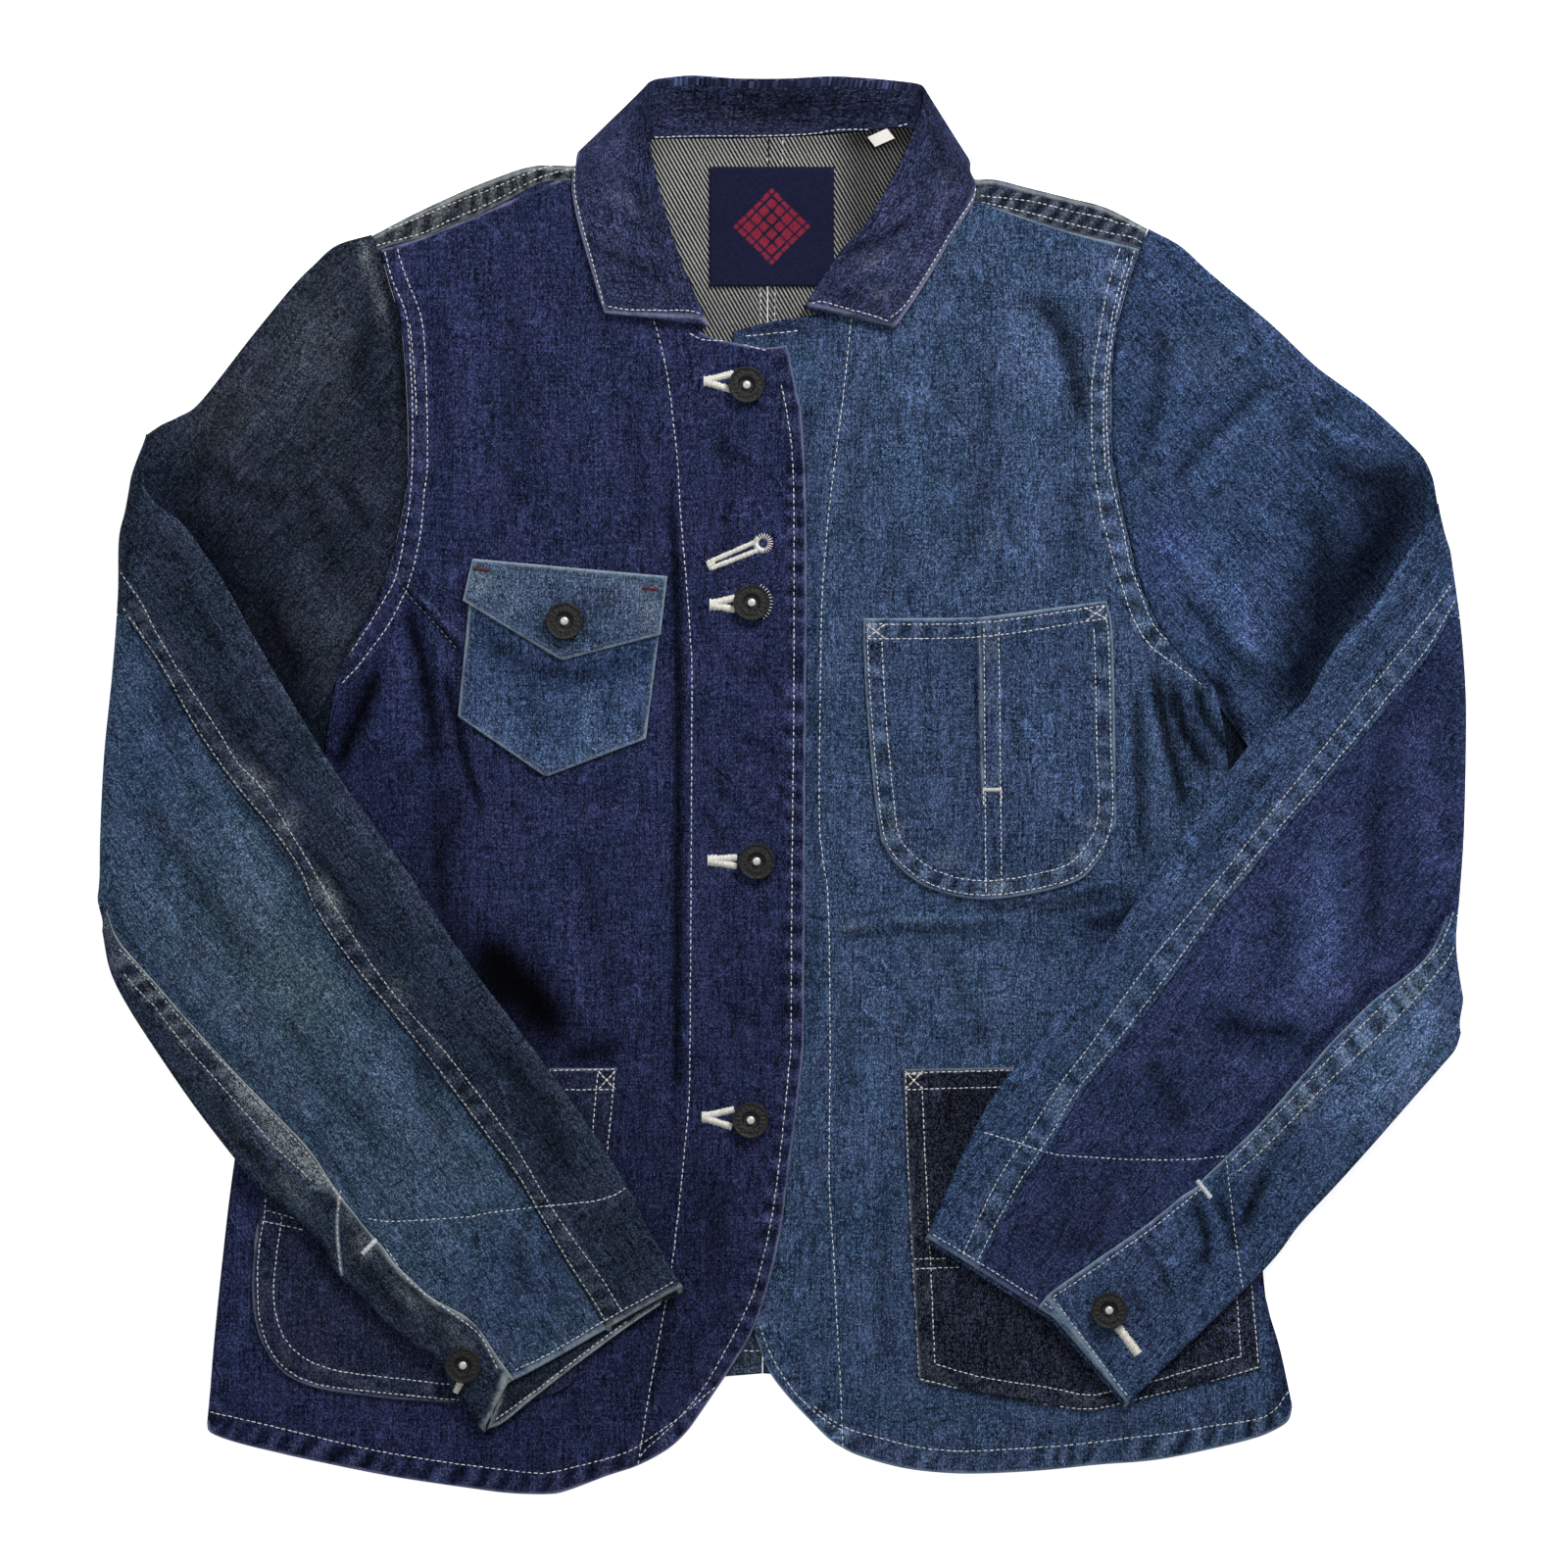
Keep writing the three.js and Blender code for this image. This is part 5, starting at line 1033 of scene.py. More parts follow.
    # cloth coordinates: across and along the sleeve
    def weave(Q, key):
        a = np.radians(np.where(part == 0, d["grainU"], d["grainL"]))[:, None]
        gx, gy = Q[..., 0] * 0.45, Q[..., 1] * 0.45
        return np.stack([gx * np.cos(a) + gy * np.sin(a), -gx * np.sin(a) + gy * np.cos(a), Q[..., 2] * 0 + d["seed"] * key + (part == 0)[:, None] * 7.0], -1)
    G = weave(O, 2.3)
    verts, faces, pick = shell(world(O[..., 0], O[..., 1], O[..., 2]), world(I[..., 0], I[..., 1], I[..., 2]), 4, 2)
    ob = finish_mesh("top_sleeve_" + d["name"], verts, faces, d["topMat"], {"tone": pick(tone), "wear": pick(wear), "edge": pick(edge), "grain": pick(G)})
    bm_fix(ob)
    keep("top_sleeve_" + d["name"], ob, d["topSlot"], "top_sleeve_" + d["name"])
    # under sleeve strip
    nS = 74
    ss = spacing(nS, 110.0)
    wS = (A + g)[:, None] + ((Bw - g) - (A + g))[:, None] * ss[None, :]
    low_edge = 0.30
    hS = np.zeros(wS.shape) + (low_edge * lap / 0.30 + 0.05)[:, None]
    tuck = np.where(part == 0, 0.04 + 0.96 * smooth(0.6, 1, L), 1.0)
    tw = (3.0 * tuck / Wd)[:, None]
    th_ = (1.05 * tuck)[:, None]
    wS = np.concatenate([wS[:, :1] - tw, wS[:, :1] - 0.25 * tw, wS, wS[:, -1:] + 0.25 * tw, wS[:, -1:] + tw], 1)
    hS = np.concatenate([hS[:, :1] + th_, hS[:, :1] + th_, hS, hS[:, -1:] + th_, hS[:, -1:] + th_], 1)
    ss = np.r_[0, 0, ss, 1, 1]
    O2, I2 = place(wS, hS), place(wS, hS + T - 0.15)
    spec_s = d["under_spec"]
    rel2 = np.zeros(wS.shape)
    mBlend = smooth(0.0, 0.12, np.minimum(ss, 1 - ss))[None, :]
    relS = spec_l.relief(O2[mD][..., :2])
    rel2[mD] = relS * endm + spec_s.relief(O2[mD][..., :2]) * mBlend * endm
    cut = np.where(mD[:, None], rounding(dc, T, 1.0), 0)
    O2[..., 2] += rel2 - cut
    I2[..., 2] += rel2
    tone2 = spec_s.tone(O2[..., :2])
    e2 = np.where(mD[:, None], np.minimum(dc / 1.3, spec_s.edge(O2[..., :2])), 9.0)
    G2 = weave(O2, 5.1)
    verts, faces, pick = shell(world(O2[..., 0], O2[..., 1], O2[..., 2]), world(I2[..., 0], I2[..., 1], I2[..., 2]), 4, 4)
    ob2 = finish_mesh("under_sleeve_" + d["name"], verts, faces, d["underMat"], {"tone": pick(tone2), "wear": pick(np.where(mD[:, None], spec_s.wear(O2[..., :2]), 0)), "edge": pick(e2), "grain": pick(G2)})
    bm_fix(ob2)
    keep("under_sleeve_" + d["name"], ob2, d["underSlot"], "under_sleeve_" + d["name"])
    return ob, ob2


SR_A1 = [(123, 583), (135, 600), (148, 620), (160, 645), (190, 695), (220, 740), (243, 778), (262, 797), (280, 822), (305, 862), (345, 930), (395, 1005),
         (460, 1080), (520, 1160), (565, 1235), (610, 1298), (635, 1338)]
SR_A2 = [(126, 620), (140, 640), (170, 685), (200, 740), (240, 798), (275, 840), (300, 875), (312, 898), (325, 930), (355, 975), (400, 1030), (440, 1080),
         (500, 1160), (530, 1200), (570, 1270), (605, 1325), (618, 1348)]
SR_B1 = [(122, 968), (140, 985), (160, 1008), (180, 1033), (220, 1075), (260, 1118), (300, 1160), (315, 1178), (350, 1225)]
SR_B2 = [(127, 993), (140, 1008), (160, 1028), (180, 1055), (220, 1100), (260, 1145), (280, 1168), (320, 1205)]
SR_FLAP = [(390, 1265), (400, 1285), (420, 1303), (440, 1322), (460, 1333), (480, 1345), (495, 1360), (505, 1378), (512, 1390), (519, 1395)]
SR_VENT = [(348, 1213), (345, 1240), (345, 1260), (348, 1297)]
SR_FACING = [(375, 1243), (400, 1246), (440, 1244), (480, 1241), (500, 1237), (550, 1231), (600, 1226), (625, 1220), (640, 1211)]
mid_of = lambda a, b, n=16: (0.5 * (at(curve(a), np.linspace(0, 1, n)) + at(curve(b), np.linspace(0, 1, n)))).tolist()

sleeve_r = sleeve({
    "name": "right", "out": -1, "arm": [(p[0] - 0.3, p[1] + 0.1) for p in [(379, 239)] + ARM_R], "armA": 0.32, "armB": 0.9, "seed": 61, "grainU": 38, "grainL": -36,
    "topMat": M_CHAR, "topSlot": "denim_charcoal", "underMat": M_PALE, "underSlot": "denim_pale",
    "topEdge": [(378.7, 239.1), (343, 250), (320, 270), (300, 290), (267, 330), (251, 350), (204, 410), (182, 425), (165, 433), (150, 443)],
    "fold": [(150, 443), (148, 462), (146, 490), (140, 525), (134, 552), (133, 610), (127, 690), (119, 770), (115, 850), (114, 900), (110, 928), (105, 950)],
    "underEdge": [(346.7, 672.1), (327, 725), (280, 795), (210, 868), (105, 950)],
    "upperEdge": [(150, 443), (147, 470), (149, 495), (158, 512), (175, 525), (190, 538), (213, 570), (230, 595), (260, 650), (295, 710), (345, 790), (420, 895), (480, 985), (556, 1085), (635, 1200), (660, 1250), (697, 1312)],
    "lowerEdge": [(105, 950), (113, 990), (130, 1025), (160, 1072), (200, 1130), (240, 1182), (262, 1208), (290, 1232), (315, 1255), (330, 1270), (345, 1300), (365, 1318), (390, 1345), (420, 1370), (450, 1390), (462, 1420), (478, 1437), (495, 1456)],
    "cuff": ([(697, 1312), (660, 1332), (620, 1355), (580, 1378), (540, 1400), (519, 1410)], [(519, 1410), (508, 1430), (495, 1456)]),
    "seamA": [(126, 624), (140, 645), (155, 666), (200, 746), (240, 803), (275, 845), (300, 882), (325, 934), (355, 980), (400, 1036), (440, 1086), (500, 1167), (530, 1207), (570, 1276), (618, 1354)],
    "seamB": [(104, 908), (118, 950), (130, 968), (160, 1002), (200, 1048), (240, 1092), (280, 1133), (320, 1175), (345, 1215), (390, 1268)],
    "flap": SR_FLAP, "ventL": 0.665, "cuffB": 0.92, "under": 6, "along": (-0.1, 1.0), "wornB": 1.4,
    "upper": Cloth(62, (0.0205, 0.0268, 0.0430), calm=0.45, pucker=0.1, rows=[],
                   folds=[([(367, 243), (377, 272), (388, 310), (397, 350)], 5, 0.7), ([(383, 258), (392, 292), (403, 330), (409, 380), (411, 480)], 4, -0.9), ([(336, 484), (360, 512), (378, 552)], 7, -0.9), ([(372, 476), (386, 530), (380, 574)], 8, 0.6),
                          ([(380, 314), (366, 370), (360, 416)], 9, -0.7), ([(332, 296), (305, 370), (268, 466)], 20, 1.0), ([(252, 386), (215, 450), (188, 516)], 13, -0.8), ([(188, 426), (205, 480), (232, 546)], 13, 0.6),
                          ([(288, 556), (320, 600), (342, 664)], 12, 0.7), ([(262, 586), (285, 650), (312, 704)], 12, -0.9), ([(206, 468), (250, 500), (304, 512)], 10, -0.6), ([(300, 470), (330, 540), (350, 600)], 9, -0.6), ([(270, 330), (250, 380), (225, 410)], 10, 0.5)],
                   spots=[(372, 262, 6, 20, -12, 0.45), (386, 305, 6, 22, -15, 0.4), (318, 335, 36, 50, 0, 0.05), (230, 420, 44, 26, -35, 0.06)],
                   # painted shadow in these tones: the dark line along the armhole seam, and the wide dark band along
                   # the folded lower arm's upper edge, cast by the lower arm
                   tones=[("o", 312, 350, 45, 60, -20, (1.22, 1.2, 1.1)), ("o", 230, 430, 50, 33, -35, (1.2, 1.2, 1.1)), ("l", ARM_R, 4, (0.38, 0.38, 0.42)), ("l", [(160, 500), (205, 575), (255, 660), (305, 740)], 44, (0.22, 0.24, 0.30)), ("o", 388, 420, 22, 110, 0, (0.7, 0.72, 0.8)),
                          ("o", 340, 640, 38, 46, 20, (1.2, 1.2, 1.15)), ("o", 350, 560, 60, 50, 0, (0.78, 0.8, 0.86)), ("o", 250, 560, 70, 60, 30, (0.74, 0.77, 0.84))]),
    "lower": Cloth(63, (0.0190, 0.0282, 0.0515), calm=0.32, rows=[SR_A1, SR_A2, SR_B1, SR_B2, SR_FACING, SR_VENT], pucker=0.28,
                   strips=[(mid_of(SR_A1, SR_A2), 9, 0.35, 0.12), (mid_of(SR_B1, SR_B2), 11, 0.35, 0.2)],
                   ropes=[(mid_of(SR_A1, SR_A2), -4, 9, 24, 0.25, 0.3, 0.14), (mid_of(SR_B1, SR_B2), -4, 12, 22, 0.38, 0.3, 0.40), ([(395, 1275), (440, 1317), (490, 1352), (513, 1390)], -4, 8, 22, 0.3, 0.3, 0.2)],
                   worn=[(SR_FLAP, 2.6), ([(697, 1312), (620, 1355), (540, 1400), (515, 1415)], 2.4), ([(519, 1396), (508, 1430), (492, 1457)], 2.4), ([(347, 1215), (345, 1240), (345, 1262), (349, 1300)], 0.9)],
                   folds=[([(350, 1226), (370, 1290), (424, 1354)], 9, -0.8), ([(378, 1318), (430, 1345), (474, 1362)], 10, 0.7), ([(212, 696), (250, 755), (292, 818)], 9, -0.7), ([(298, 846), (345, 905), (384, 966)], 8, -0.7), ([(496, 1052), (540, 1120), (592, 1206)], 14, -0.7),
                          ([(424, 952), (450, 985), (476, 1018)], 9, 0.5), ([(160, 540), (200, 620), (240, 690)], 10, -0.5), ([(180, 560), (225, 640), (270, 720)], 10, 0.5), ([(210, 1118), (255, 1175), (302, 1228)], 8, -0.8), ([(236, 1126), (280, 1180), (324, 1230)], 7, 0.7),
                          ([(400, 1300), (440, 1340), (455, 1380)], 8, -0.7), ([(600, 1230), (630, 1270), (650, 1300)], 9, -0.4), ([(560, 1140), (590, 1180), (610, 1220)], 9, 0.4), ([(330, 800), (380, 870), (430, 940)], 9, 0.5)],
                   spots=[(262, 795, 22, 9, 40, 0.5), (295, 835, 12, 13, 45, 0.35), (338, 918, 22, 8, 62, 0.55), (405, 1010, 14, 9, 50, 0.3), (112, 945, 8, 22, -15, 0.3), (150, 985, 30, 8, 48, 0.4), (205, 1050, 40, 7, 48, 0.35), (250, 1110, 30, 9, 48, 0.4), (285, 1160, 26, 10, 50, 0.55),
                          (315, 1188, 20, 7, 50, 0.5), (262, 1128, 34, 4, 48, 0.55), (300, 1172, 26, 4, 48, 0.6), (330, 1205, 14, 6, 50, 0.5), (360, 1235, 9, 17, 0, 0.5), (375, 1270, 13, 15, 30, 0.45), (420, 1325, 30, 7, 38, 0.3), (470, 1365, 16, 9, 40, 0.3), (300, 1215, 22, 6, 48, 0.35)],
                   # painted highlight: the pale line along the folded edge of the lower arm
                   tones=[("l", [(148, 500), (175, 527), (215, 575), (260, 655), (345, 795), (480, 990), (635, 1205)], 13, (1.35, 1.32, 1.25)), ("o", 540, 1120, 90, 130, -35, (0.92, 0.92, 0.94)), ("o", 270, 1170, 120, 45, 48, (1.4, 1.38, 1.22)), ("o", 430, 1350, 70, 50, 30, (1.1, 1.05, 1.0))]),
    "under_spec": Cloth(64, (0.0445, 0.0740, 0.1260), calm=0.38, rows=[],
                        folds=[([(150, 690), (190, 780), (232, 856)], 10, -0.5), ([(178, 736), (230, 840), (292, 946)], 15, 0.7), ([(136, 796), (200, 900), (272, 1006)], 13, -0.6), ([(328, 996), (380, 1080), (434, 1146)], 13, 0.6), ([(288, 1026), (340, 1110), (404, 1186)], 12, -0.55),
                               ([(420, 1056), (450, 1150), (502, 1214)], 13, -0.5), ([(428, 1248), (480, 1290), (502, 1334)], 10, 0.45), ([(520, 1256), (540, 1320)], 10, -0.45), ([(130, 860), (150, 910), (190, 960)], 10, 0.4), ([(400, 1222), (450, 1226), (520, 1222)], 6, 0.4)],
                        worn=[([(620, 1355), (540, 1400), (515, 1415)], 2.6)],
                        # painted shadow: the dark lines along seam A and seam B, where the top sleeve's edges lie over
                        # the under sleeve
                        tones=[("l", [(132, 648), (160, 690), (205, 762), (246, 818), (282, 862), (306, 902), (332, 950), (362, 996), (408, 1052), (448, 1102), (508, 1182), (538, 1222), (578, 1290)], 7, (0.6, 0.63, 0.68)), ("o", 255, 930, 55, 80, 40, (1.1, 1.08, 1.0)), ("o", 310, 1010, 60, 50, 40, (1.12, 1.12, 0.9)),
                               ("o", 150, 760, 60, 120, 0, (0.82, 0.86, 0.98)), ("o", 530, 1310, 100, 70, -30, (0.7, 0.72, 0.86)), ("o", 470, 1170, 80, 60, 40, (1.10, 1.14, 1.12)), ("l", [(112, 910), (126, 950), (168, 1000), (248, 1086), (325, 1165), (352, 1205)], 7, (0.62, 0.64, 0.68))]),
})

SL_A1 = [(1480, 597), (1440, 650), (1400, 700), (1360, 750), (1320, 800), (1280, 850), (1240, 900), (1170, 985), (1115, 1062), (1080, 1108), (1050, 1155), (1020, 1200), (1000, 1240), (982, 1280)]
SL_A2 = [(1484, 612), (1455, 662), (1420, 705), (1380, 755), (1340, 803), (1300, 850), (1250, 912), (1190, 995), (1137, 1065), (1100, 1110), (1070, 1160), (1040, 1205), (1015, 1250), (998, 1285)]
SL_B1 = [(1482, 930), (1475, 950), (1465, 970), (1445, 990), (1400, 1035), (1360, 1075), (1320, 1118), (1280, 1158), (1255, 1185)]
SL_B2 = [(1485, 960), (1475, 980), (1440, 1022), (1400, 1062), (1360, 1098), (1320, 1140), (1280, 1180), (1262, 1195)]
SL_FLAP = [(1222, 1205), (1180, 1240), (1150, 1262), (1100, 1297), (1067, 1320)]
SL_FLAP_ROW = [(1226, 1212), (1184, 1246), (1154, 1268), (1104, 1303), (1074, 1323)]
SL_END_ROW = [(1074, 1323), (1110, 1372), (1150, 1424)]
SL_CUFF_ROW = [(951, 1259), (988, 1281), (1074, 1335)]
SL_FACING = [(1003, 1155), (1030, 1163), (1060, 1173), (1080, 1178), (1120, 1181), (1160, 1183), (1210, 1183), (1250, 1179)]
SL_VENT = [(1250, 1176), (1252, 1195), (1256, 1230), (1260, 1260), (1265, 1300), (1268, 1315)]

sleeve_l = sleeve({
    "name": "left", "out": 1, "arm": [(p[0] + 0.3, p[1] + 0.1) for p in [(1172, 233)] + ARM_L], "armA": 0.32, "armB": 0.88, "seed": 71, "grainU": -40, "grainL": 38,
    "topMat": M_TEAL, "topSlot": "denim_teal", "underMat": M_VIOLET2, "underSlot": "denim_violet",
    "topEdge": [(1172.3, 233.1), (1204, 250), (1226, 270), (1249, 290), (1297, 330), (1339, 370), (1365, 390), (1393, 410), (1416, 430), (1437, 450), (1452, 466), (1462, 487), (1467, 514)],
    "fold": [(1467, 514), (1467, 530), (1466, 550), (1469, 575), (1474, 610), (1479, 650), (1483, 710), (1483, 770), (1481, 850), (1477, 910), (1473, 960), (1477, 1000), (1483, 1030), (1490, 1054)],
    "underEdge": [(1240.3, 699.1), (1272, 750), (1340, 856), (1490, 1054)],
    "upperEdge": [(1467, 514), (1461, 527), (1450, 543), (1430, 571), (1410, 605), (1395, 625), (1370, 650), (1350, 680), (1325, 722), (1282, 752), (1240, 805), (1192, 870), (1150, 933), (1102, 998), (1050, 1070), (1000, 1140), (945, 1262)],
    "lowerEdge": [(1490, 1054), (1484, 1071), (1468, 1090), (1433, 1130), (1398, 1170), (1362, 1210), (1325, 1250), (1285, 1300), (1150, 1432)],
    "cuff": ([(945, 1262), (985, 1287), (1040, 1322), (1075, 1344)], [(1075, 1344), (1110, 1385), (1150, 1432)]),
    "seamA": [(1484, 618), (1460, 666), (1424, 711), (1384, 761), (1344, 809), (1304, 856), (1254, 918), (1194, 1001), (1141, 1071), (1104, 1116), (1074, 1166), (1044, 1211), (1019, 1256), (1002, 1291)],
    "seamB": [(1490, 905), (1478, 925), (1462, 965), (1440, 990), (1400, 1020), (1360, 1060), (1320, 1105), (1280, 1150), (1222, 1206)],
    "flap": SL_FLAP, "ventL": 0.655, "cuffB": 0.8, "under": 5, "along": (-0.35, 0.9), "wornB": 1.6,
    "upper": Cloth(72, (0.0335, 0.0585, 0.1290), calm=0.45, pucker=0.1,
                   folds=[([(1304, 376), (1262, 418), (1225, 455), (1188, 504)], 7, -0.8), ([(1304, 406), (1260, 450), (1212, 516)], 13, 0.8), ([(1190, 326), (1186, 390), (1164, 466)], 10, -0.7), ([(1206, 326), (1200, 400), (1178, 476)], 9, 0.6), ([(1178, 536), (1240, 600), (1304, 668)], 17, 1.0),
                          ([(1198, 596), (1250, 660), (1294, 704)], 10, -0.8), ([(1342, 466), (1390, 490), (1446, 486)], 10, -0.8), ([(1346, 442), (1400, 460), (1444, 466)], 9, 0.6), ([(1240, 688), (1256, 730), (1274, 756)], 8, -1.1), ([(1248, 648), (1280, 668), (1314, 682)], 8, 0.7),
                          ([(1328, 496), (1350, 560), (1330, 646)], 16, -0.9), ([(1240, 330), (1275, 360), (1300, 350)], 10, 0.5), ([(1170, 300), (1180, 340), (1176, 380)], 8, -0.4), ([(1280, 500), (1300, 560), (1320, 600)], 12, 0.5), ([(1380, 400), (1340, 420), (1310, 460)], 9, -0.5)],
                   spots=[(1172, 482, 9, 4, 0, 0.3), (1240, 370, 40, 16, 25, 0.1)],
                   # painted shadow and shade in these tones: the dark line along the armhole seam, the dark band and
                   # ovals at the elbow cast by the folded lower arm, and the dark lines in the creases at (1262, 418)
                   # and (1250, 720)
                   tones=[("l", ARM_L, 4, (0.42, 0.42, 0.46)), ("l", [(1462, 498), (1425, 535), (1388, 585), (1350, 642), (1326, 695)], 40, (0.14, 0.145, 0.16)), ("o", 1415, 500, 62, 32, 25, (0.42, 0.42, 0.43)), ("o", 1400, 560, 34, 50, 32, (0.62, 0.62, 0.64)), ("o", 1390, 465, 60, 26, 40, (0.84, 0.84, 0.84)), ("l", [(1287, 393), (1262, 418), (1236, 444)], 6, (0.72, 0.74, 0.8)),
                          ("o", 1165, 465, 12, 22, 10, (0.68, 0.7, 0.74)), ("o", 1235, 620, 50, 60, 35, (1.15, 1.16, 1.18)), ("o", 1280, 650, 30, 18, 30, (1.15, 1.15, 1.15)), ("o", 1240, 350, 60, 40, -30, (1.08, 1.06, 1.02)), ("l", [(1240, 690), (1264, 748)], 10, (0.58, 0.58, 0.62)),
                          ("o", 1190, 560, 20, 40, 10, (1.0, 0.95, 1.12)), ("o", 1320, 560, 40, 60, 30, (0.86, 0.87, 0.9))]),
    "lower": Cloth(73, (0.0355, 0.0610, 0.1290), calm=0.32, rows=[SL_A1, SL_A2, SL_B1, SL_B2, SL_FACING, SL_VENT, SL_FLAP_ROW, SL_END_ROW, SL_CUFF_ROW], pucker=0.28,
                   strips=[(mid_of(SL_A1, SL_A2), 9, 0.35, 0.12), (mid_of(SL_B1, SL_B2), 11, 0.35, 0.18)],
                   ropes=[(mid_of(SL_A1, SL_A2), -4, 9, 25, 0.30, 0.2, 0.20), (mid_of(SL_B1, SL_B2), -4, 11, 23, 0.42, 0.2, 0.42), (SL_FLAP_ROW, -4, 8, 22, 0.22, 0.2, 0.1)],
                   worn=[(SL_FLAP, 1.7), ([(945, 1262), (985, 1287), (1080, 1347)], 1.8), ([(1067, 1320), (1110, 1376), (1150, 1432)], 1.7)],
                   folds=[([(1216, 1222), (1230, 1262), (1226, 1300)], 6, -1.2), ([(1230, 1230), (1246, 1262), (1240, 1300)], 6, 0.7), ([(1240, 1216), (1252, 1246), (1262, 1280)], 6, -1.0), ([(1268, 1262), (1278, 1226), (1296, 1190)], 7, -1.2), ([(1164, 1262), (1186, 1300), (1196, 1346)], 6, -0.8), ([(1204, 1310), (1184, 1350), (1180, 1390)], 6, 0.6), ([(1143, 1296), (1180, 1366)], 8, -0.6), ([(1330, 1140), (1390, 1130), (1430, 1080)], 11, 0.6), ([(1440, 560), (1400, 625), (1350, 690)], 9, 0.5), ([(1440, 600), (1400, 660), (1360, 700)], 8, -0.4),
                          ([(1260, 800), (1210, 870), (1170, 930)], 9, 0.5), ([(1300, 770), (1250, 840), (1200, 900)], 8, -0.4), ([(1110, 1000), (1070, 1060), (1030, 1120)], 9, 0.45), ([(1200, 1250), (1180, 1290), (1190, 1330)], 8, 0.5), ([(1280, 1260), (1250, 1300), (1220, 1340)], 9, 0.5),
                          ([(1350, 1110), (1310, 1160), (1290, 1210)], 8, -0.6), ([(1460, 1020), (1450, 1060), (1420, 1090)], 9, 0.6), ([(1060, 1180), (1030, 1230), (1000, 1270)], 9, -0.4)],
                   spots=[(1300, 830, 16, 8, -50, 0.3), (1270, 900, 8, 16, 30, 0.3), (1440, 1010, 20, 9, -45, 0.3), (1330, 1125, 20, 9, -45, 0.35), (1290, 1165, 16, 9, -45, 0.35)],
                   # painted highlight: the pale line along the folded edge of the lower arm
                   tones=[("l", [(1462, 530), (1440, 562), (1400, 612), (1350, 683)], 12, (1.12, 1.1, 1.08)), ("o", 1430, 1075, 80, 55, -45, (2.1, 2.0, 1.75)), ("o", 1190, 1300, 90, 70, -40, (0.92, 0.92, 0.92)), ("l", [(1485, 912), (1462, 962), (1440, 990)], 8, (1.3, 1.3, 1.25)), ("o", 1255, 1240, 24, 40, 0, (0.7, 0.7, 0.74))]),
    "under_spec": Cloth(74, (0.0272, 0.0390, 0.1030), calm=0.38,
                        folds=[([(1234, 1038), (1285, 1052), (1338, 1050)], 9, -0.9), ([(1228, 1074), (1280, 1090), (1334, 1085)], 9, 0.6), ([(1340, 856), (1350, 950), (1345, 1036)], 15, 0.9), ([(1396, 796), (1402, 880), (1396, 984)], 13, -0.7), ([(1300, 896), (1306, 960), (1290, 1024)], 12, -0.5),
                               ([(1440, 716), (1450, 800), (1455, 904)], 13, 0.6), ([(1168, 1076), (1200, 1130), (1190, 1164)], 10, -0.6), ([(1108, 1198), (1150, 1230)], 10, 0.5), ([(1250, 950), (1265, 990), (1240, 1020)], 9, 0.5), ([(1130, 1195), (1120, 1250), (1080, 1290)], 9, -0.5), ([(1420, 720), (1410, 790), (1380, 830)], 10, -0.4)],
                        worn=[([(985, 1287), (1080, 1347)], 1.6)],
                        # painted shade: the dark band in the fold trough at (1290, 1060); painted shadow: the dark line
                        # along seam B under the top sleeve's edge
                        tones=[("o", 1340, 960, 32, 90, 8, (1.5, 1.55, 1.45)), ("l", [(1238, 1048), (1290, 1062), (1338, 1060)], 15, (0.62, 0.64, 0.67)), ("l", [(1476, 920), (1454, 962), (1434, 984), (1394, 1014), (1354, 1054), (1314, 1099), (1272, 1145), (1218, 1198)], 7, (0.55, 0.55, 0.6)),
                               ("o", 1420, 860, 26, 110, 0, (0.82, 0.8, 0.82)), ("o", 1190, 1120, 110, 70, -40, (0.8, 0.82, 0.78)), ("o", 1090, 1250, 80, 60, -30, (0.66, 0.64, 0.62)), ("o", 1478, 780, 22, 120, 0, (0.85, 0.85, 0.85)), ("o", 1440, 690, 50, 80, 0, (0.70, 0.70, 0.72)), ("o", 1260, 960, 40, 40, 0, (1.1, 1.1, 1.1))]),
})


# ------------------------------------------------------------------ pockets
def on(zfun, spec, n, extra=0.1):
    def z(x, y):
        return zfun(x, y) + 0.9 * spec.relief(np.stack([x, y], -1)) + n * LAYER + extra
    return z


def straight(*pts):
    return resample(np.array(pts, float), 4.0)


CPR_OUT = (straight((467, 731), (557, 793), (659, 754)), straight((481, 590), (576, 596), (678, 604)), straight((467, 731), (481, 590)), straight((659, 754), (678, 604)))
CPR_EDGE = [[(481, 600), (467, 731)], [(467, 731), (557, 793)], [(557, 793), (659, 754)], [(659, 754), (678, 610)]]
CPR = Cloth(81, (0.0410, 0.0690, 0.1490), calm=0.3, rows=[[(485, 620), (472, 729)], [(472, 729), (557, 787)], [(557, 787), (654, 750)], [(654, 750), (671, 640)]],
            worn=[(e, 1.25) for e in CPR_EDGE], folds=[([(600, 700), (600, 770)], 8, 0.5), ([(540, 690), (545, 760)], 12, -0.3), ([(480, 640), (560, 690), (660, 665)], 14, -0.5)],
            # painted shadow: the dark band just below the flap's lower edges
            tones=[("l", [(600, 705), (600, 770)], 8, (1.5, 1.4, 1.25)), ("l", [(500, 745), (557, 780), (640, 755)], 14, (1.35, 1.3, 1.2)), ("l", [(478, 628), (573, 690), (674, 662)], 14, (0.6, 0.62, 0.66))])
chest_pocket_right = panel("chest_pocket_right", "chest_pocket_right", "denim_pale", CPR_OUT, on(right_z, FR, 1), CPR, M_PALE, pitch=1.6)
CFR_OUT = (straight((472, 613), (573, 674), (674, 648)), straight((482, 570), (580, 579), (681, 588)), straight((472, 613), (482, 570)), straight((674, 648), (681, 588)))
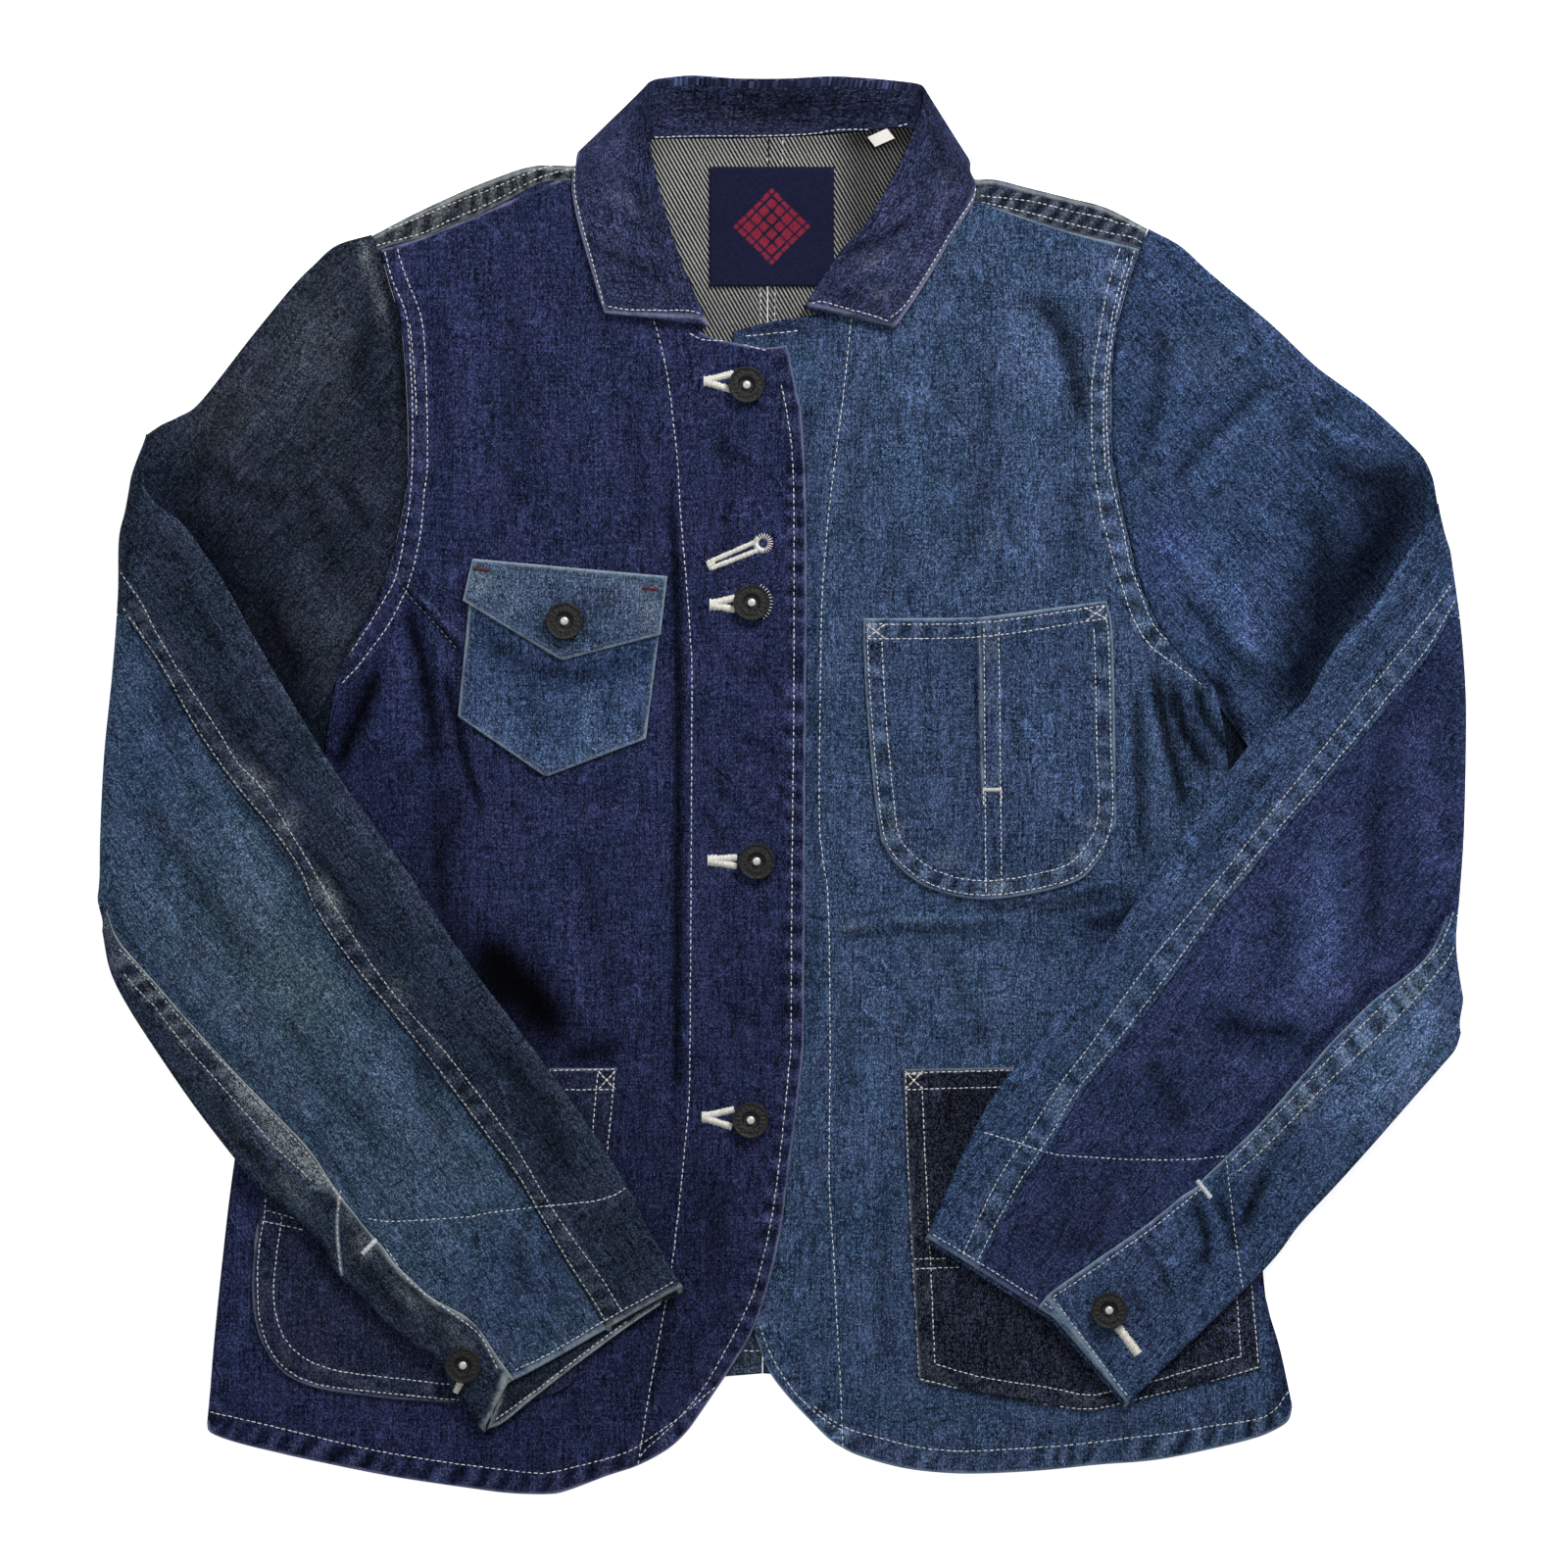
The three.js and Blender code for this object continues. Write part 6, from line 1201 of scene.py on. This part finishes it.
CFR = Cloth(83, (0.0500, 0.0790, 0.1450), calm=0.35, rows=[[(486, 580), (678, 597)], [(477, 612), (573, 668)], [(573, 668), (670, 644)]],
            worn=[([(482, 570), (681, 588)], 1.6), ([(472, 613), (573, 674)], 1.3), ([(573, 674), (674, 648)], 1.3), ([(472, 613), (482, 570)], 1.2), ([(674, 648), (681, 588)], 1.2)],
            spots=[(492, 596, 14, 12, 30, 0.5), (664, 625, 10, 20, 0, 0.4), (520, 615, 12, 16, 20, 0.2), (640, 600, 20, 8, 5, 0.2)],
            folds=[([(520, 590), (530, 630)], 14, 0.35), ([(610, 600), (620, 640)], 14, -0.3), ([(540, 634), (612, 634)], 20, -0.3)],
            tones=[("o", 576, 636, 40, 30, 0, (0.85, 0.86, 0.9)), ("l", [(482, 576), (681, 594)], 8, (1.2, 1.18, 1.1))])
chest_flap_right = panel("chest_flap_right", "chest_flap_right", "denim_pale", CFR_OUT, on(right_z, FR, 2), CFR, M_PALE, pitch=1.6)

CPL_U = [(881, 631), (881, 660), (884, 718), (892, 810), (899, 858), (917, 885), (952, 908), (1010, 918), (1090, 903), (1119, 881), (1139, 840), (1138, 760), (1137, 700), (1135, 640), (1129, 613)]
CPL_OUT = (curve([(899, 858), (917, 885), (952, 908), (1010, 918), (1090, 903), (1119, 881), (1139, 840)], 3.0), straight((881, 631), (1000, 630), (1129, 613)),
           curve([(899, 858), (892, 810), (884, 718), (881, 660), (881, 631)], 3.0), curve([(1139, 840), (1138, 760), (1137, 700), (1135, 640), (1129, 613)], 3.0))
cpl_line = curve(CPL_U, 3.0)
CPL_IN1, CPL_IN2 = offset(cpl_line, -4.5)[3:-3], offset(cpl_line, -19.0)[8:-8]
CPL_ROWS = [CPL_IN1[::5].tolist(), CPL_IN2[::5].tolist(), [(884, 637), (1000, 635.5), (1128, 618)], [(884, 652), (1000, 650), (1110, 634), (1130, 631)], [(1004, 640), (1006, 912)], [(1019, 638), (1022, 912)]]
CPL = Cloth(85, (0.0345, 0.0575, 0.1180), calm=0.28, rows=CPL_ROWS, pucker=0.2, worn=[(CPL_U, 1.3), ([(881, 631), (1000, 630), (1129, 613)], 1.2), ([(999, 631), (1003, 806)], 1.0)],
            strips=[([(1011, 636), (1013, 806)], 8, 0.45, 0.3), (offset(cpl_line, -11.5)[::6].tolist(), 8, 0.3, 0.12)],
            ropes=[(offset(cpl_line, -11.5)[::6].tolist(), -4, 9, 25, 0.34, 0.2, 0.30), ([(890, 644), (1000, 643), (1125, 625)], -4, 8, 23, 0.28, 0.2, 0.2)],
            spots=[(968, 875, 16, 9, 0, 0.35), (1100, 872, 16, 9, -30, 0.35), (1018, 905, 14, 8, 0, 0.45), (915, 845, 12, 7, 0, 0.35), (1112, 838, 12, 7, 0, 0.35)],
            folds=[([(940, 700), (950, 800), (960, 870)], 20, 0.4), ([(1060, 690), (1075, 790), (1060, 870)], 22, 0.4), ([(995, 640), (1000, 800)], 4, -0.5)],
            # painted shade: the dark line beside the raised divider strip at x 995-1000
            tones=[("o", 1070, 760, 50, 110, 0, (1.12, 1.14, 1.16)), ("l", [(995, 640), (1000, 806)], 5, (0.6, 0.6, 0.65))])
chest_pocket_left = panel("chest_pocket_left", "chest_pocket_left", "denim_teal", CPL_OUT, on(left_z, FL, 1, 0.3), CPL, M_TEAL, pitch=1.6)

HPR_OUT = (curve([(277, 1388), (295, 1405), (325, 1417), (370, 1424), (420, 1429), (520, 1432), (575, 1418), (594, 1396)], 3.0), straight((292, 1086), (460, 1090), (630, 1090)),
           curve([(277, 1388), (265, 1365), (259, 1340), (257, 1310), (259, 1280), (262, 1250), (292, 1086)], 3.0), straight((594, 1396), (608, 1330), (618, 1230), (630, 1090)))
HPR_ROWS = [[(271, 1222), (270, 1240), (266, 1260), (263, 1290), (263, 1320), (264, 1340), (270, 1365), (280, 1385), (300, 1403), (330, 1414), (380, 1420), (420, 1424), (460, 1428), (500, 1429)],
            [(288, 1240), (285, 1260), (281, 1290), (279, 1320), (281, 1340), (288, 1362), (300, 1378), (320, 1391), (350, 1400), (400, 1406), (450, 1412), (490, 1414)],
            [(540, 1093), (628, 1091)], [(540, 1112), (628, 1112)], [(627, 1092), (624, 1130), (619, 1180), (614, 1240)], [(610, 1095), (605, 1150), (602, 1200)], [(271, 1235), (300, 1243)], [(268, 1246), (310, 1255)]]
HPR = Cloth(87, (0.0170, 0.0220, 0.0490), calm=0.28, rows=HPR_ROWS, pucker=0.2, worn=[([(262, 1250), (257, 1310), (265, 1365), (295, 1405), (370, 1424), (465, 1433)], 1.2), ([(560, 1090), (630, 1090)], 1.3)],
            strips=[([(272, 1300), (276, 1350), (300, 1392), (360, 1408), (450, 1420)], 8, 0.3, 0.25)], tones=[("o", 330, 1330, 60, 60, 0, (1.05, 1.05, 1.08))])
hip_pocket_right = panel("hip_pocket_right", "hip_pocket_right", "denim_navy", HPR_OUT, on(right_z, FR, 1), HPR, M_NAVY, pitch=2.0)

HPL_OUT = (straight((938, 1410), (1112, 1441), (1287, 1396)), straight((921, 1091), (1090, 1088), (1262, 1084)), straight((938, 1410), (931, 1285), (921, 1091)), straight((1287, 1396), (1279, 1318), (1262, 1084)))
HPL_ROWS = [[(924, 1095), (927, 1200), (931, 1285), (938, 1405)], [(941, 1112), (944, 1180), (947, 1240), (950, 1300), (954, 1392)], [(938, 1407), (1000, 1422), (1060, 1432), (1112, 1438), (1150, 1430), (1200, 1418), (1240, 1408), (1285, 1395)],
            [(955, 1392), (1000, 1405), (1070, 1416), (1112, 1424), (1140, 1418), (1175, 1410), (1215, 1398), (1266, 1384)], [(1277, 1310), (1284, 1392)], [(1262, 1320), (1266, 1385)], [(924, 1095), (1037, 1092)], [(924, 1112), (1030, 1109)],
            [(931, 1285), (966, 1284)], [(933, 1295), (980, 1293)]]
HPL = Cloth(89, (0.0172, 0.0222, 0.0392), calm=0.28, rows=HPL_ROWS, pucker=0.2, worn=[([(938, 1410), (1112, 1441), (1287, 1396)], 1.2), ([(921, 1091), (938, 1410)], 1.0), ([(921, 1091), (1040, 1090)], 1.3)],
            strips=[([(934, 1120), (940, 1300), (947, 1400)], 8, 0.3, 0.2), ([(947, 1400), (1060, 1425), (1112, 1432), (1200, 1408), (1280, 1388)], 8, 0.3, 0.25)],
            tones=[("o", 980, 1150, 50, 70, 0, (0.6, 0.6, 0.58)), ("o", 1000, 1370, 90, 40, 10, (0.85, 0.85, 0.85)), ("o", 1270, 1350, 30, 60, 0, (1.3, 1.3, 1.3))])
hip_pocket_left = panel("hip_pocket_left", "hip_pocket_left", "denim_black", HPL_OUT, on(left_z, FL, 1), HPL, M_BLACK, pitch=2.0)


LIP_OUT = (curve([(497, 1458), (514, 1451), (545, 1426), (590, 1391), (640, 1354), (674, 1331)], 3.0), curve([(513, 1412), (545, 1395), (590, 1369), (640, 1341), (678, 1320)], 3.0),
           curve([(497, 1458), (506, 1435), (513, 1412)], 3.0), straight((674, 1331), (678, 1320)))
LIP = Cloth(91, (0.0150, 0.0210, 0.0350), calm=0.2, worn=[([(497, 1458), (514, 1451), (545, 1426), (590, 1391), (640, 1354), (674, 1331)], 2.2), ([(497, 1458), (506, 1435), (513, 1412)], 2.0)])
cuff_lip = panel("cuff_lip_right", None, "denim_charcoal", LIP_OUT, lambda x, y: CUFF_Z + 0.4 + 0 * x, LIP, M_CHAR, pitch=1.6)


# ------------------------------------------------------------------ label and tag
def label():
    us = np.linspace(0, 1, 96)
    v, u = np.meshgrid(us, us, indexing="ij")
    x, y = 724 + 127 * u, 292 - 122 * v
    d = np.minimum(np.minimum(u, 1 - u), np.minimum(v, 1 - v)) * 56
    z = neck_lift(x, y) + 2.75 + 0.18 * (2 * fbm(x / 40, y / 40, 7) - 1) * smooth(0, 4, d) - rounding(d, 1.0, 0.7)
    zb = neck_lift(x, y) + 1.75 + 0 * z
    verts, faces, pick = shell(world(x, y, z), world(x, y, zb), 8, 8)
    navy, red = np.array([0.0125, 0.0140, 0.0400]), np.array([0.235, 0.022, 0.045])
    a, b = (u - 0.5) * 57, (v - 0.5) * 55
    lozenge = (np.abs(a) + np.abs(b) < 17.5).astype(float)
    lines = ((np.abs((a + b) / 7.0 - np.round((a + b) / 7.0)) < 0.10) | (np.abs((a - b) / 7.0 - np.round((a - b) / 7.0)) < 0.10)).astype(float)
    m = (lozenge * (1 - lines))[..., None]
    weave = (0.85 + 0.3 * lattice(np.round(u * 95), np.round(v * 95), 3))[..., None]
    ob = finish_mesh("neck_label", verts, faces, M_LABEL, {"tone": pick((navy * (1 - m) + red * m) * weave)})
    return keep("neck_label", ob, "label_cloth", "neck_label")


label_ob = label()


def tag():
    c = np.array([(885, 140), (905, 131), (913, 141), (893, 150)], float)
    us = spacing(14, 10.0, (0.2, 0.5))
    vs = spacing(8, 5.5, (0.2, 0.5))
    v, u = np.meshgrid(vs, us, indexing="ij")
    p = ((1 - v) * (1 - u))[..., None] * c[3] + ((1 - v) * u)[..., None] * c[2] + (v * (1 - u))[..., None] * c[0] + (v * u)[..., None] * c[1]
    z = LAYER + T + 0.4 + 0.9 + 0.12 * np.sin(u * 5) + 0 * v
    verts, faces, pick = shell(world(p[..., 0], p[..., 1], z), world(p[..., 0], p[..., 1], z - 0.8), 2, 2)
    ob = finish_mesh("size_tag", verts, faces, M_TAG)
    return keep("size_tag", ob, "tag_cloth", "size_tag")


tag_ob = tag()


# ------------------------------------------------------------------ buttons
def lathe(name, prof, n, centre, mat, tilt=(0, 0), ripple=0.0):
    prof = np.array(prof, float)
    a = np.linspace(0, 2 * math.pi, n, endpoint=False)
    rr, zz = prof[:, 0][:, None] + 0 * a, prof[:, 1][:, None] + 0 * a
    if ripple:
        rmax = prof[:, 0].max()
        band = np.exp(-((rr / rmax - 0.70) / 0.12) ** 2) * (zz > prof[:, 1].max() * 0.6)
        zz = zz + ripple * band * (np.sin(a * 17) + 0.8 * np.sin(a * 41 + 1.3))
    x, y = rr * np.cos(a), rr * np.sin(a)
    z = zz + x * tilt[0] + y * tilt[1]
    cx, cy, cz = centre
    verts = np.stack([(cx - 799) * U + x * 0.001, (799 - cy) * U + y * 0.001, (cz + z) * 0.001], -1).reshape(-1, 3)
    faces = []
    for j in range(len(prof) - 1):
        for i in range(n):
            k = (i + 1) % n
            faces.append([j * n + i, j * n + k, (j + 1) * n + k, (j + 1) * n + i])
    faces.append([i for i in range(n)][::-1])
    faces.append([(len(prof) - 1) * n + i for i in range(n)])
    return finish_mesh(name, verts, faces, mat)


def button(name, p, z, R, tilt=(0, 0)):
    h = 3.3
    prof = [(0.3 * R, 0), (0.80 * R, 0.0), (0.94 * R, 0.22 * h), (1.0 * R, 0.48 * h), (1.0 * R, 0.76 * h), (0.975 * R, 0.90 * h), (0.94 * R, 0.94 * h), (0.90 * R, 0.91 * h), (0.86 * R, 0.83 * h), (0.80 * R, 0.81 * h),
            (0.74 * R, 0.82 * h), (0.68 * R, 0.84 * h), (0.62 * R, 0.86 * h), (0.55 * R, 0.87 * h), (0.49 * R, 0.84 * h), (0.45 * R, 0.72 * h), (0.42 * R, 0.52 * h), (0.36 * R, 0.42 * h), (0.24 * R, 0.44 * h)]
    ob = lathe(name, prof, 96, (p[0], p[1], z), M_BUTTON, tilt, ripple=0.13)
    keep(name, ob, "button_metal", name)
    riv = lathe(name + "_rivet", [(0.23 * R, 0.43 * h), (0.23 * R, 0.62 * h), (0.21 * R, 0.76 * h), (0.16 * R, 0.83 * h), (0.06 * R, 0.86 * h)], 24, (p[0], p[1], z), M_RIVET, tilt)
    keep(riv.name, riv, "button_metal")
    return ob


def over(p):
    return float(right_z(np.array(p[0], float), np.array(p[1], float))) + T + 0.4


BUTTONS = {"front_button_1": (762, 393), "front_button_2": (767, 615), "front_button_3": (772, 879), "front_button_4": (766, 1143)}
for bname, bp in BUTTONS.items():
    button(bname, bp, over(bp), 8.4, (rng.uniform(-0.03, 0.03), rng.uniform(-0.03, 0.03)))
button("flap_button_right", (576, 634), LAYER * 3 + T + 0.5, 8.6)
button("cuff_button_right", (473, 1392), CUFF_Z + SLEEVE_H2 + LAYER + 0.8, 8.2, (0.12, 0.1))
button("cuff_button_left", (1131, 1336), CUFF_Z + SLEEVE_H2 + LAYER + 0.8, 8.4, (-0.03, 0.02))


# ------------------------------------------------------------------ threads
class Thread:
    """many small stitches in one joined mesh"""

    def __init__(self, name):
        self.name, self.v, self.f, self.c = name, [], [], []

    def hit(self, bvh, x, y, under=False):
        wx, wy = (x - 799.0) * U, (799.0 - y) * U
        r = bvh.ray_cast(Vector((wx, wy, -0.05 if under else 0.06)), Vector((0, 0, 1 if under else -1)))
        return None if r[0] is None else r[0].z * 1000

    def dash(self, bvh, a, b, width=0.27, rise=0.24, colour=(0.7, 0.7, 0.7), sink=0.12, under=False):
        pts = [a, (a + b) / 2, b]
        z = [self.hit(bvh, p[0], p[1], under) for p in pts]
        if any(k is None for k in z) or max(z) - min(z) > 1.2:
            return
        d = b - a
        L = math.hypot(*d)
        n = np.array([-d[1], d[0]]) / L
        s = -1 if under else 1
        base = len(self.v)
        for k, (p, zz) in enumerate(zip(pts, z)):
            w = (width if k == 1 else width * 0.72) / 0.45
            lift = rise if k == 1 else -sink + rise * 0.4
            for q, dz in ((p + n * w, lift * 0.45), (p, lift), (p - n * w, lift * 0.45), (p, -0.2)):
                self.v.append(((q[0] - 799) * U, (799 - q[1]) * U, (zz + s * dz) * 0.001))
                self.c.append(colour)
        for k in range(2):
            for i in range(4):
                j = (i + 1) % 4
                q = [base + k * 4 + i, base + k * 4 + j, base + k * 4 + 4 + j, base + k * 4 + 4 + i]
                self.f.append(q)
        self.f.append([base + 3, base + 2, base + 1, base])
        self.f.append([base + 8, base + 9, base + 10, base + 11])

    def row(self, bvh, pts, pitch=2.8, fill=0.74, width=0.27, colour=(0.62, 0.63, 0.64), spread=0.35, under=False, straight_line=False):
        line = np.asarray(pts, float) if straight_line else curve(pts, 1.5)
        L = runs(line)[-1]
        n = max(1, int(L * 0.45 / pitch))
        for i in range(n):
            f0 = (i + 0.5 - fill / 2 + rng.uniform(-0.04, 0.04)) / n
            f1 = (i + 0.5 + fill / 2 + rng.uniform(-0.04, 0.04)) / n
            a, b = at(line, f0), at(line, f1)
            j = rng.uniform(-0.25, 0.25, 2)
            k = 1.0 - spread * rng.random() ** 1.5
            self.dash(bvh, a + j, b + j, width, colour=tuple(c * k for c in colour), under=under)

    def bar(self, bvh, a, b, width_px, pitch=0.55, colour=(0.72, 0.69, 0.62), thick=0.27, zig=0.0, rise=0.5):
        """satin stitches across a line"""
        a, b = np.array(a, float), np.array(b, float)
        d = b - a
        L = math.hypot(*d) * 0.45
        n = max(2, int(L / pitch))
        nrm = np.array([-d[1], d[0]]) / (math.hypot(*d) + 1e-9)
        for i in range(n):
            p = a + d * (i + 0.5) / n
            w = width_px / 2 * rng.uniform(0.85, 1.15)
            k = rng.uniform(0.78, 1.0)
            self.dash(bvh, p - nrm * w + d / n * zig, p + nrm * w - d / n * zig, thick, rise=rise, colour=tuple(c * k for c in colour), sink=0.0)

    def done(self):
        ob = finish_mesh(self.name, self.v, self.f, M_THREAD, {"tone": np.array(self.c)})
        bm_fix(ob)
        return keep(self.name, ob, "thread")


WHITE = (0.80, 0.84, 0.90)
CREAM = (0.86, 0.84, 0.78)
BLUE = (0.10, 0.13, 0.20)
RED = (0.16, 0.02, 0.035)
NATURAL = (0.45, 0.44, 0.40)

t_fr, t_fl, t_back = tree(front_right), tree(front_left), tree(back_right, back_left)
t_collar, t_sr, t_sl = tree(collar_ob), tree(*sleeve_r), tree(*sleeve_l)

s = Thread("stitches_front_right")
for r in (ARM_R_NEAR, ARM_R_FAR, ARM_R_TWIN, EDGE_R_ROW, HEM_R_ROW, TOP_R_ROW):
    s.row(t_fr, r, colour=WHITE)
s.row(t_fr, FACING_R, pitch=3.0, colour=WHITE)
s.row(t_fr, DART_R, colour=(0.3, 0.32, 0.38), width=0.2)
s.done()
s = Thread("stitches_front_left")
for r in (ARM_L_NEAR, ARM_L_FAR, ARM_L_TWIN, EDGE_L_ROW, HEM_L_ROW, NECK_L_ROW):
    s.row(t_fl, r, colour=WHITE)
s.row(t_fl, FACING_L, pitch=3.0, colour=WHITE)
s.row(t_fl, DART_L, colour=(0.3, 0.34, 0.4), width=0.2)
s.done()
s = Thread("stitches_collar")
for r in (WING_R_ROW, WING_R_ROW2, WING_L_ROW, WING_L_ROW2):
    s.row(t_collar, r, pitch=2.5, colour=WHITE)
s.row(t_collar, NECK_ROW, pitch=2.6, colour=WHITE)
s.done()
s = Thread("stitches_back")
for r in BAND_R_ROWS + BAND_L_ROWS:
    s.row(t_back, r, pitch=2.6, colour=WHITE)
for r in CB_ROWS:
    s.row(t_back, r, pitch=3.0, colour=(0.75, 0.75, 0.74))
s.row(t_back, [(744, 1379), (790, 1379)], pitch=2.6, colour=WHITE)
s.row(t_back, [(225, 1440), (400, 1410), (600, 1396), (778, 1390), (960, 1392), (1150, 1405), (1305, 1425)], colour=WHITE, under=True)
for dx in (-8, 7):
    s.row(t_back, [(780 + dx, 1395), (782 + dx, 700), (785 + dx, 205)], colour=WHITE, under=True)
for line, sg in ((ARM_R, 1), (ARM_L, -1)):
    for dx in (6, 20):
        s.row(t_back, [(p[0] + sg * dx, p[1]) for p in line], colour=WHITE, under=True)
s.done()
s = Thread("stitches_sleeve_right")
for r in (SR_A1, SR_A2, SR_B1, SR_B2, SR_VENT):
    s.row(t_sr, r, pitch=2.6, colour=(0.66, 0.68, 0.69))
s.row(t_sr, SR_FACING, pitch=2.6, colour=WHITE)
s.row(t_sr, [(525, 1398), (562, 1380), (602, 1356), (642, 1333), (688, 1307)], pitch=2.6, colour=WHITE)
s.row(t_sr, [(394, 1273), (421, 1309), (460, 1338), (490, 1362), (508, 1396)], pitch=2.6, colour=WHITE)
s.row(tree(cuff_lip), [(505, 1449), (545, 1420), (590, 1385), (640, 1348)], pitch=2.6, colour=WHITE)
s.bar(t_sr, (370, 1279), (385, 1264), 5, colour=WHITE)
s.done()
s = Thread("stitches_sleeve_left")
for r in (SL_A1, SL_A2, SL_B1, SL_B2, SL_VENT):
    s.row(t_sl, r, pitch=2.6, colour=(0.74, 0.76, 0.78))
for r in (SL_FACING, SL_FLAP_ROW, SL_END_ROW, SL_CUFF_ROW):
    s.row(t_sl, r, pitch=2.6, colour=WHITE)
s.bar(t_sl, (1221, 1204), (1235, 1222), 5, colour=WHITE)
s.done()

s = Thread("stitches_pockets")
t_p = tree(chest_pocket_right)
for r in CPR.rows:
    s.row(t_p, r, colour=BLUE, straight_line=True)
t_p = tree(chest_flap_right)
for r in CFR.rows:
    s.row(t_p, r, colour=(0.13, 0.17, 0.25), straight_line=True)
s.bar(t_p, (483, 580.5), (500, 582), 3.2, colour=RED)
s.bar(t_p, (655, 600), (671, 602), 3.2, colour=RED)
t_p = tree(chest_pocket_left)
for r in CPL.rows:
    s.row(t_p, r, pitch=2.6, colour=WHITE, straight_line=True)
for a, b in (((884, 637), (903, 652)), ((903, 637), (884, 652)), ((1106, 620), (1128, 631)), ((1128, 618), (1108, 634))):
    s.row(t_p, [a, b], pitch=2.2, colour=CREAM, width=0.34, fill=0.9)
s.bar(t_p, (1003, 806), (1022, 806), 4, colour=CREAM)
s.row(t_p, [(1003, 806), (1004, 822)], pitch=2.0, colour=CREAM, width=0.34, fill=0.95)
s.row(t_p, [(1022, 806), (1021, 822)], pitch=2.0, colour=CREAM, width=0.34, fill=0.95)
t_p = tree(hip_pocket_right)
for r in HPR.rows:
    s.row(t_p, r, pitch=2.6, colour=WHITE, straight_line=True)
for a, b in (((610, 1093), (628, 1112)), ((628, 1093), (610, 1112))):
    s.row(t_p, [a, b], pitch=2.2, colour=CREAM, width=0.34, fill=0.9)
t_p = tree(hip_pocket_left)
for r in HPL.rows:
    s.row(t_p, r, pitch=2.6, colour=WHITE, straight_line=True)
for a, b in (((923, 1093), (942, 1112)), ((942, 1093), (923, 1112)), ((923, 1096), (942, 1096))):
    s.row(t_p, [a, b], pitch=2.2, colour=CREAM, width=0.36, fill=0.95)
s.done()

# buttonholes: satin bars in cream thread
s = Thread("buttonholes")
for tail, lo, hi in (((718, 389), (749, 381), (747, 398)), ((724, 617), (750, 610), (750, 622)), ((722, 878), (752, 875), (752, 884)), ((716, 1140), (749, 1132), (747, 1150))):
    s.bar(t_fr, (tail[0] + 3, tail[1] - 1), lo, 7.0, colour=CREAM, pitch=0.40, thick=0.30)
    s.bar(t_fr, (tail[0] + 3, tail[1] + 1), hi, 7.0, colour=CREAM, pitch=0.40, thick=0.30)
    s.bar(t_fr, tail, (tail[0] + 9, tail[1]), 11, colour=CREAM, pitch=0.38, thick=0.30)
e0, e1 = np.array([724.0, 577.0]), np.array([775.0, 556.0])
ax = (e1 - e0) / np.hypot(*(e1 - e0))
nx = np.array([-ax[1], ax[0]])
s.bar(t_fr, e0 + nx * 3.2, e1 + nx * 4.4 - ax * 4, 5.0, colour=CREAM, pitch=0.42)
s.bar(t_fr, e0 - nx * 3.2, e1 - nx * 4.4 - ax * 4, 5.0, colour=CREAM, pitch=0.42)
s.bar(t_fr, e0 - ax * 2, e0 + ax * 6, 9, colour=CREAM, pitch=0.4)
eye = e1 + ax * 4
for k in range(30):
    a = math.pi * (1.35 * (k / 29) * 2 - 1.35)
    dr = math.cos(a) * ax + math.sin(a) * nx
    s.dash(t_fr, eye + dr * 4.6, eye + dr * 10.4, 0.27, 0.5, tuple(c * rng.uniform(0.8, 1) for c in CREAM), 0.0)
for k in range(13):
    a = math.radians(-62 + 9.5 * k)
    dr = np.array([math.cos(a), math.sin(a)])
    s.dash(t_fr, np.array([767.0, 615.0]) + dr * 17, np.array([767.0, 615.0]) + dr * 21.5, 0.2, 0.4, CREAM, 0.0)
s.bar(t_sr, (461, 1429), (471, 1408), 6.5, colour=CREAM, pitch=0.45)
s.bar(t_sl, (1140, 1353), (1161, 1381), 9, colour=CREAM, pitch=0.45)
s.bar(tree(chest_flap_right), (577, 612), (584, 606), 5, colour=BLUE)
s.done()

# ------------------------------------------------------------------ stage, light, camera
me = bpy.data.meshes.new("floor")
me.from_pydata([(-3, -3, -0.0002), (3, -3, -0.0002), (3, 3, -0.0002), (-3, 3, -0.0002)], [], [(0, 1, 2, 3)])
floor = bpy.data.objects.new("floor", me)
bpy.context.scene.collection.objects.link(floor)
paper = plain("paper", (0.97, 0.97, 0.97), 0.95, spec=0.1)
pb = paper.node_tree.nodes["Principled BSDF"]
pb.inputs["Emission Color"].default_value = (1, 1, 1, 1)
pb.inputs["Emission Strength"].default_value = 0.75
me.materials.append(paper)

scene = bpy.context.scene
scene.view_settings.view_transform = "Standard"
scene.view_settings.look = "None"
scene.view_settings.exposure = 0.0
w = bpy.data.worlds.new("studio")
scene.world = w
w.use_nodes = True
w.node_tree.nodes["Background"].inputs["Color"].default_value = (1, 1, 1, 1)
w.node_tree.nodes["Background"].inputs["Strength"].default_value = 0.32


def area_light(name, loc, size, power, target=(0, 0, 0)):
    li = bpy.data.lights.new(name, "AREA")
    li.shape = "SQUARE"
    li.size = size
    li.energy = power
    ob = bpy.data.objects.new(name, li)
    ob.location = loc
    ob.rotation_euler = (Vector(target) - Vector(loc)).to_track_quat("-Z", "Y").to_euler()
    scene.collection.objects.link(ob)
    return ob


area_light("key", (0.85, 1.75, 1.30), 0.7, 47)
area_light("fill", (-1.2, 0.4, 1.9), 1.4, 7)

cam = bpy.data.cameras.new("camera")
cam.lens = 200.0
cam.sensor_width = 36.0
cam.clip_end = 50.0
cam_ob = bpy.data.objects.new("camera", cam)
cam_ob.location = (0.00045, -0.00045, 4.004)
cam_ob.rotation_euler = (0, 0, 0)
scene.collection.objects.link(cam_ob)
scene.camera = cam_ob
